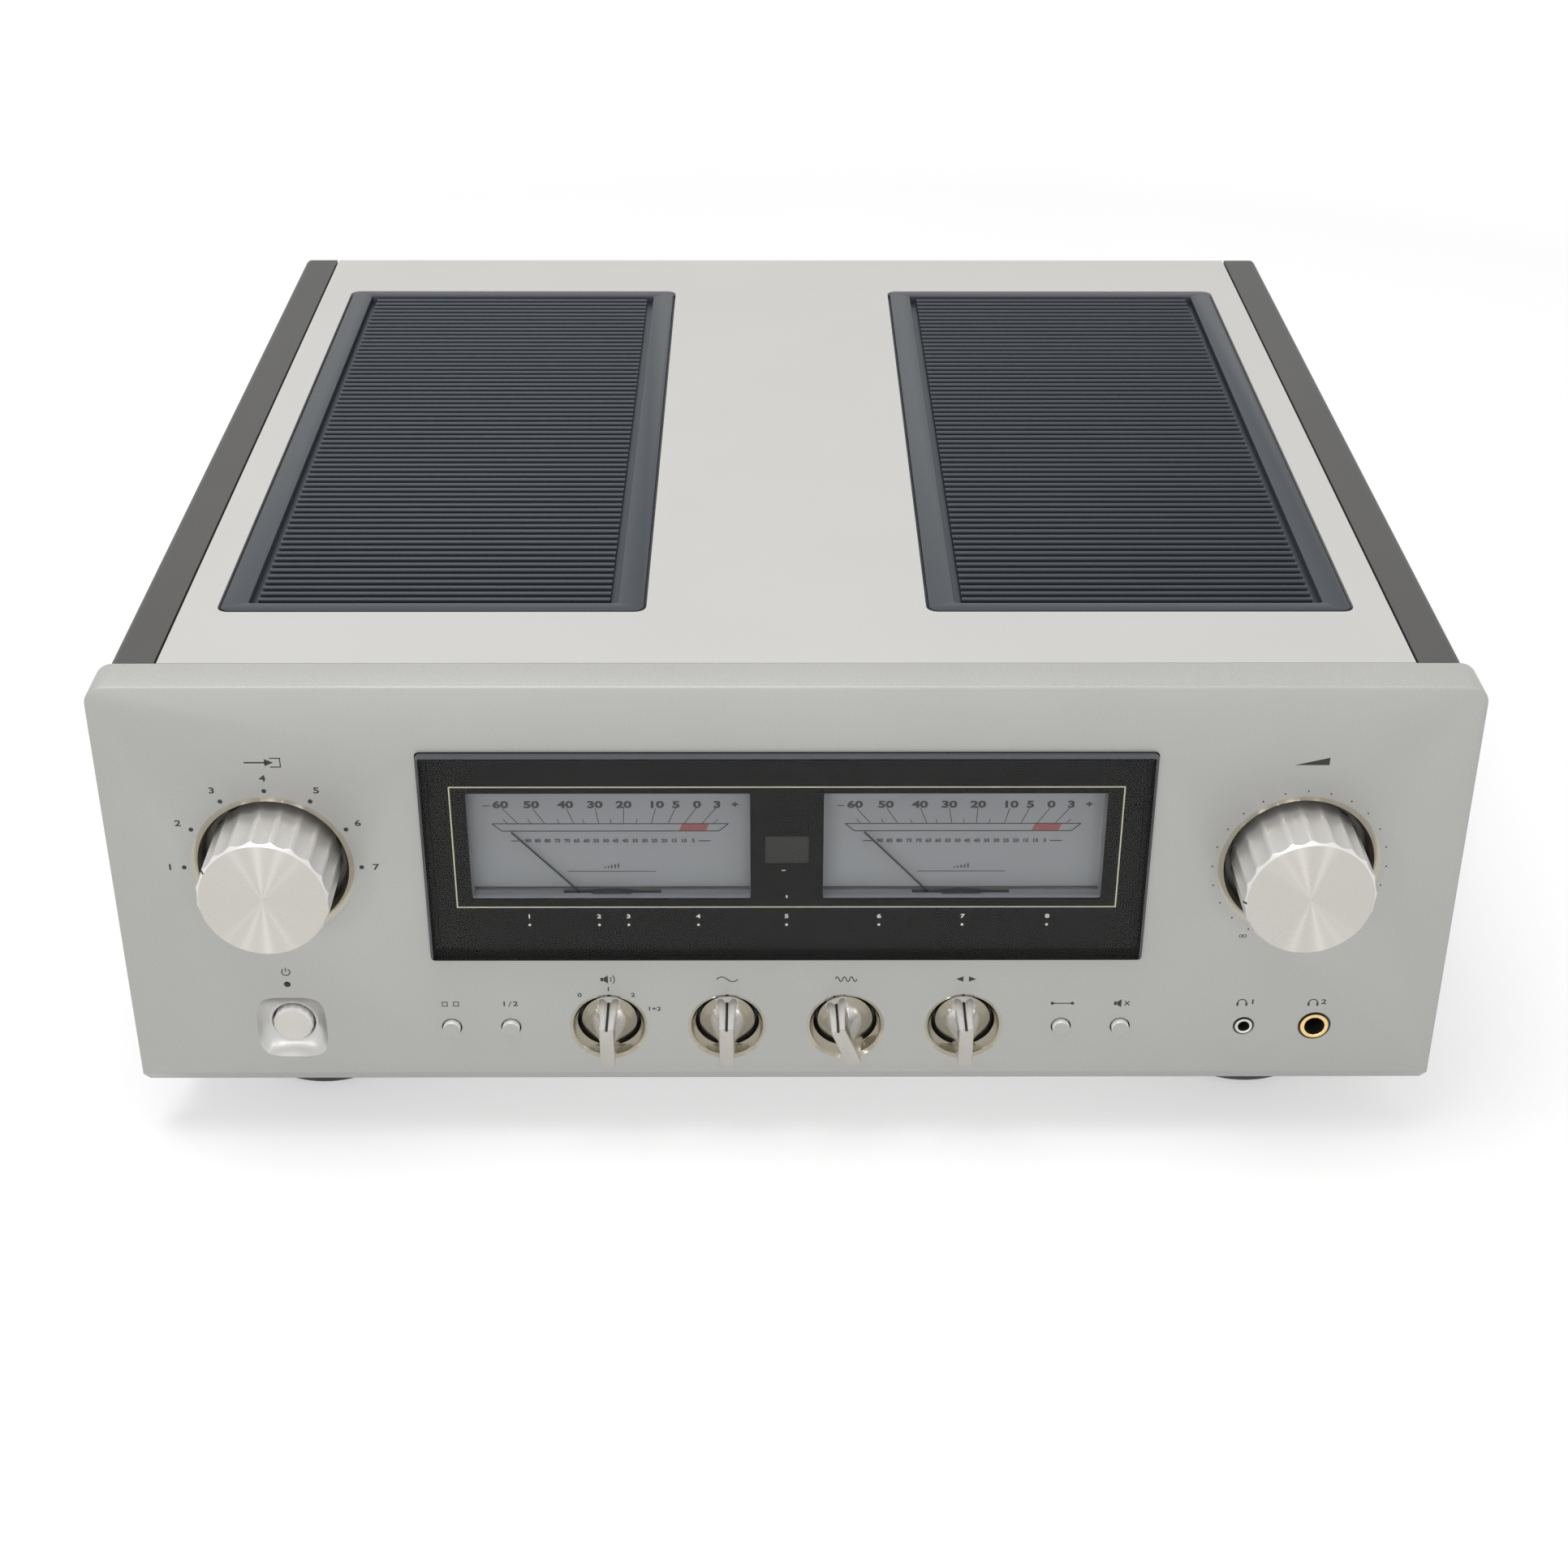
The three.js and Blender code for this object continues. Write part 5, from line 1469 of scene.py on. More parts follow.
@dataclass
class PhoneSocket:
    """Headphone socket: gold ring round a black throat."""

    name: str
    collar: float
    ring: Place
    bore: float
    bore_depth: float

    def build(self) -> list[Piece]:
        """Model the ring and the body behind it.

        Returns:
            Its pieces.
        """
        node = f"headphone_socket_{self.name}"
        box = NodeBox.of(node)
        centre, mouth = box.front, box.low.y
        outer, inner = self.ring
        panel_back = NodeBox.of("front_panel").high.y
        profile = [
            (self.collar, panel_back), (self.collar, mouth + 0.9), (outer, mouth + 0.9),
            (outer, mouth + 0.2), (outer - 0.2, mouth), (inner + 0.35, mouth),
            (inner + 0.1, mouth + 0.15), (inner, mouth + 0.5), (self.bore, mouth + 1.3),
            (self.bore, panel_back), (self.collar, panel_back)]
        ring = Bench.turned(f"{node}_ring", profile, centre, 64)
        metal = Finishes.gold if self.name == "large" else Finishes.nickel

        def region(point: Vector, normal: Vector) -> int:
            """Finish of one face: 0 plated ring, 1 black washer and throat."""
            return int(not inner - TOUCH < away(point, centre) < outer - TOUCH)

        Bench.paint(ring, metal, Finishes.plastic, choose=region)
        body = Bench.slab(f"{node}_body", (box.low.x, panel_back + 0.05, box.low.z), box.high)
        Bench.corners(body, 0.8, 3)
        Bench.carve(body, Bench.rod(
            "throat", centre, self.bore, (panel_back - OVERRUN, mouth + self.bore_depth), 32))
        return [
            Bench.finish(ring, "gold_plate", node),
            Bench.finish(Bench.paint(body, Finishes.plastic), "black_plastic")]


@dataclass
class Lamp:
    """Pin-head operation lamp."""

    radius: float = 0.75
    flange_radius: float = 2.5

    def build(self) -> list[Piece]:
        """Model the domed lens.

        Returns:
            Its pieces.
        """
        box = NodeBox.of("operation_lamp")
        front, back = box.low.y, box.high.y
        flange = NodeBox.of("front_panel").high.y + 0.05
        profile = [
            (0, front), (self.radius * 0.6, front + 0.08), (self.radius, front + 0.35),
            (self.radius, flange), (self.flange_radius, flange), (self.flange_radius, back),
            (0, back)]
        lens = Bench.turned("operation_lamp_lens", profile, box.front, 32)
        return [Bench.finish(Bench.paint(lens, Finishes.lens), "lens_red", "operation_lamp")]


@dataclass
class Window:
    """Glass slab, black mask with its gold line, and the marks between and below the meters."""

    chamfer: float = 1.0
    corner_radius: float = 1.5
    aperture_x: Place = (11.85, 103.2)
    aperture_z: Place = (98.1, 138.7)
    display_x: Place = (-7.1, 7.1)
    display_z: Place = (112.0, 122.5)
    line_x: float = 108.2
    line_z: Place = (95.3, 141.1)
    line_width: float = 0.44
    dot_z: float = 88.3
    label_z: float = 91.6
    dots: Sequence[float] = (-84.8, -61.8, -52.1, -29.1, 0.0, 30.5, 58.0, 86.0)

    def glass(self) -> Piece:
        """The slab with its front edges chamfered.

        Returns:
            The glass.
        """
        box = NodeBox.of("window_glass")
        high = box.high - Vector((0, 0.06, 0))
        slab = Bench.slab("window_slab", box.low, high)
        Bench.corners(slab, self.corner_radius, 5)
        Bench.rim(slab, box.low.y, self.chamfer, 1)
        # edges get the dark edge finish, a painted reflection, and the lower edges the black mask
        # finish as a painted dark reflection
        Bench.paint(
            slab, Finishes.glass, Finishes.glass_edge, Finishes.mask,
            choose=lambda point, normal: 0 if abs(normal.y) > 0.9 else 2 if normal.z < -0.3 else 1)
        return Bench.finish(slab, "smoked_glass", "window_glass", smooth=20)

    def mask(self) -> Piece:
        """The mask with one aperture for each meter and one for the display.

        Returns:
            The mask.
        """
        box = NodeBox.of("window_mask")
        mask = Bench.slab("window_mask_sheet", box.low, box.high)
        (inner, outer), meter_z = self.aperture_x, self.aperture_z
        holes = []
        for (left, right), (low, high) in (
                ((-outer, -inner), meter_z), ((inner, outer), meter_z),
                (self.display_x, self.display_z)):
            hole = Bench.slab(
                "aperture", (left, box.low.y - OVERRUN, low), (right, box.high.y + OVERRUN, high))
            Bench.corners(hole, 0.6, 3)
            holes.append(hole)
        Bench.carve(mask, *holes)
        return Bench.finish(Bench.paint(mask, Finishes.mask), "black_plastic", "window_mask")

    def marks(self) -> list[Piece]:
        """The gold frame line, the indicator dots and the numbers above them.

        Returns:
            The line, and the dots with their numbers.
        """
        plane = NodeBox.of("window_mask").low.y + 0.005
        line = InkPlate("window_gold_line", plane)
        low, high = self.line_z
        middle, height = (low + high) / 2, high - low
        for sign in SIGNS:
            line.bar((sign * self.line_x, middle), self.line_width, height + self.line_width)
        for z in self.line_z:
            line.bar((0, z), 2 * self.line_x - self.line_width, self.line_width)
        dots = InkPlate("window_indicator_marks", plane)
        for number, x in enumerate(self.dots, start=1):
            dots.dot((x, self.dot_z), 0.45)
            dots.word(str(number), (x, self.label_z), 1.5, 1.4)
        dots.bar((-1.0, 109.6), 1.3, 0.3)
        dots.bar((0, 99.4), 0.5, 1.0)
        return [
            line.finish(Finishes.trim, "gold_plate"), dots.finish(Finishes.pale_ink, "dial_grey")]

    def display(self) -> Piece:
        """Small volume display behind its opening.

        Returns:
            The display.
        """
        box = NodeBox.of("level_display")
        display = Bench.slab("level_display_screen", box.low, box.high)
        Bench.rim(display, box.low.y, 0.2, 2)
        Bench.paint(
            display, Finishes.plastic, Finishes.screen,
            choose=lambda point, normal: int(normal.y < -0.9))
        return Bench.finish(display, "black_plastic", "level_display")

    def build(self) -> list[Piece]:
        """Model the window's pieces."""
        return [self.glass(), self.mask(), *self.marks(), self.display()]


@dataclass(frozen=True)
class DialNumber:
    """One number of a meter's scale, with the foot of its leader line on the band."""

    text: str
    shift: float
    foot: float


@dataclass
class Meter:
    """Level meter: dial box, printed scale, needle and the strips that its needle runs between."""

    side: str
    numbers: Sequence[DialNumber] = (
        DialNumber("60", -35.4, -30.1), DialNumber("50", -25.4, -21.3),
        DialNumber("40", -14.3, -11.8), DialNumber("30", -4.8, -3.7), DialNumber("20", 4.6, 4.3),
        DialNumber("10", 15.1, 13.4), DialNumber("5", 21.6, 18.8), DialNumber("0", 28.4, 24.1),
        DialNumber("3", 34.9, 29.9))
    minor_feet: Sequence[float] = (-33.3, -25.7, -16.5, -8.5, 0.2, 8.4, 33.6)
    number_z: float = 130.2
    number_size: float = 2.5
    number_stretch: float = 1.45
    plus_shift: float = 40.7
    plus_size: float = 2.25
    minus: tuple[float, ...] = (-40.0, -0.3, 2.2, 0.32)
    band_top: Place = (38.5, 123.07)
    band_low: Place = (35.4, 120.26)
    line_width: float = 0.36
    leader_width: float = 0.26
    leader_lean: float = 1.1
    minor_length: float = 1.7
    red_top: Place = (23.5, 32.2)
    red_low: Place = (22.3, 31.2)
    small_row_z: float = 116.5
    small_row_half: float = 27.0
    small_numbers: int = 18
    small_step: int = 5
    small_size: float = 1.3
    small_stretch: float = 1.1
    small_dash: tuple[float, ...] = (30.6, 4.0, 0.35)
    caption_z: float = 106.25
    caption_bars: int = 5
    underline: Place = (14.6, 104.7)
    pivot_z: float = 86.1
    ledge_half: float = 45.4
    hub_half: float = 6.5
    floor_z: float = 97.2

    def scale(self, ink: InkPlate, middle: float) -> None:
        """Print the band, the numbers on their leader lines and the short lines between them.

        Args:
            ink: The print that they belong to.
            middle: X of the dial's middle.
        """
        (top_half, top), (low_half, low) = self.band_top, self.band_low
        ink.line([
            (middle - top_half, top), (middle + top_half, top), (middle + low_half, low),
            (middle - low_half, low), (middle - top_half, top)], self.line_width)
        rise = self.number_z - top
        reach = rise - self.number_size / 2
        for number in self.numbers:
            place, foot = (middle + number.shift, self.number_z), middle + number.foot
            ink.word(number.text, place, self.number_size, self.number_stretch)
            lean = (number.shift - number.foot) / rise * reach * self.leader_lean
            ink.line([(foot, top), (foot + lean, top + reach)], self.leader_width)
        for foot in self.minor_feet:
            lean = foot / (top - self.pivot_z) * self.minor_length
            ends = (middle + foot, top), (middle + foot + lean, top + self.minor_length)
            ink.line(ends, self.leader_width)

    def small_print(self, ink: InkPlate, middle: float) -> None:
        """Print the scale's two signs, the row of small numbers and the caption on its line.

        Args:
            ink: The print that they belong to.
            middle: X of the dial's middle.
        """
        ink.word("+", (middle + self.plus_shift, self.number_z), self.plus_size)
        ink.bars((middle, self.number_z), [self.minus])
        last = self.small_numbers - 1
        for i in range(self.small_numbers):
            place = (middle + self.small_row_half * (2 * i / last - 1), self.small_row_z)
            number = str(self.small_step * (self.small_numbers - i))
            ink.word(number, place, self.small_size, self.small_stretch)
        shift, *size = self.small_dash
        ink.bars((middle, self.small_row_z), [(sign * shift, 0, *size) for sign in SIGNS])
        ink.bars((middle, self.caption_z), [
            (1.1 * (i - 2), 0.15 * i, 0.5, 0.5 + 0.3 * i) for i in range(self.caption_bars)])
        half, height = self.underline
        ink.bar((middle, height), 2 * half, self.leader_width)

    def dial_print(self, middle: float, plane: float) -> list[Piece]:
        """Print the scale.

        Args:
            middle: X of the dial's middle.
            plane: Y of the dial.

        Returns:
            The black and the red print.
        """
        black = InkPlate(f"meter_{self.side}_scale", plane, 0.06)
        self.scale(black, middle)
        self.small_print(black, middle)
        red = InkPlate(f"meter_{self.side}_red_zone", plane + PRINT_THICKNESS / 3)
        (low_start, low_end), (top_start, top_end) = self.red_low, self.red_top
        low, top = self.band_low[1], self.band_top[1]
        red.shape((middle, 0), [
            (low_start, low), (low_end, low), (top_end, top), (top_start, top)])
        return [
            black.finish(Finishes.dial_ink, "black_plastic"),
            red.finish(Finishes.red_ink, "lens_red")]

    def strips(self, middle: float, plane: float) -> list[Piece]:
        """Ledges before and behind the needle, the one behind painted dark grey as the shadow line
        between them, and the hub's low cover.

        Args:
            middle: X of the dial's middle.
            plane: Y of the dial.

        Returns:
            The strips and the cover.
        """
        mask_back = NodeBox.of("window_mask").high.y
        top = self.floor_z
        sheets = {
            "ledge": (mask_back + 0.05, plane - 2.9, top + 1.0, Finishes.dial),
            # the rear strip's dark grey is painted shadow
            "rear_strip": (plane - 0.9, plane - 0.05, top + 1.6, Finishes.strip)}
        pieces = []
        for name, (front, back, high, finish) in sheets.items():
            strip = Bench.slab(
                f"meter_{self.side}_{name}", (middle - self.ledge_half, front, top - 0.8),
                (middle + self.ledge_half, back, high))
            Bench.corners(strip, 0.1, 2, Axis.X)
            pieces.append(Bench.finish(Bench.paint(strip, finish), "dial_grey"))
        arch = [
            (middle + self.hub_half * math.cos(math.pi * share),
             top + 1.05 + 0.9 * math.sin(math.pi * share) ** 0.5) for share in shares(10)]
        cover = Bench.prism(f"meter_{self.side}_hub_cover", arch, (plane - 3.7, plane - 2.9))
        return [*pieces, Bench.finish(Bench.paint(cover, Finishes.plastic), "black_plastic")]

    def build(self) -> list[Piece]:
        """Add the print and the strips to the dial box, which stays as the CAD has it."""
        box = NodeBox.of(f"meter_{self.side}")
        plane = NodeBox.of("window_mask").high.y + 6.0
        return [*self.dial_print(box.middle.x, plane), *self.strips(box.middle.x, plane)]


@dataclass
class PanelLegend:
    """Dots, ticks, numbers and small signs printed on the panel.

    Each bar of a sign is its shift to the right and up, its width and height and, where it leans,
    its clock angle.
    """

    dot_ring: float = 28.8
    dot_radius: float = 0.78
    inputs: int = 7
    input_clock: Place = (-90, 30)
    number_ring: float = 33.4
    tick_ring: float = 28.4
    ticks: int = 21
    tick_clock: Place = (-150, 15)
    silence_ring: float = 31.6
    title_z: float = 150.8
    button_sign_z: float = 56.9
    knob_sign_z: float = 66.9
    lamp_sign_z: float = 70.1
    socket_sign_z: float = 57.3
    line: float = 0.36
    figure: float = 1.9
    input_bars: Table = (
        (-1.8, 0, 7.0, 0.504), (4.6, -1.6, 3.4, 0.36), (4.6, 1.6, 3.4, 0.36), (6.2, 0, 0.36, 3.56))
    input_arrow: Table = ((1.2, -1.3), (4.0, 0), (1.2, 1.3))
    wedge: Table = ((-5.5, -1.2), (5.5, -1.2), (5.5, 1.5))
    power_bar: Table = ((0, 0.9, 0.36, 1.6),)
    box: Table = (
        (0, -0.8, 2.0, 0.288), (-0.85, 0, 0.288, 1.6), (0, 0.8, 2.0, 0.288), (0.85, 0, 0.288, 1.6))
    slash: Table = ((0, 0, 0.288, 2.4, 20),)
    cone: Table = ((-1.5, -0.7), (-0.1, -1.6), (-0.1, 1.6), (-1.5, 0.7))
    magnet: Table = ((-2.1, 0, 1.0, 1.4),)
    cross: Table = ((1.8, 0, 0.36, 2.4, -45), (1.8, 0, 0.36, 2.4, 45))
    ear_pads: Table = ((-2.9, -0.9, 0.7, 1.3), (0.1, -0.9, 0.7, 1.3))
    pointer: Table = ((0.9, -1.1), (3.4, 0), (0.9, 1.1))
    speaker_x: float = -59.6
    speaker_numbers: Sequence[tuple[str, Place]] = (
        ("0", (-69.4, 60.5)), ("1", (-59.7, 62.9)), ("2", (-51.5, 60.5)), ("1+2", (-44.5, 54.8)))
    bass_x: float = -19.8
    treble_x: float = 20.0
    balance_x: float = 60.2
    socket_x: Place = (155, 179)

    def selector(self, ink: InkPlate, centre: Place) -> None:
        """Print seven dots, their numbers and the sign for inputs.

        Args:
            ink: The print that they belong to.
            centre: The knob's place.
        """
        first, step = self.input_clock
        for i in range(self.inputs):
            clock = first + step * i
            ink.dot(polar(centre, self.dot_ring, clock), self.dot_radius, 18)
            ink.word(str(i + 1), polar(centre, self.number_ring, clock), 2.2, 1.4)
        title = (centre[0], self.title_z)
        ink.bars(title, self.input_bars)
        ink.shape(title, self.input_arrow)

    def volume(self, ink: InkPlate, centre: Place) -> None:
        """Print ticks round the knob, the sign for no sound at their start and the rising wedge.

        Args:
            ink: The print that they belong to.
            centre: The knob's place.
        """
        first, step = self.tick_clock
        for i in range(self.ticks):
            ink.dot(polar(centre, self.tick_ring, first + step * i), 0.3, 10)
        x, z = polar(centre, self.silence_ring, first)
        for sign in SIGNS:
            ink.arc((x + sign * 0.62, z), 0.55, 0.25, (0, 360), 12)
        ink.shape((centre[0], self.title_z), self.wedge)

    def wave(self, ink: InkPlate, centre: Place, waves: int, half: float = 3.6) -> None:
        """Print a sine wave.

        Args:
            ink: The print that it belongs to.
            centre: Its middle.
            waves: How many waves it has.
            half: Half its length.
        """
        x, z = centre
        ink.line([
            (x + half * (2 * share - 1), z + math.sin(math.tau * waves * share))
            for share in shares(12 * waves)], self.line)

    def loudspeaker(self, ink: InkPlate, centre: Place, muted: bool) -> None:
        """Print a loudspeaker, with a cross where it is muted and sound waves where it isn't.

        Args:
            ink: The print that it belongs to.
            centre: Its middle.
            muted: Whether it is crossed out.
        """
        ink.bars(centre, self.magnet)
        ink.shape(centre, self.cone)
        if muted:
            ink.bars(centre, self.cross)
        else:
            for radius in (1.4, 2.5):
                ink.arc((centre[0] - 0.4, centre[1]), radius, self.line * 0.9, (48, 132), 6)

    def headphones(self, ink: InkPlate, centre: Place, number: int) -> None:
        """Print headphones and the socket's number.

        Args:
            ink: The print that they belong to.
            centre: Their middle.
            number: The socket's number.
        """
        x, z = centre
        ink.arc((x - 1.4, z - 0.4), 1.5, self.line, (-90, 90), 10)
        ink.bars(centre, self.ear_pads)
        ink.word(str(number), (x + 2.2, z), self.figure)

    def button_signs(self, ink: InkPlate) -> None:
        """Print the signs of the power button and the push buttons.

        Args:
            ink: The print that they belong to.
        """
        power = (NodeBox.of("power_button").middle.x, self.lamp_sign_z)
        ink.arc(power, 1.35, self.line, (35, 325), 18)
        ink.bars(power, self.power_bar)
        z = self.button_sign_z
        separate, cartridge, straight, mute = (
            NodeBox.of(f"{name}_button").middle.x for name in BUTTONS)
        for sign in SIGNS:
            ink.bars((separate + sign * 1.9, z), self.box)
        ink.bars((cartridge, z), self.slash)
        for sign, number in zip(SIGNS, "12"):
            ink.word(number, (cartridge + sign * 1.9, z), self.figure)
        ink.bar((straight, z), 6.4, self.line)
        for sign in SIGNS:
            ink.dot((straight + sign * 3.4, z), 0.6, 12)
        self.loudspeaker(ink, (mute, z), True)

    def knob_signs(self, ink: InkPlate) -> None:
        """Print the signs of the small knobs and of the headphone sockets.

        Args:
            ink: The print that they belong to.
        """
        z = self.knob_sign_z
        self.loudspeaker(ink, (self.speaker_x, z), False)
        for text, place in self.speaker_numbers:
            ink.word(text, place, 1.6)
        self.wave(ink, (self.bass_x, z), 1)
        self.wave(ink, (self.treble_x, z), 3)
        for sign in SIGNS:
            turned = [(right * sign, up * sign) for right, up in self.pointer]
            ink.shape((self.balance_x, z), turned)
        for number, x in enumerate(self.socket_x, start=1):
            self.headphones(ink, (x, self.socket_sign_z), number)

    def build(self) -> list[Piece]:
        """Print the three groups of marks.

        Returns:
            Its pieces.
        """
        plane = NodeBox.of("front_panel").low.y + 0.005
        pieces = []
        for name, draw in (("input_selector", self.selector), ("volume", self.volume)):
            ink = InkPlate(f"{name}_legend", plane)
            draw(ink, NodeBox.of(f"{name}_knob").front)
            pieces.append(ink.finish(Finishes.ink, "black_plastic"))
        ink = InkPlate("controls_legend", plane)
        self.button_signs(ink)
        self.knob_signs(ink)
        return [*pieces, ink.finish(Finishes.ink, "black_plastic")]


@dataclass
class Grille:
    """Louvred grille: painted frame, channels beside the slats, rounded slats and seat flange."""

    side: str
    inner_x: float = 47.3
    width: float = 139.8
    span_y: Place = (-153.9, 157.5)
    thickness: float = 8.0
    corner_radius: float = 3.0
    side_border: float = 8.6
    end_border: float = 5.7
    channel: Place = (2.7, 3.0)
    slats: int = 66
    slat_thickness: float = 1.7
    slat_end_gap: float = 2.9
    slat_crown: float = 0.62
    crown_steps: int = 6
    flange: Place = (4.0, 2.0)
    sheet: float = 1.9

    def frame(self, x: Place, top: float) -> Piece:
        """The frame with its rounded corners, its opening and the flange below the cover.

        Args:
            x: Its left and right edges.
            top: Its top face.

        Returns:
            The frame.
        """
        (left, right), (front, rear), low = x, self.span_y, top - self.thickness
        inner = (left + self.side_border, right - self.side_border)
        plate = Bench.slab("frame", (left, front, low), (right, rear, top))
        Bench.corners(plate, self.corner_radius, 6, Axis.Z)
        opening = Bench.slab(
            "opening", (inner[0], front + self.end_border, low - OVERRUN),
            (inner[1], rear - self.end_border, top + OVERRUN))
        Bench.corners(opening, 0.8, 4, Axis.Z)
        Bench.carve(plate, opening)
        Bench.rim(plate, top, 0.3, 2, Axis.Z)
        wide, drop = self.channel
        spans = [
            (edge, front + self.end_border - 0.5, rear - self.end_border + 0.5, low, top - drop)
            for edge in ((inner[0] - 0.5, inner[0] + wide), (inner[1] - wide, inner[1] + 0.5))]
        reach, depth = self.flange
        seat = (top - self.sheet - depth, top - self.sheet)
        spans += [
            (edge, front - reach, rear + reach, *seat)
            for edge in ((left - reach, left + 1), (right - 1, right + reach))]
        spans += [
            ((left + 1, right - 1), *ends, *seat)
            for ends in ((front - reach, front + 1), (rear - 1, rear + reach))]
        bars = [
            Bench.slab("bar", (edge[0], near, base), (edge[1], far, crest))
            for edge, near, far, base, crest in spans]
        return Bench.join(f"grille_{self.side}_frame", [plate, *bars])

    def louvre(self, x: Place, top: float) -> Piece:
        """One slat with a rounded crown, repeated along the grille.

        Args:
            x: Left and right ends of the slats.
            top: Height of their crowns.

        Returns:
            All the slats.
        """
        half, low = self.slat_thickness / 2, top - self.thickness
        first = self.span_y[0] + self.end_border + self.slat_end_gap + half
        last = self.span_y[1] - self.end_border - self.slat_end_gap - half
        crown = [
            (first + half * math.cos(math.pi * share),
             top - self.slat_crown * (1 - math.sin(math.pi * share)))
            for share in shares(self.crown_steps)]
        slat = Bench.prism(
            f"grille_{self.side}_slats", [(first + half, low), *crown, (first - half, low)], x,
            Axis.X)
        Bench.apply(
            slat, "ARRAY", count=self.slats, use_relative_offset=False, use_constant_offset=True,
            constant_offset_displace=(0, (last - first) / (self.slats - 1) * MM, 0))
        return slat

    def build(self) -> list[Piece]:
        """Model frame and slats.

        Returns:
            Its pieces.
        """
        sign, node = SIDES[self.side], f"grille_{self.side}"
        top = NodeBox.of(node).high.z
        x = sorted(sign * edge for edge in (self.inner_x, self.inner_x + self.width))
        inset = self.side_border + self.channel[0]
        pieces = [self.frame(x, top), self.louvre((x[0] + inset, x[1] - inset), top)]
        return [
            Bench.finish(Bench.paint(piece, Finishes.grille), "grille_paint", node, smooth=40)
            for piece in pieces]


@dataclass
class Screws:
    """Pan-head screws with a cross recess, which face the back."""

    name: str
    places: Sequence[Place]
    plane: float
    radius: float = 3.0
    dome: Sequence[Place] = ((1, 0), (1, 0.15), (0.85, 0.35), (0.5, 0.45), (0, 0.48))
    arm: Place = (0.55, 0.13)
    recess: float = 0.2

    def build(self) -> list[Piece]:
        """Model one screw and copy it to its places.

        Returns:
            Its pieces.
        """
        r, base, (x, z) = self.radius, self.plane, self.places[0]
        head = Bench.turned(
            self.name, [(0, base), *((r * out, base + r * up) for out, up in self.dome)], (x, z),
            28)
        for wide, tall in (self.arm, self.arm[::-1]):
            Bench.carve(head, Bench.slab(
                "arm", (x - r * wide, base + r * self.recess, z - r * tall),
                (x + r * wide, base + r, z + r * tall)))
        heads = Bench.copies([Bench.paint(head, Finishes.steel)], self.places)
        heads = Bench.join(self.name, heads)
        return [Bench.finish(heads, "zinc_steel")]


@dataclass
class SignalJacks:
    """Black plate with plated signal sockets, white above and red below."""

    columns: Sequence[float] = (188, 167, 146, 125, 104, 62, 41)
    rows: Sequence[float] = (146, 124)
    plate_thickness: float = 2.0
    plate_corner: float = 2.5
    barrel: float = 4.15
    wall: float = 0.85
    pin: float = 1.6

    def jack(self, centre: Place, base: float, tip: float, ring: Finish) -> Piece:
        """Model one socket: collar, barrel and a sunken insulator round the pin's hole.

        Args:
            centre: X and Z of its axis.
            base: Y of the plate's face.
            tip: Y of its end.
            ring: The insulator's finish.

        Returns:
            The socket.
        """
        r, throat, pin = self.barrel, self.barrel - self.wall, self.pin
        jack = Bench.turned("signal_jack", [
            (0, base - 0.05), (r + 0.8, base - 0.05), (r + 0.8, base + 1.1), (r + 0.4, base + 1.5),
            (r, base + 1.5), (r, tip - 0.4), (r - 0.3, tip), (throat + 0.15, tip),
            (throat, tip - 0.2),
            (throat, tip - 0.9), (pin + 0.15, tip - 0.9), (pin, tip - 1.1), (pin, base + 0.5),
            (0, base + 0.5)], centre, 36)

        def region(point: Vector, normal: Vector) -> int:
            """Finish of one face: 0 plated, 1 insulator, 2 the pin's hole, painted black as shade.
            """
            reach = away(point, centre)
            if reach > throat + 0.02 or point.y < base:
                return 0
            return 1 if reach > pin + 0.02 else 2

        return Bench.paint(jack, Finishes.gold, ring, Finishes.plastic, choose=region)

    def build(self) -> list[Piece]:
        """Model the plate and the sockets.

        Returns:
            Its pieces.
        """
        box = NodeBox.of("signal_jacks")
        base = box.low.y + self.plate_thickness
        plate = Bench.slab("signal_jack_plate", box.low, (box.high.x, base, box.high.z))
        Bench.corners(plate, self.plate_corner, 5)
        Bench.rim(plate, base, 0.3, 2)
        jacks = []
        for z, ring in zip(self.rows, (Finishes.white, Finishes.red)):
            places = [(x, z) for x in self.columns]
            jacks += Bench.copies([self.jack(places[0], base, box.high.y, ring)], places)
        return [
            Bench.finish(Bench.paint(plate, Finishes.plastic), "black_plastic", "signal_jacks"),
            Bench.finish(Bench.join("signal_jack_sockets", jacks), "gold_plate", "signal_jacks")]


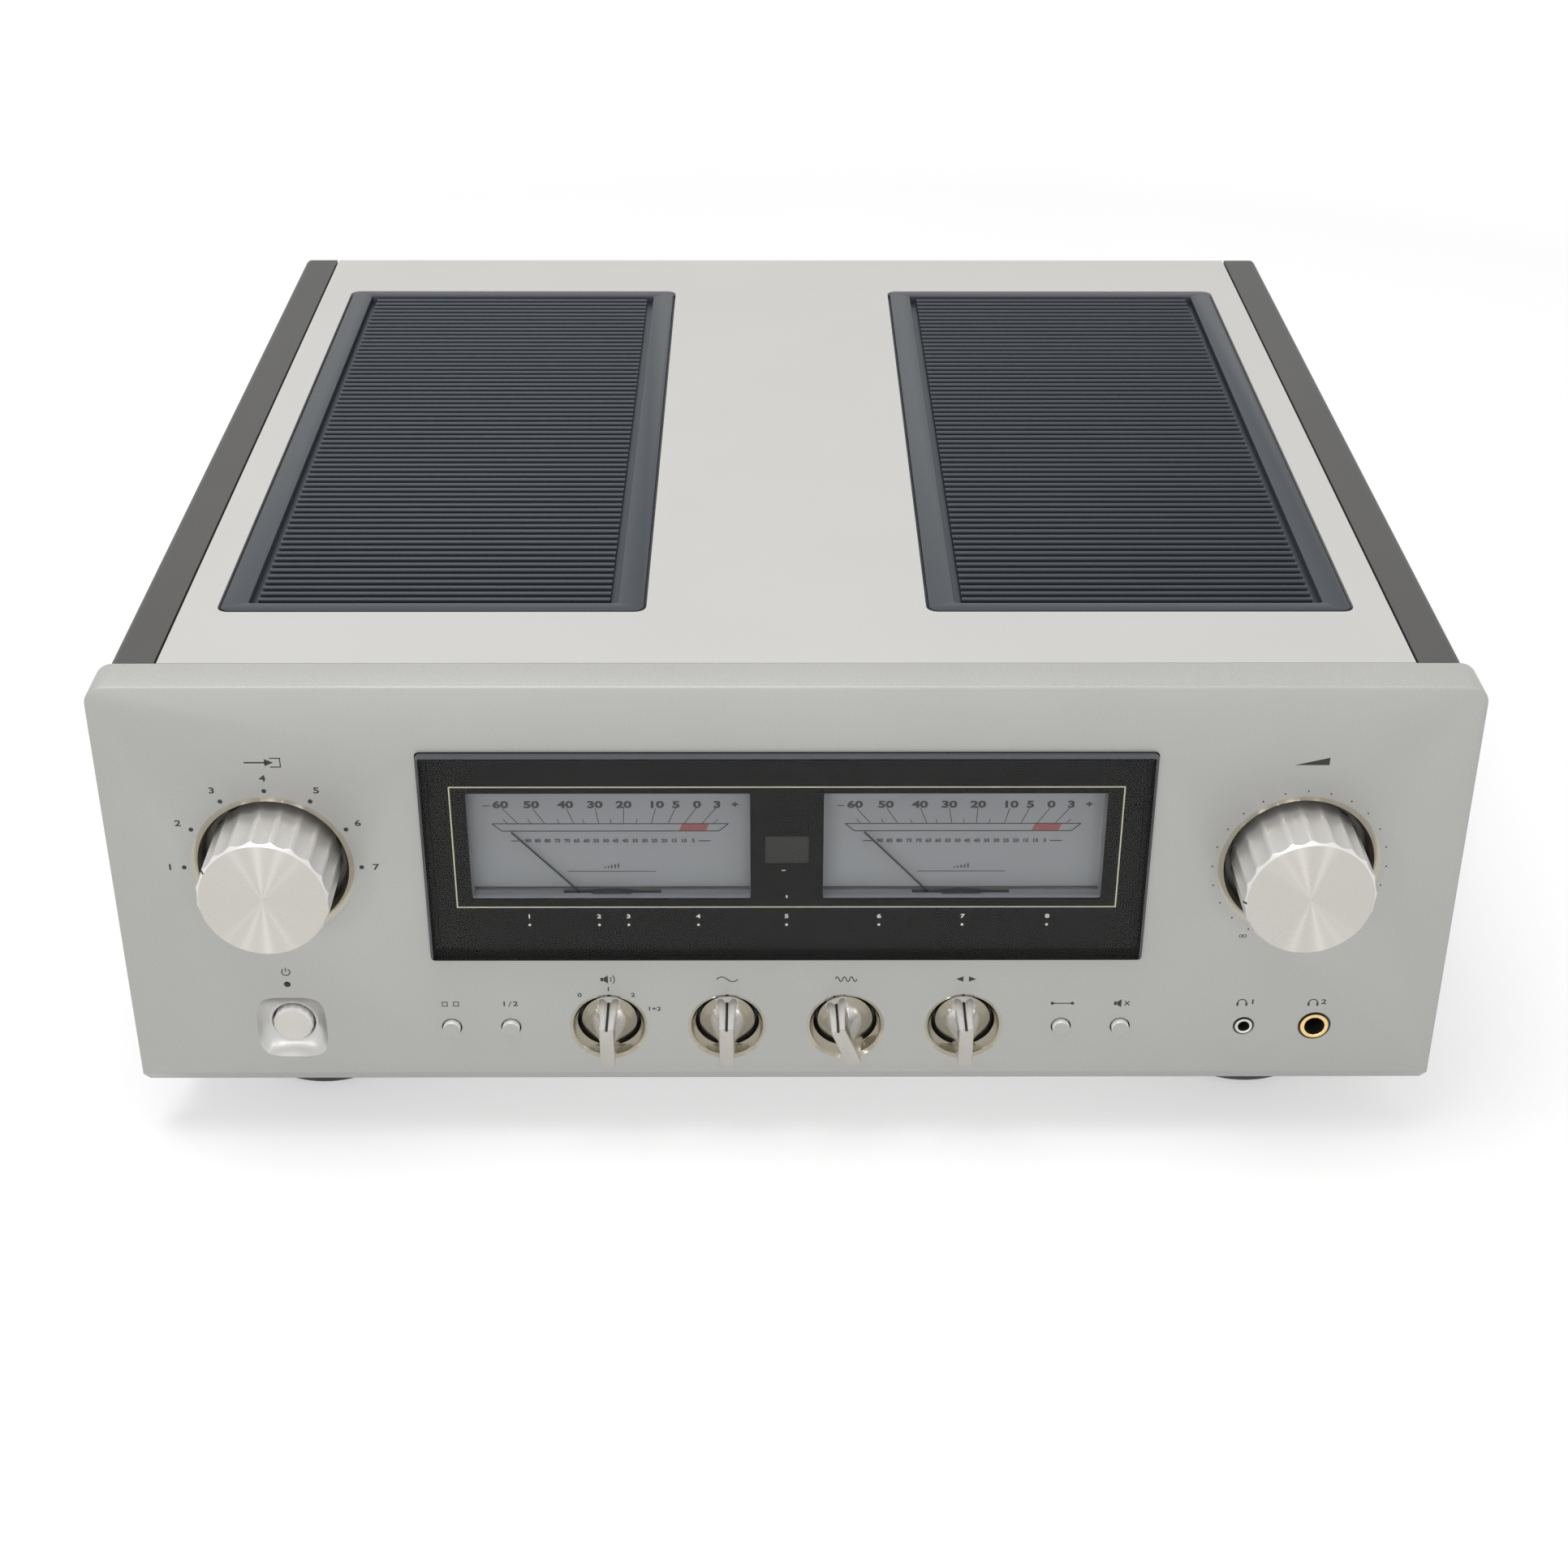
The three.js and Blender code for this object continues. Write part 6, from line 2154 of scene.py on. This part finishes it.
@dataclass
class BalancedSockets:
    """Round three-pole sockets, each in a flange with a latch."""

    places: Sequence[Place] = ((-42, 140), (-42, 98), (-78, 140), (-78, 98))
    flange: Place = (26, 31)
    flange_thickness: float = 2.4
    flange_corner: float = 3.0
    shell: Place = (11.4, 10.5)
    groove: Place = (7.7, 9.4)
    depth: float = 11.0
    hole_ring: float = 3.6
    hole: Place = (1.25, 7.0)
    latch_half: float = 3.2
    latch_z: Place = (11.4, 14.4)
    board: float = 1.6
    board_inset: Place = (1.6, 4.1)

    def socket(self, centre: Place, front: float) -> list[Piece]:
        """Model one flange with its latch, and the shell with its insert.

        Args:
            centre: X and Z of its axis.
            front: Y of the flange's seat on the rear panel.

        Returns:
            Flange, latch and insert.
        """
        (x, z), face, (outer, inner) = centre, front + self.flange_thickness, self.shell
        (core, wall), floor = self.groove, face - self.depth
        half_x, half_z = Vector(self.flange) / 2
        flange = Bench.slab(
            "balanced_flange", (x - half_x, front, z - half_z), (x + half_x, face, z + half_z))
        Bench.corners(flange, self.flange_corner, 5)
        Bench.rim(flange, face, 0.4, 2)
        Bench.carve(flange, Bench.rod(
            "hole", centre, inner + 0.05, (front - OVERRUN, face + OVERRUN), 64))
        low, high = self.latch_z
        latch = Bench.slab(
            "latch", (x - self.latch_half, face - 0.5, z + low),
            (x + self.latch_half, face + 0.9, z + high))
        Bench.rim(latch, face + 0.9, 0.5, 3)
        insert = Bench.turned("insert", [
            (0, floor - self.board), (outer, floor - self.board), (outer, front - 0.05),
            (inner, front - 0.05), (inner, face + 0.2), (wall + 0.2, face + 0.2), (wall, face),
            (wall, floor), (core, floor), (core, face - 0.6), (core - 0.5, face - 0.1),
            (0, face - 0.1)],
            centre, 64)
        radius, deep = self.hole
        Bench.carve(insert, *[
            Bench.rod(
                "pin hole", polar(centre, self.hole_ring, clock), radius, (face - deep, face + 1),
                20)
            for clock in (0, 120, 240)])
        return [
            Bench.paint(flange, Finishes.plastic), Bench.paint(latch, Finishes.nickel),
            Bench.paint(insert, Finishes.plastic, Finishes.nickel, choose=lambda point, normal: int(
                away(point, centre) > wall - 0.05))]

    def build(self) -> list[Piece]:
        """Model one socket, copy it and add the board behind.

        Returns:
            Its pieces.
        """
        box = NodeBox.of("balanced_sockets")
        parts = self.socket(self.places[0], box.high.y - self.flange_thickness)
        side, end = self.board_inset
        board = Bench.slab(
            "board", box.low + Vector((side, 0, end)),
            (box.high.x - side, box.low.y + self.board, box.high.z - end))
        piece = Bench.join("balanced_socket_set", [
            *Bench.copies(parts, self.places), Bench.paint(board, Finishes.board)])
        return [Bench.finish(piece, "black_plastic", "balanced_sockets")]


@dataclass
class PowerInlet:
    """Mains inlet: flange, cavity with two cut corners and three blades."""

    flange_thickness: float = 2.5
    flange_corner: float = 4.0
    cavity: Place = (12.2, 8.3)
    cut: float = 4.2
    wall: float = 1.8
    depth: float = 17.0
    blades: Sequence[Place] = ((-7, -2), (7, -2), (0, 2))
    blade: tuple[float, float, float] = (2.0, 14.0, 4.0)
    screw_shift: float = 19.5
    screw_radius: float = 2.2

    def build(self) -> list[Piece]:
        """Model the inlet and its blades.

        Returns:
            Its pieces.
        """
        box = NodeBox.of("power_inlet")
        (x, z), face = box.front, box.high.y
        floor, (half_x, half_z), cut, wall = face - self.depth, self.cavity, self.cut, self.wall
        inlet = Bench.slab(
            "power_inlet_body", (box.low.x, face - self.flange_thickness, box.low.z), box.high)
        Bench.corners(inlet, self.flange_corner, 6)
        Bench.rim(inlet, face, 0.5, 3)
        Bench.combine(inlet, Bench.slab(
            "body", (x - half_x - wall, floor - wall, z - half_z - wall),
            (x + half_x + wall, face - 1, z + half_z + wall)), "UNION")
        Bench.carve(inlet, Bench.prism("cavity", [(x + u, z + v) for u, v in (
            (-half_x, -half_z), (half_x, -half_z), (half_x, half_z - cut), (half_x - cut, half_z),
            (cut - half_x, half_z), (-half_x, half_z - cut))], (floor, face + OVERRUN)))
        wide, long, tall = self.blade
        blades = []
        for shift, rise in self.blades:
            middle = Vector((x + shift, floor, z + rise))
            blades.append(Bench.slab(
                "blade", middle - Vector((wide / 2, 0.5, tall / 2)),
                middle + Vector((wide / 2, long, tall / 2))))
            Bench.rim(blades[-1], floor + long, 0.6, 2)
        pins = Bench.paint(Bench.join("power_inlet_blades", blades), Finishes.nickel)
        screws = Screws(
            "power_inlet_screws", [(x + sign * self.screw_shift, z) for sign in SIGNS], face - 0.1,
            self.screw_radius)
        return [
            Bench.finish(Bench.paint(inlet, Finishes.plastic), "black_plastic", "power_inlet"),
            Bench.finish(pins, "zinc_steel"), *screws.build()]


@dataclass
class SpeakerTerminals:
    """Block with four plated studs and the turning caps on them."""

    side: str
    posts: Sequence[str] = ("b_minus", "a_minus", "a_plus", "b_plus")
    pitch: float = 24.0
    block_thickness: float = 4.5
    block_corner: float = 3.0
    stud: float = 3.0
    cap: Place = (8.6, 7.2)
    waist_length: float = 6.0
    flutes: int = 18
    flute_depth: float = 0.55
    band: Place = (4.6, 2.0)
    hole: float = 2.0
    ring: Place = (9.7, 0.8)
    sign_rise: float = 11.2
    sign: Place = (2.4, 0.5)

    def block(self) -> list[Piece]:
        """Model the block, its studs and the coloured rings round them.

        Returns:
            The block's pieces.
        """
        node = f"speaker_terminals_{self.side}"
        box = NodeBox.of(node)
        face, z, tip = box.low.y + self.block_thickness, box.middle.z, box.high.y
        block = Bench.slab(f"{node}_block", box.low, (box.high.x, face, box.high.z))
        Bench.corners(block, self.block_corner, 5)
        Bench.rim(block, face, 0.6, 3)
        rings = {
            sign: InkPlate(f"{node}_{sign}_rings", face, rear=True) for sign in ("plus", "minus")}
        studs = []
        for i, post in enumerate(self.posts):
            x = box.middle.x + (i - 1.5) * self.pitch
            studs.append(Bench.turned("stud", [
                (0, face - 0.5), (self.stud, face - 0.5), (self.stud, tip - 0.5),
                (self.stud - 0.5, tip), (0, tip)], (x, z), 28))
            pole = post.split("_")[1]
            rings[pole].arc((-x, z), *self.ring, (0, 360), 40)
            rings[pole].bar((-x, z + self.sign_rise), *self.sign)
            if pole == "plus":
                rings[pole].bar((-x, z + self.sign_rise), *self.sign[::-1])
        pins = Bench.paint(Bench.join(f"{node}_studs", studs), Finishes.gold)
        return [
            Bench.finish(Bench.paint(block, Finishes.plastic), "black_plastic", node),
            Bench.finish(pins, "gold_plate", node),
            rings["plus"].finish(Finishes.red, "lens_red"),
            rings["minus"].finish(Finishes.pale_ink, "dial_grey")]

    def caps(self) -> list[Piece]:
        """Model one fluted cap and copy it to each stud, with a band in the colour of its pole.

        Returns:
            The caps' pieces.
        """
        nodes = [f"speaker_cap_{self.side}_{post}" for post in self.posts]
        box = NodeBox.of(nodes[0])
        centre, back, tip, hole = box.front, box.low.y, box.high.y, self.hole
        (r, waist), bore, step = self.cap, self.stud + 0.3, back + self.waist_length
        low, high = (tip - drop for drop in self.band)
        cap = Bench.turned("cap", [
            (bore, back), (waist - 0.3, back), (waist, back + 0.3), (waist, step - 0.4),
            (r - 0.5, step),
            (r, step + 0.5), (r, low), (r - 0.25, low + 0.2), (r - 0.25, high - 0.2), (r, high),
            (r, tip - 1.2), (r - 1.2, tip), (hole + 0.4, tip), (hole, tip - 0.4), (hole, tip - 4.5),
            (bore, tip - 4.6), (bore, back)], centre, self.flutes * 8)
        Bench.flute(cap, centre, scallops(self.flutes, r, self.flute_depth))
        pieces = Bench.copies([cap], [NodeBox.of(node).front for node in nodes])
        for piece, node, post in zip(pieces, nodes, self.posts):
            piece.name = f"{node}_grip"
            Bench.paint(
                piece, Finishes.gold, Finishes.red if post.endswith("plus") else Finishes.plastic,
                choose=lambda point, normal: int(low < point.y < high and abs(normal.y) < 0.9))
            Bench.finish(piece, "gold_plate", node, body=f"cap_{self.side}_{post}")
        return pieces

    def build(self) -> list[Piece]:
        """Model the block and the caps."""
        return [*self.block(), *self.caps()]


@dataclass
class GroundNut:
    """Knurled nut of the ground terminal."""

    radius: float = 5.0
    bore: float = 2.3
    flutes: int = 22
    flute_depth: float = 0.35

    def build(self) -> list[Piece]:
        """Model the nut.

        Returns:
            Its pieces.
        """
        box = NodeBox.of("ground_nut")
        r, bore, low, high = self.radius, self.bore, box.low.y, box.high.y
        nut = Bench.turned("ground_nut_knurled", [
            (bore, low), (r - 0.8, low), (r - 0.8, low + 1.2), (r, low + 1.5), (r, high - 0.6),
            (r - 0.6, high), (bore + 0.3, high), (bore, high - 0.3), (bore, low)],
            box.front, self.flutes * 6)
        Bench.flute(nut, box.front, scallops(self.flutes, r, self.flute_depth))
        return [Bench.finish(
            Bench.paint(nut, Finishes.gold), "gold_plate", "ground_nut", body="ground_cap")]


@dataclass
class Feet:
    """Four turned iron feet with rubber pads."""

    pad: Place = (23.0, 0.9)
    outline: Sequence[Place] = (
        (25.2, 0.9), (26.8, 1.4), (28.5, 2.9), (29.0, 4.2), (29.0, 9.4), (28.2, 9.8), (28.2, 10.8),
        (29.0, 11.2), (29.0, 15.0), (28.6, 17.2), (27.0, 20.0))

    def build(self) -> list[Piece]:
        """Model one foot and copy it to the other corners.

        Returns:
            Its pieces.
        """
        names = [f"foot_{end}_{side}" for end in ("front", "rear") for side in SIDES]
        middle = NodeBox.of(names[0]).middle
        radius, height = self.pad
        foot = Bench.turned(f"{names[0]}_turned", [
            (0, 0), (radius - 0.6, 0), (radius, height - 0.4), (radius, height), *self.outline,
            (0, self.outline[-1][1])], middle.xy, 72, Axis.Z)
        Bench.paint(foot, Finishes.iron, Finishes.rubber, choose=lambda point, normal: int(
            (point - middle).xy.length < radius + 0.05 and point.z < height - TOUCH))
        feet = [foot] + [
            Bench.duplicate(foot, f"{name}_turned", NodeBox.of(name).middle - middle)
            for name in names[1:]]
        return [Bench.finish(piece, "cast_iron", name) for piece, name in zip(feet, names)]


@dataclass
class RearLegend:
    """Numbers printed on the rear panel, and its screws."""

    screw_inset: float = 6.0
    screw_middle: float = 15.0
    size: float = 2.6
    jack_number_z: float = 111.5
    balanced_drop: float = 18.6
    terminal_drop: float = 3.2
    terminal_shifts: Sequence[tuple[int, float]] = ((2, -36), (1, -12), (1, 12), (2, 36))
    ground_stem: Place = (10.5, 2.6)
    ground_bars: Sequence[Place] = ((9.2, 3.6), (8.4, 2.2), (7.6, 0.9))
    line: float = 0.4

    def numbers(self) -> list[tuple[int, float, float]]:
        """Each number with its X and Z.

        Returns:
            The numbers and their places.
        """
        marks = [(i, x, self.jack_number_z) for i, x in enumerate(SignalJacks.columns, start=1)]
        marks += [
            (i, x, z - self.balanced_drop)
            for i, (x, z) in enumerate(BalancedSockets.places, start=1)]
        for side in SIDES:
            box = NodeBox.of(f"speaker_terminals_{side}")
            marks += [
                (number, box.middle.x + shift, box.low.z - self.terminal_drop)
                for number, shift in self.terminal_shifts]
        return marks

    def build(self) -> list[Piece]:
        """Print the numbers beside the sockets and the ground sign, and drive in the screws.

        Returns:
            Its pieces.
        """
        box = NodeBox.of("rear_panel")
        plane = NodeBox.of("signal_jacks").low.y
        ink = InkPlate("rear_legend", plane + 0.01, rear=True)
        for number, x, z in self.numbers():
            ink.word(str(number), (-x, z), self.size)
        x, z = NodeBox.of("ground_nut").front
        rise, height = self.ground_stem
        ink.bar((-x, z + rise), self.line, height)
        for rise, width in self.ground_bars:
            ink.bar((-x, z + rise), width, self.line)
        low, high, edge = (end - self.screw_inset * way for end, way in (
            (box.low.z, -1), (box.high.z, 1), (box.high.x, 1)))
        places = [
            (sign * x, z) for sign in SIGNS for x, z in (
                (edge, low), (edge, high), (self.screw_middle, high))]
        legend = ink.finish(Finishes.pale_ink, "dial_grey")
        return [legend, *Screws("rear_screws", places, plane).build()]


@dataclass
class Studio:
    """Floor, soft light, pale surround and the camera at the photograph's angle."""

    camera_place: tuple[float, float, float] = (-6.0, -887.195, 544.676)
    pitch: float = 30.5755
    yaw: float = 0.4215
    roll: float = 0.1677
    lens: float = 56.86
    sensor: float = 36.0
    floor_half: float = 6000.0
    floor_finish: Finish = Finish("floor", (0.62, 0.62, 0.62), 0.0, 0.8, 4, 0.002, 0.004, 400, 0.2)
    floor_lift: float = 0.5
    floor_fade: Place = (900, 2400)
    softbox: Place = (1100, 15)
    softbox_run: Sequence[Sequence[float]] = ((-250, -250, 1700), (0, -40, 120))
    tube_line: Place = (-2830, 800)
    tube_aim: Sequence[float] = (0, -227, 111)
    tubes: Sequence[float] = (-1813, -716, 153, 1259)
    tube_size: Place = (36, 420)
    tube_power: float = 4
    surround: float = 0.5

    def camera(self) -> None:
        """Set up the camera."""
        data = bpy.data.cameras.new("photo camera")
        data.lens, data.sensor_width = self.lens, self.sensor
        data.clip_start, data.clip_end = 0.05, 50
        yaw, pitch, roll = (math.radians(a) for a in (self.yaw, self.pitch, self.roll))
        ahead = Vector((
            math.sin(yaw) * math.cos(pitch), math.cos(yaw) * math.cos(pitch), -math.sin(pitch)))
        right = Vector((math.cos(yaw), -math.sin(yaw), 0))
        up = right.cross(ahead)
        rolled_right = right * math.cos(roll) + up * math.sin(roll)
        rolled_up = up * math.cos(roll) - right * math.sin(roll)
        turn = Matrix((rolled_right, rolled_up, -ahead)).transposed()
        bpy.context.scene.camera = self.hang(data, self.camera_place, turn)

    @staticmethod
    def hang(data: bpy.types.ID, place: Sequence[float], turn: Matrix) -> Piece:
        """Put a camera or a lamp in the scene.

        Args:
            data: The camera or lamp.
            place: Where it hangs.
            turn: Its rotation.

        Returns:
            Its object.
        """
        obj = bpy.data.objects.new(data.name, data)
        bpy.context.scene.collection.objects.link(obj)
        obj.matrix_world = Matrix.Translation(Vector(place) * MM) @ turn.to_4x4()
        return obj

    @staticmethod
    def seen_rays(desk: NodeDesk) -> Socket:
        """A socket that is 1 for the rays that show the surround, and not just light by it.

        Args:
            desk: The desk of the tree.

        Returns:
            The socket.
        """
        rays = desk.add("LightPath", {}).outputs
        seen = rays["Is Camera Ray"]
        for name in ("Is Glossy Ray", "Is Transmission Ray"):
            seen = desk.add("Math", {0: seen, 1: rays[name]}, operation="MAXIMUM").outputs["Value"]
        return seen

    def floor(self) -> None:
        """Lay the floor, which fades to white where it is far away."""
        Bench.clear()
        bpy.ops.mesh.primitive_plane_add(size=2 * self.floor_half * MM, location=(0, 0, 0))
        floor = Bench.paint(bpy.context.object, self.floor_finish)
        floor.name = "studio_floor"
        desk = NodeDesk(self.floor_finish.material().node_tree)
        base = desk.nodes["Principled BSDF"].outputs["BSDF"]
        place = desk.add("TexCoord", {}).outputs["Object"]
        far = desk.add("VectorMath", {0: place}, operation="LENGTH").outputs["Value"]
        fade = desk.spread(far, self.floor_lift, 1.0, [edge * MM for edge in self.floor_fade])
        glow = desk.add("Emission", {"Strength": fade}).outputs["Emission"]
        added = desk.add("AddShader", {0: base, 1: glow}).outputs["Shader"]
        mix = desk.add("MixShader", {"Fac": self.seen_rays(desk), 1: base, 2: added})
        desk.output("Material Output", mix.outputs["Shader"])
        floor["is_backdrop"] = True

    def world(self) -> None:
        """Pale surround: white to the eye and to gloss, softer as a light."""
        world = bpy.data.worlds.new("studio")
        bpy.context.scene.world = world
        world.use_nodes = True
        desk = NodeDesk(world.node_tree)
        soft, seen = (
            desk.add("Background", {"Color": (1, 1, 1, 1), "Strength": strength}).outputs[0]
            for strength in (self.surround, 1.0))
        mix = desk.add("MixShader", {"Fac": self.seen_rays(desk), 1: soft, 2: seen})
        desk.output("World Output", mix.outputs["Shader"])

    def lamp(
        self, name: str, place: Sequence[float], aim: Sequence[float], size: Place, power: float
    ) -> None:
        """Hang one soft lamp.

        Args:
            name: The lamp's name.
            place: Where it hangs.
            aim: The point that it faces.
            size: Width and height of its face.
            power: Its power in watts.
        """
        data = bpy.data.lights.new(name, "AREA")
        data.shape = "RECTANGLE"
        data.size, data.size_y, data.energy = size[0] * MM, size[1] * MM, power
        turn = (Vector(aim) - Vector(place)).to_track_quat("-Z", "Y").to_matrix()
        self.hang(data, place, turn)

    def build(self) -> None:
        """Set up the studio."""
        bpy.context.scene.view_settings.view_transform = "Standard"
        self.camera()
        self.floor()
        self.world()
        size, power = self.softbox
        self.lamp("overhead softbox", *self.softbox_run, (size, size), power)
        (y, z), aim = self.tube_line, self.tube_aim
        for number, x in enumerate(self.tubes, start=1):
            self.lamp(f"tube {number}", (x, y, z), aim, self.tube_size, self.tube_power)


def dress_nodes() -> None:
    """Give every carried-over CAD node its finish."""
    plans = (
        (Finishes.cover, "top_cover"), (Finishes.side, "side_panel_left side_panel_right"),
        (Finishes.rear, "rear_panel"), (Finishes.iron, "power_transformer"),
        (Finishes.sleeve, "capacitor_bank"), (Finishes.bare, "heat_sink_left heat_sink_right"),
        (Finishes.board, "amplifier_board control_board"), (Finishes.plastic, "power_switch"),
        (Finishes.steel, "base_chassis input_selector_switch volume_attenuator"
                         " speaker_selector_switch bass_control treble_control balance_control"),
        (Finishes.blades, "needle_left needle_right"), (Finishes.dial, "meter_left meter_right"))
    for finish, names in plans:
        for name in names.split():
            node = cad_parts[name]
            node.data.materials.clear()
            node.data.materials.append(finish.material())


def main() -> None:
    """Build every sub-assembly and report its pieces."""
    logging.basicConfig(level=logging.INFO, format="%(message)s")
    dress_nodes()
    assemblies = [
        FrontPanel(), LargeKnob("input_selector", clock=-60), LargeKnob("volume", clock=-94),
        LeverKnob("speaker_selector", "speaker_selector_switch"), LeverKnob("bass", "bass_control"),
        LeverKnob("treble", "treble_control", clock=-23), LeverKnob("balance", "balance_control"),
        *[PushButton(name) for name in BUTTONS], PowerButton(),
        PhoneSocket("small", collar=3.45, ring=(2.95, 1.9), bore=1.75, bore_depth=15),
        PhoneSocket("large", collar=5.4, ring=(4.75, 3.35), bore=3.2, bore_depth=31),
        Lamp(), Window(), *[Meter(side) for side in SIDES], PanelLegend(),
        *[Grille(side) for side in SIDES], SignalJacks(), BalancedSockets(), PowerInlet(),
        *[SpeakerTerminals(side) for side in SIDES], GroundNut(), Feet(), RearLegend()]
    for assembly in assemblies:
        for piece in assembly.build():
            log.info("%s: %d faces", piece.name, len(piece.data.polygons))
    Studio().build()
    corners = {"cad": CAD_BOX, "visual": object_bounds()}
    {name: [list(corner) for corner in box] for name, box in corners.items()}


if __name__ == "__main__":
    main()
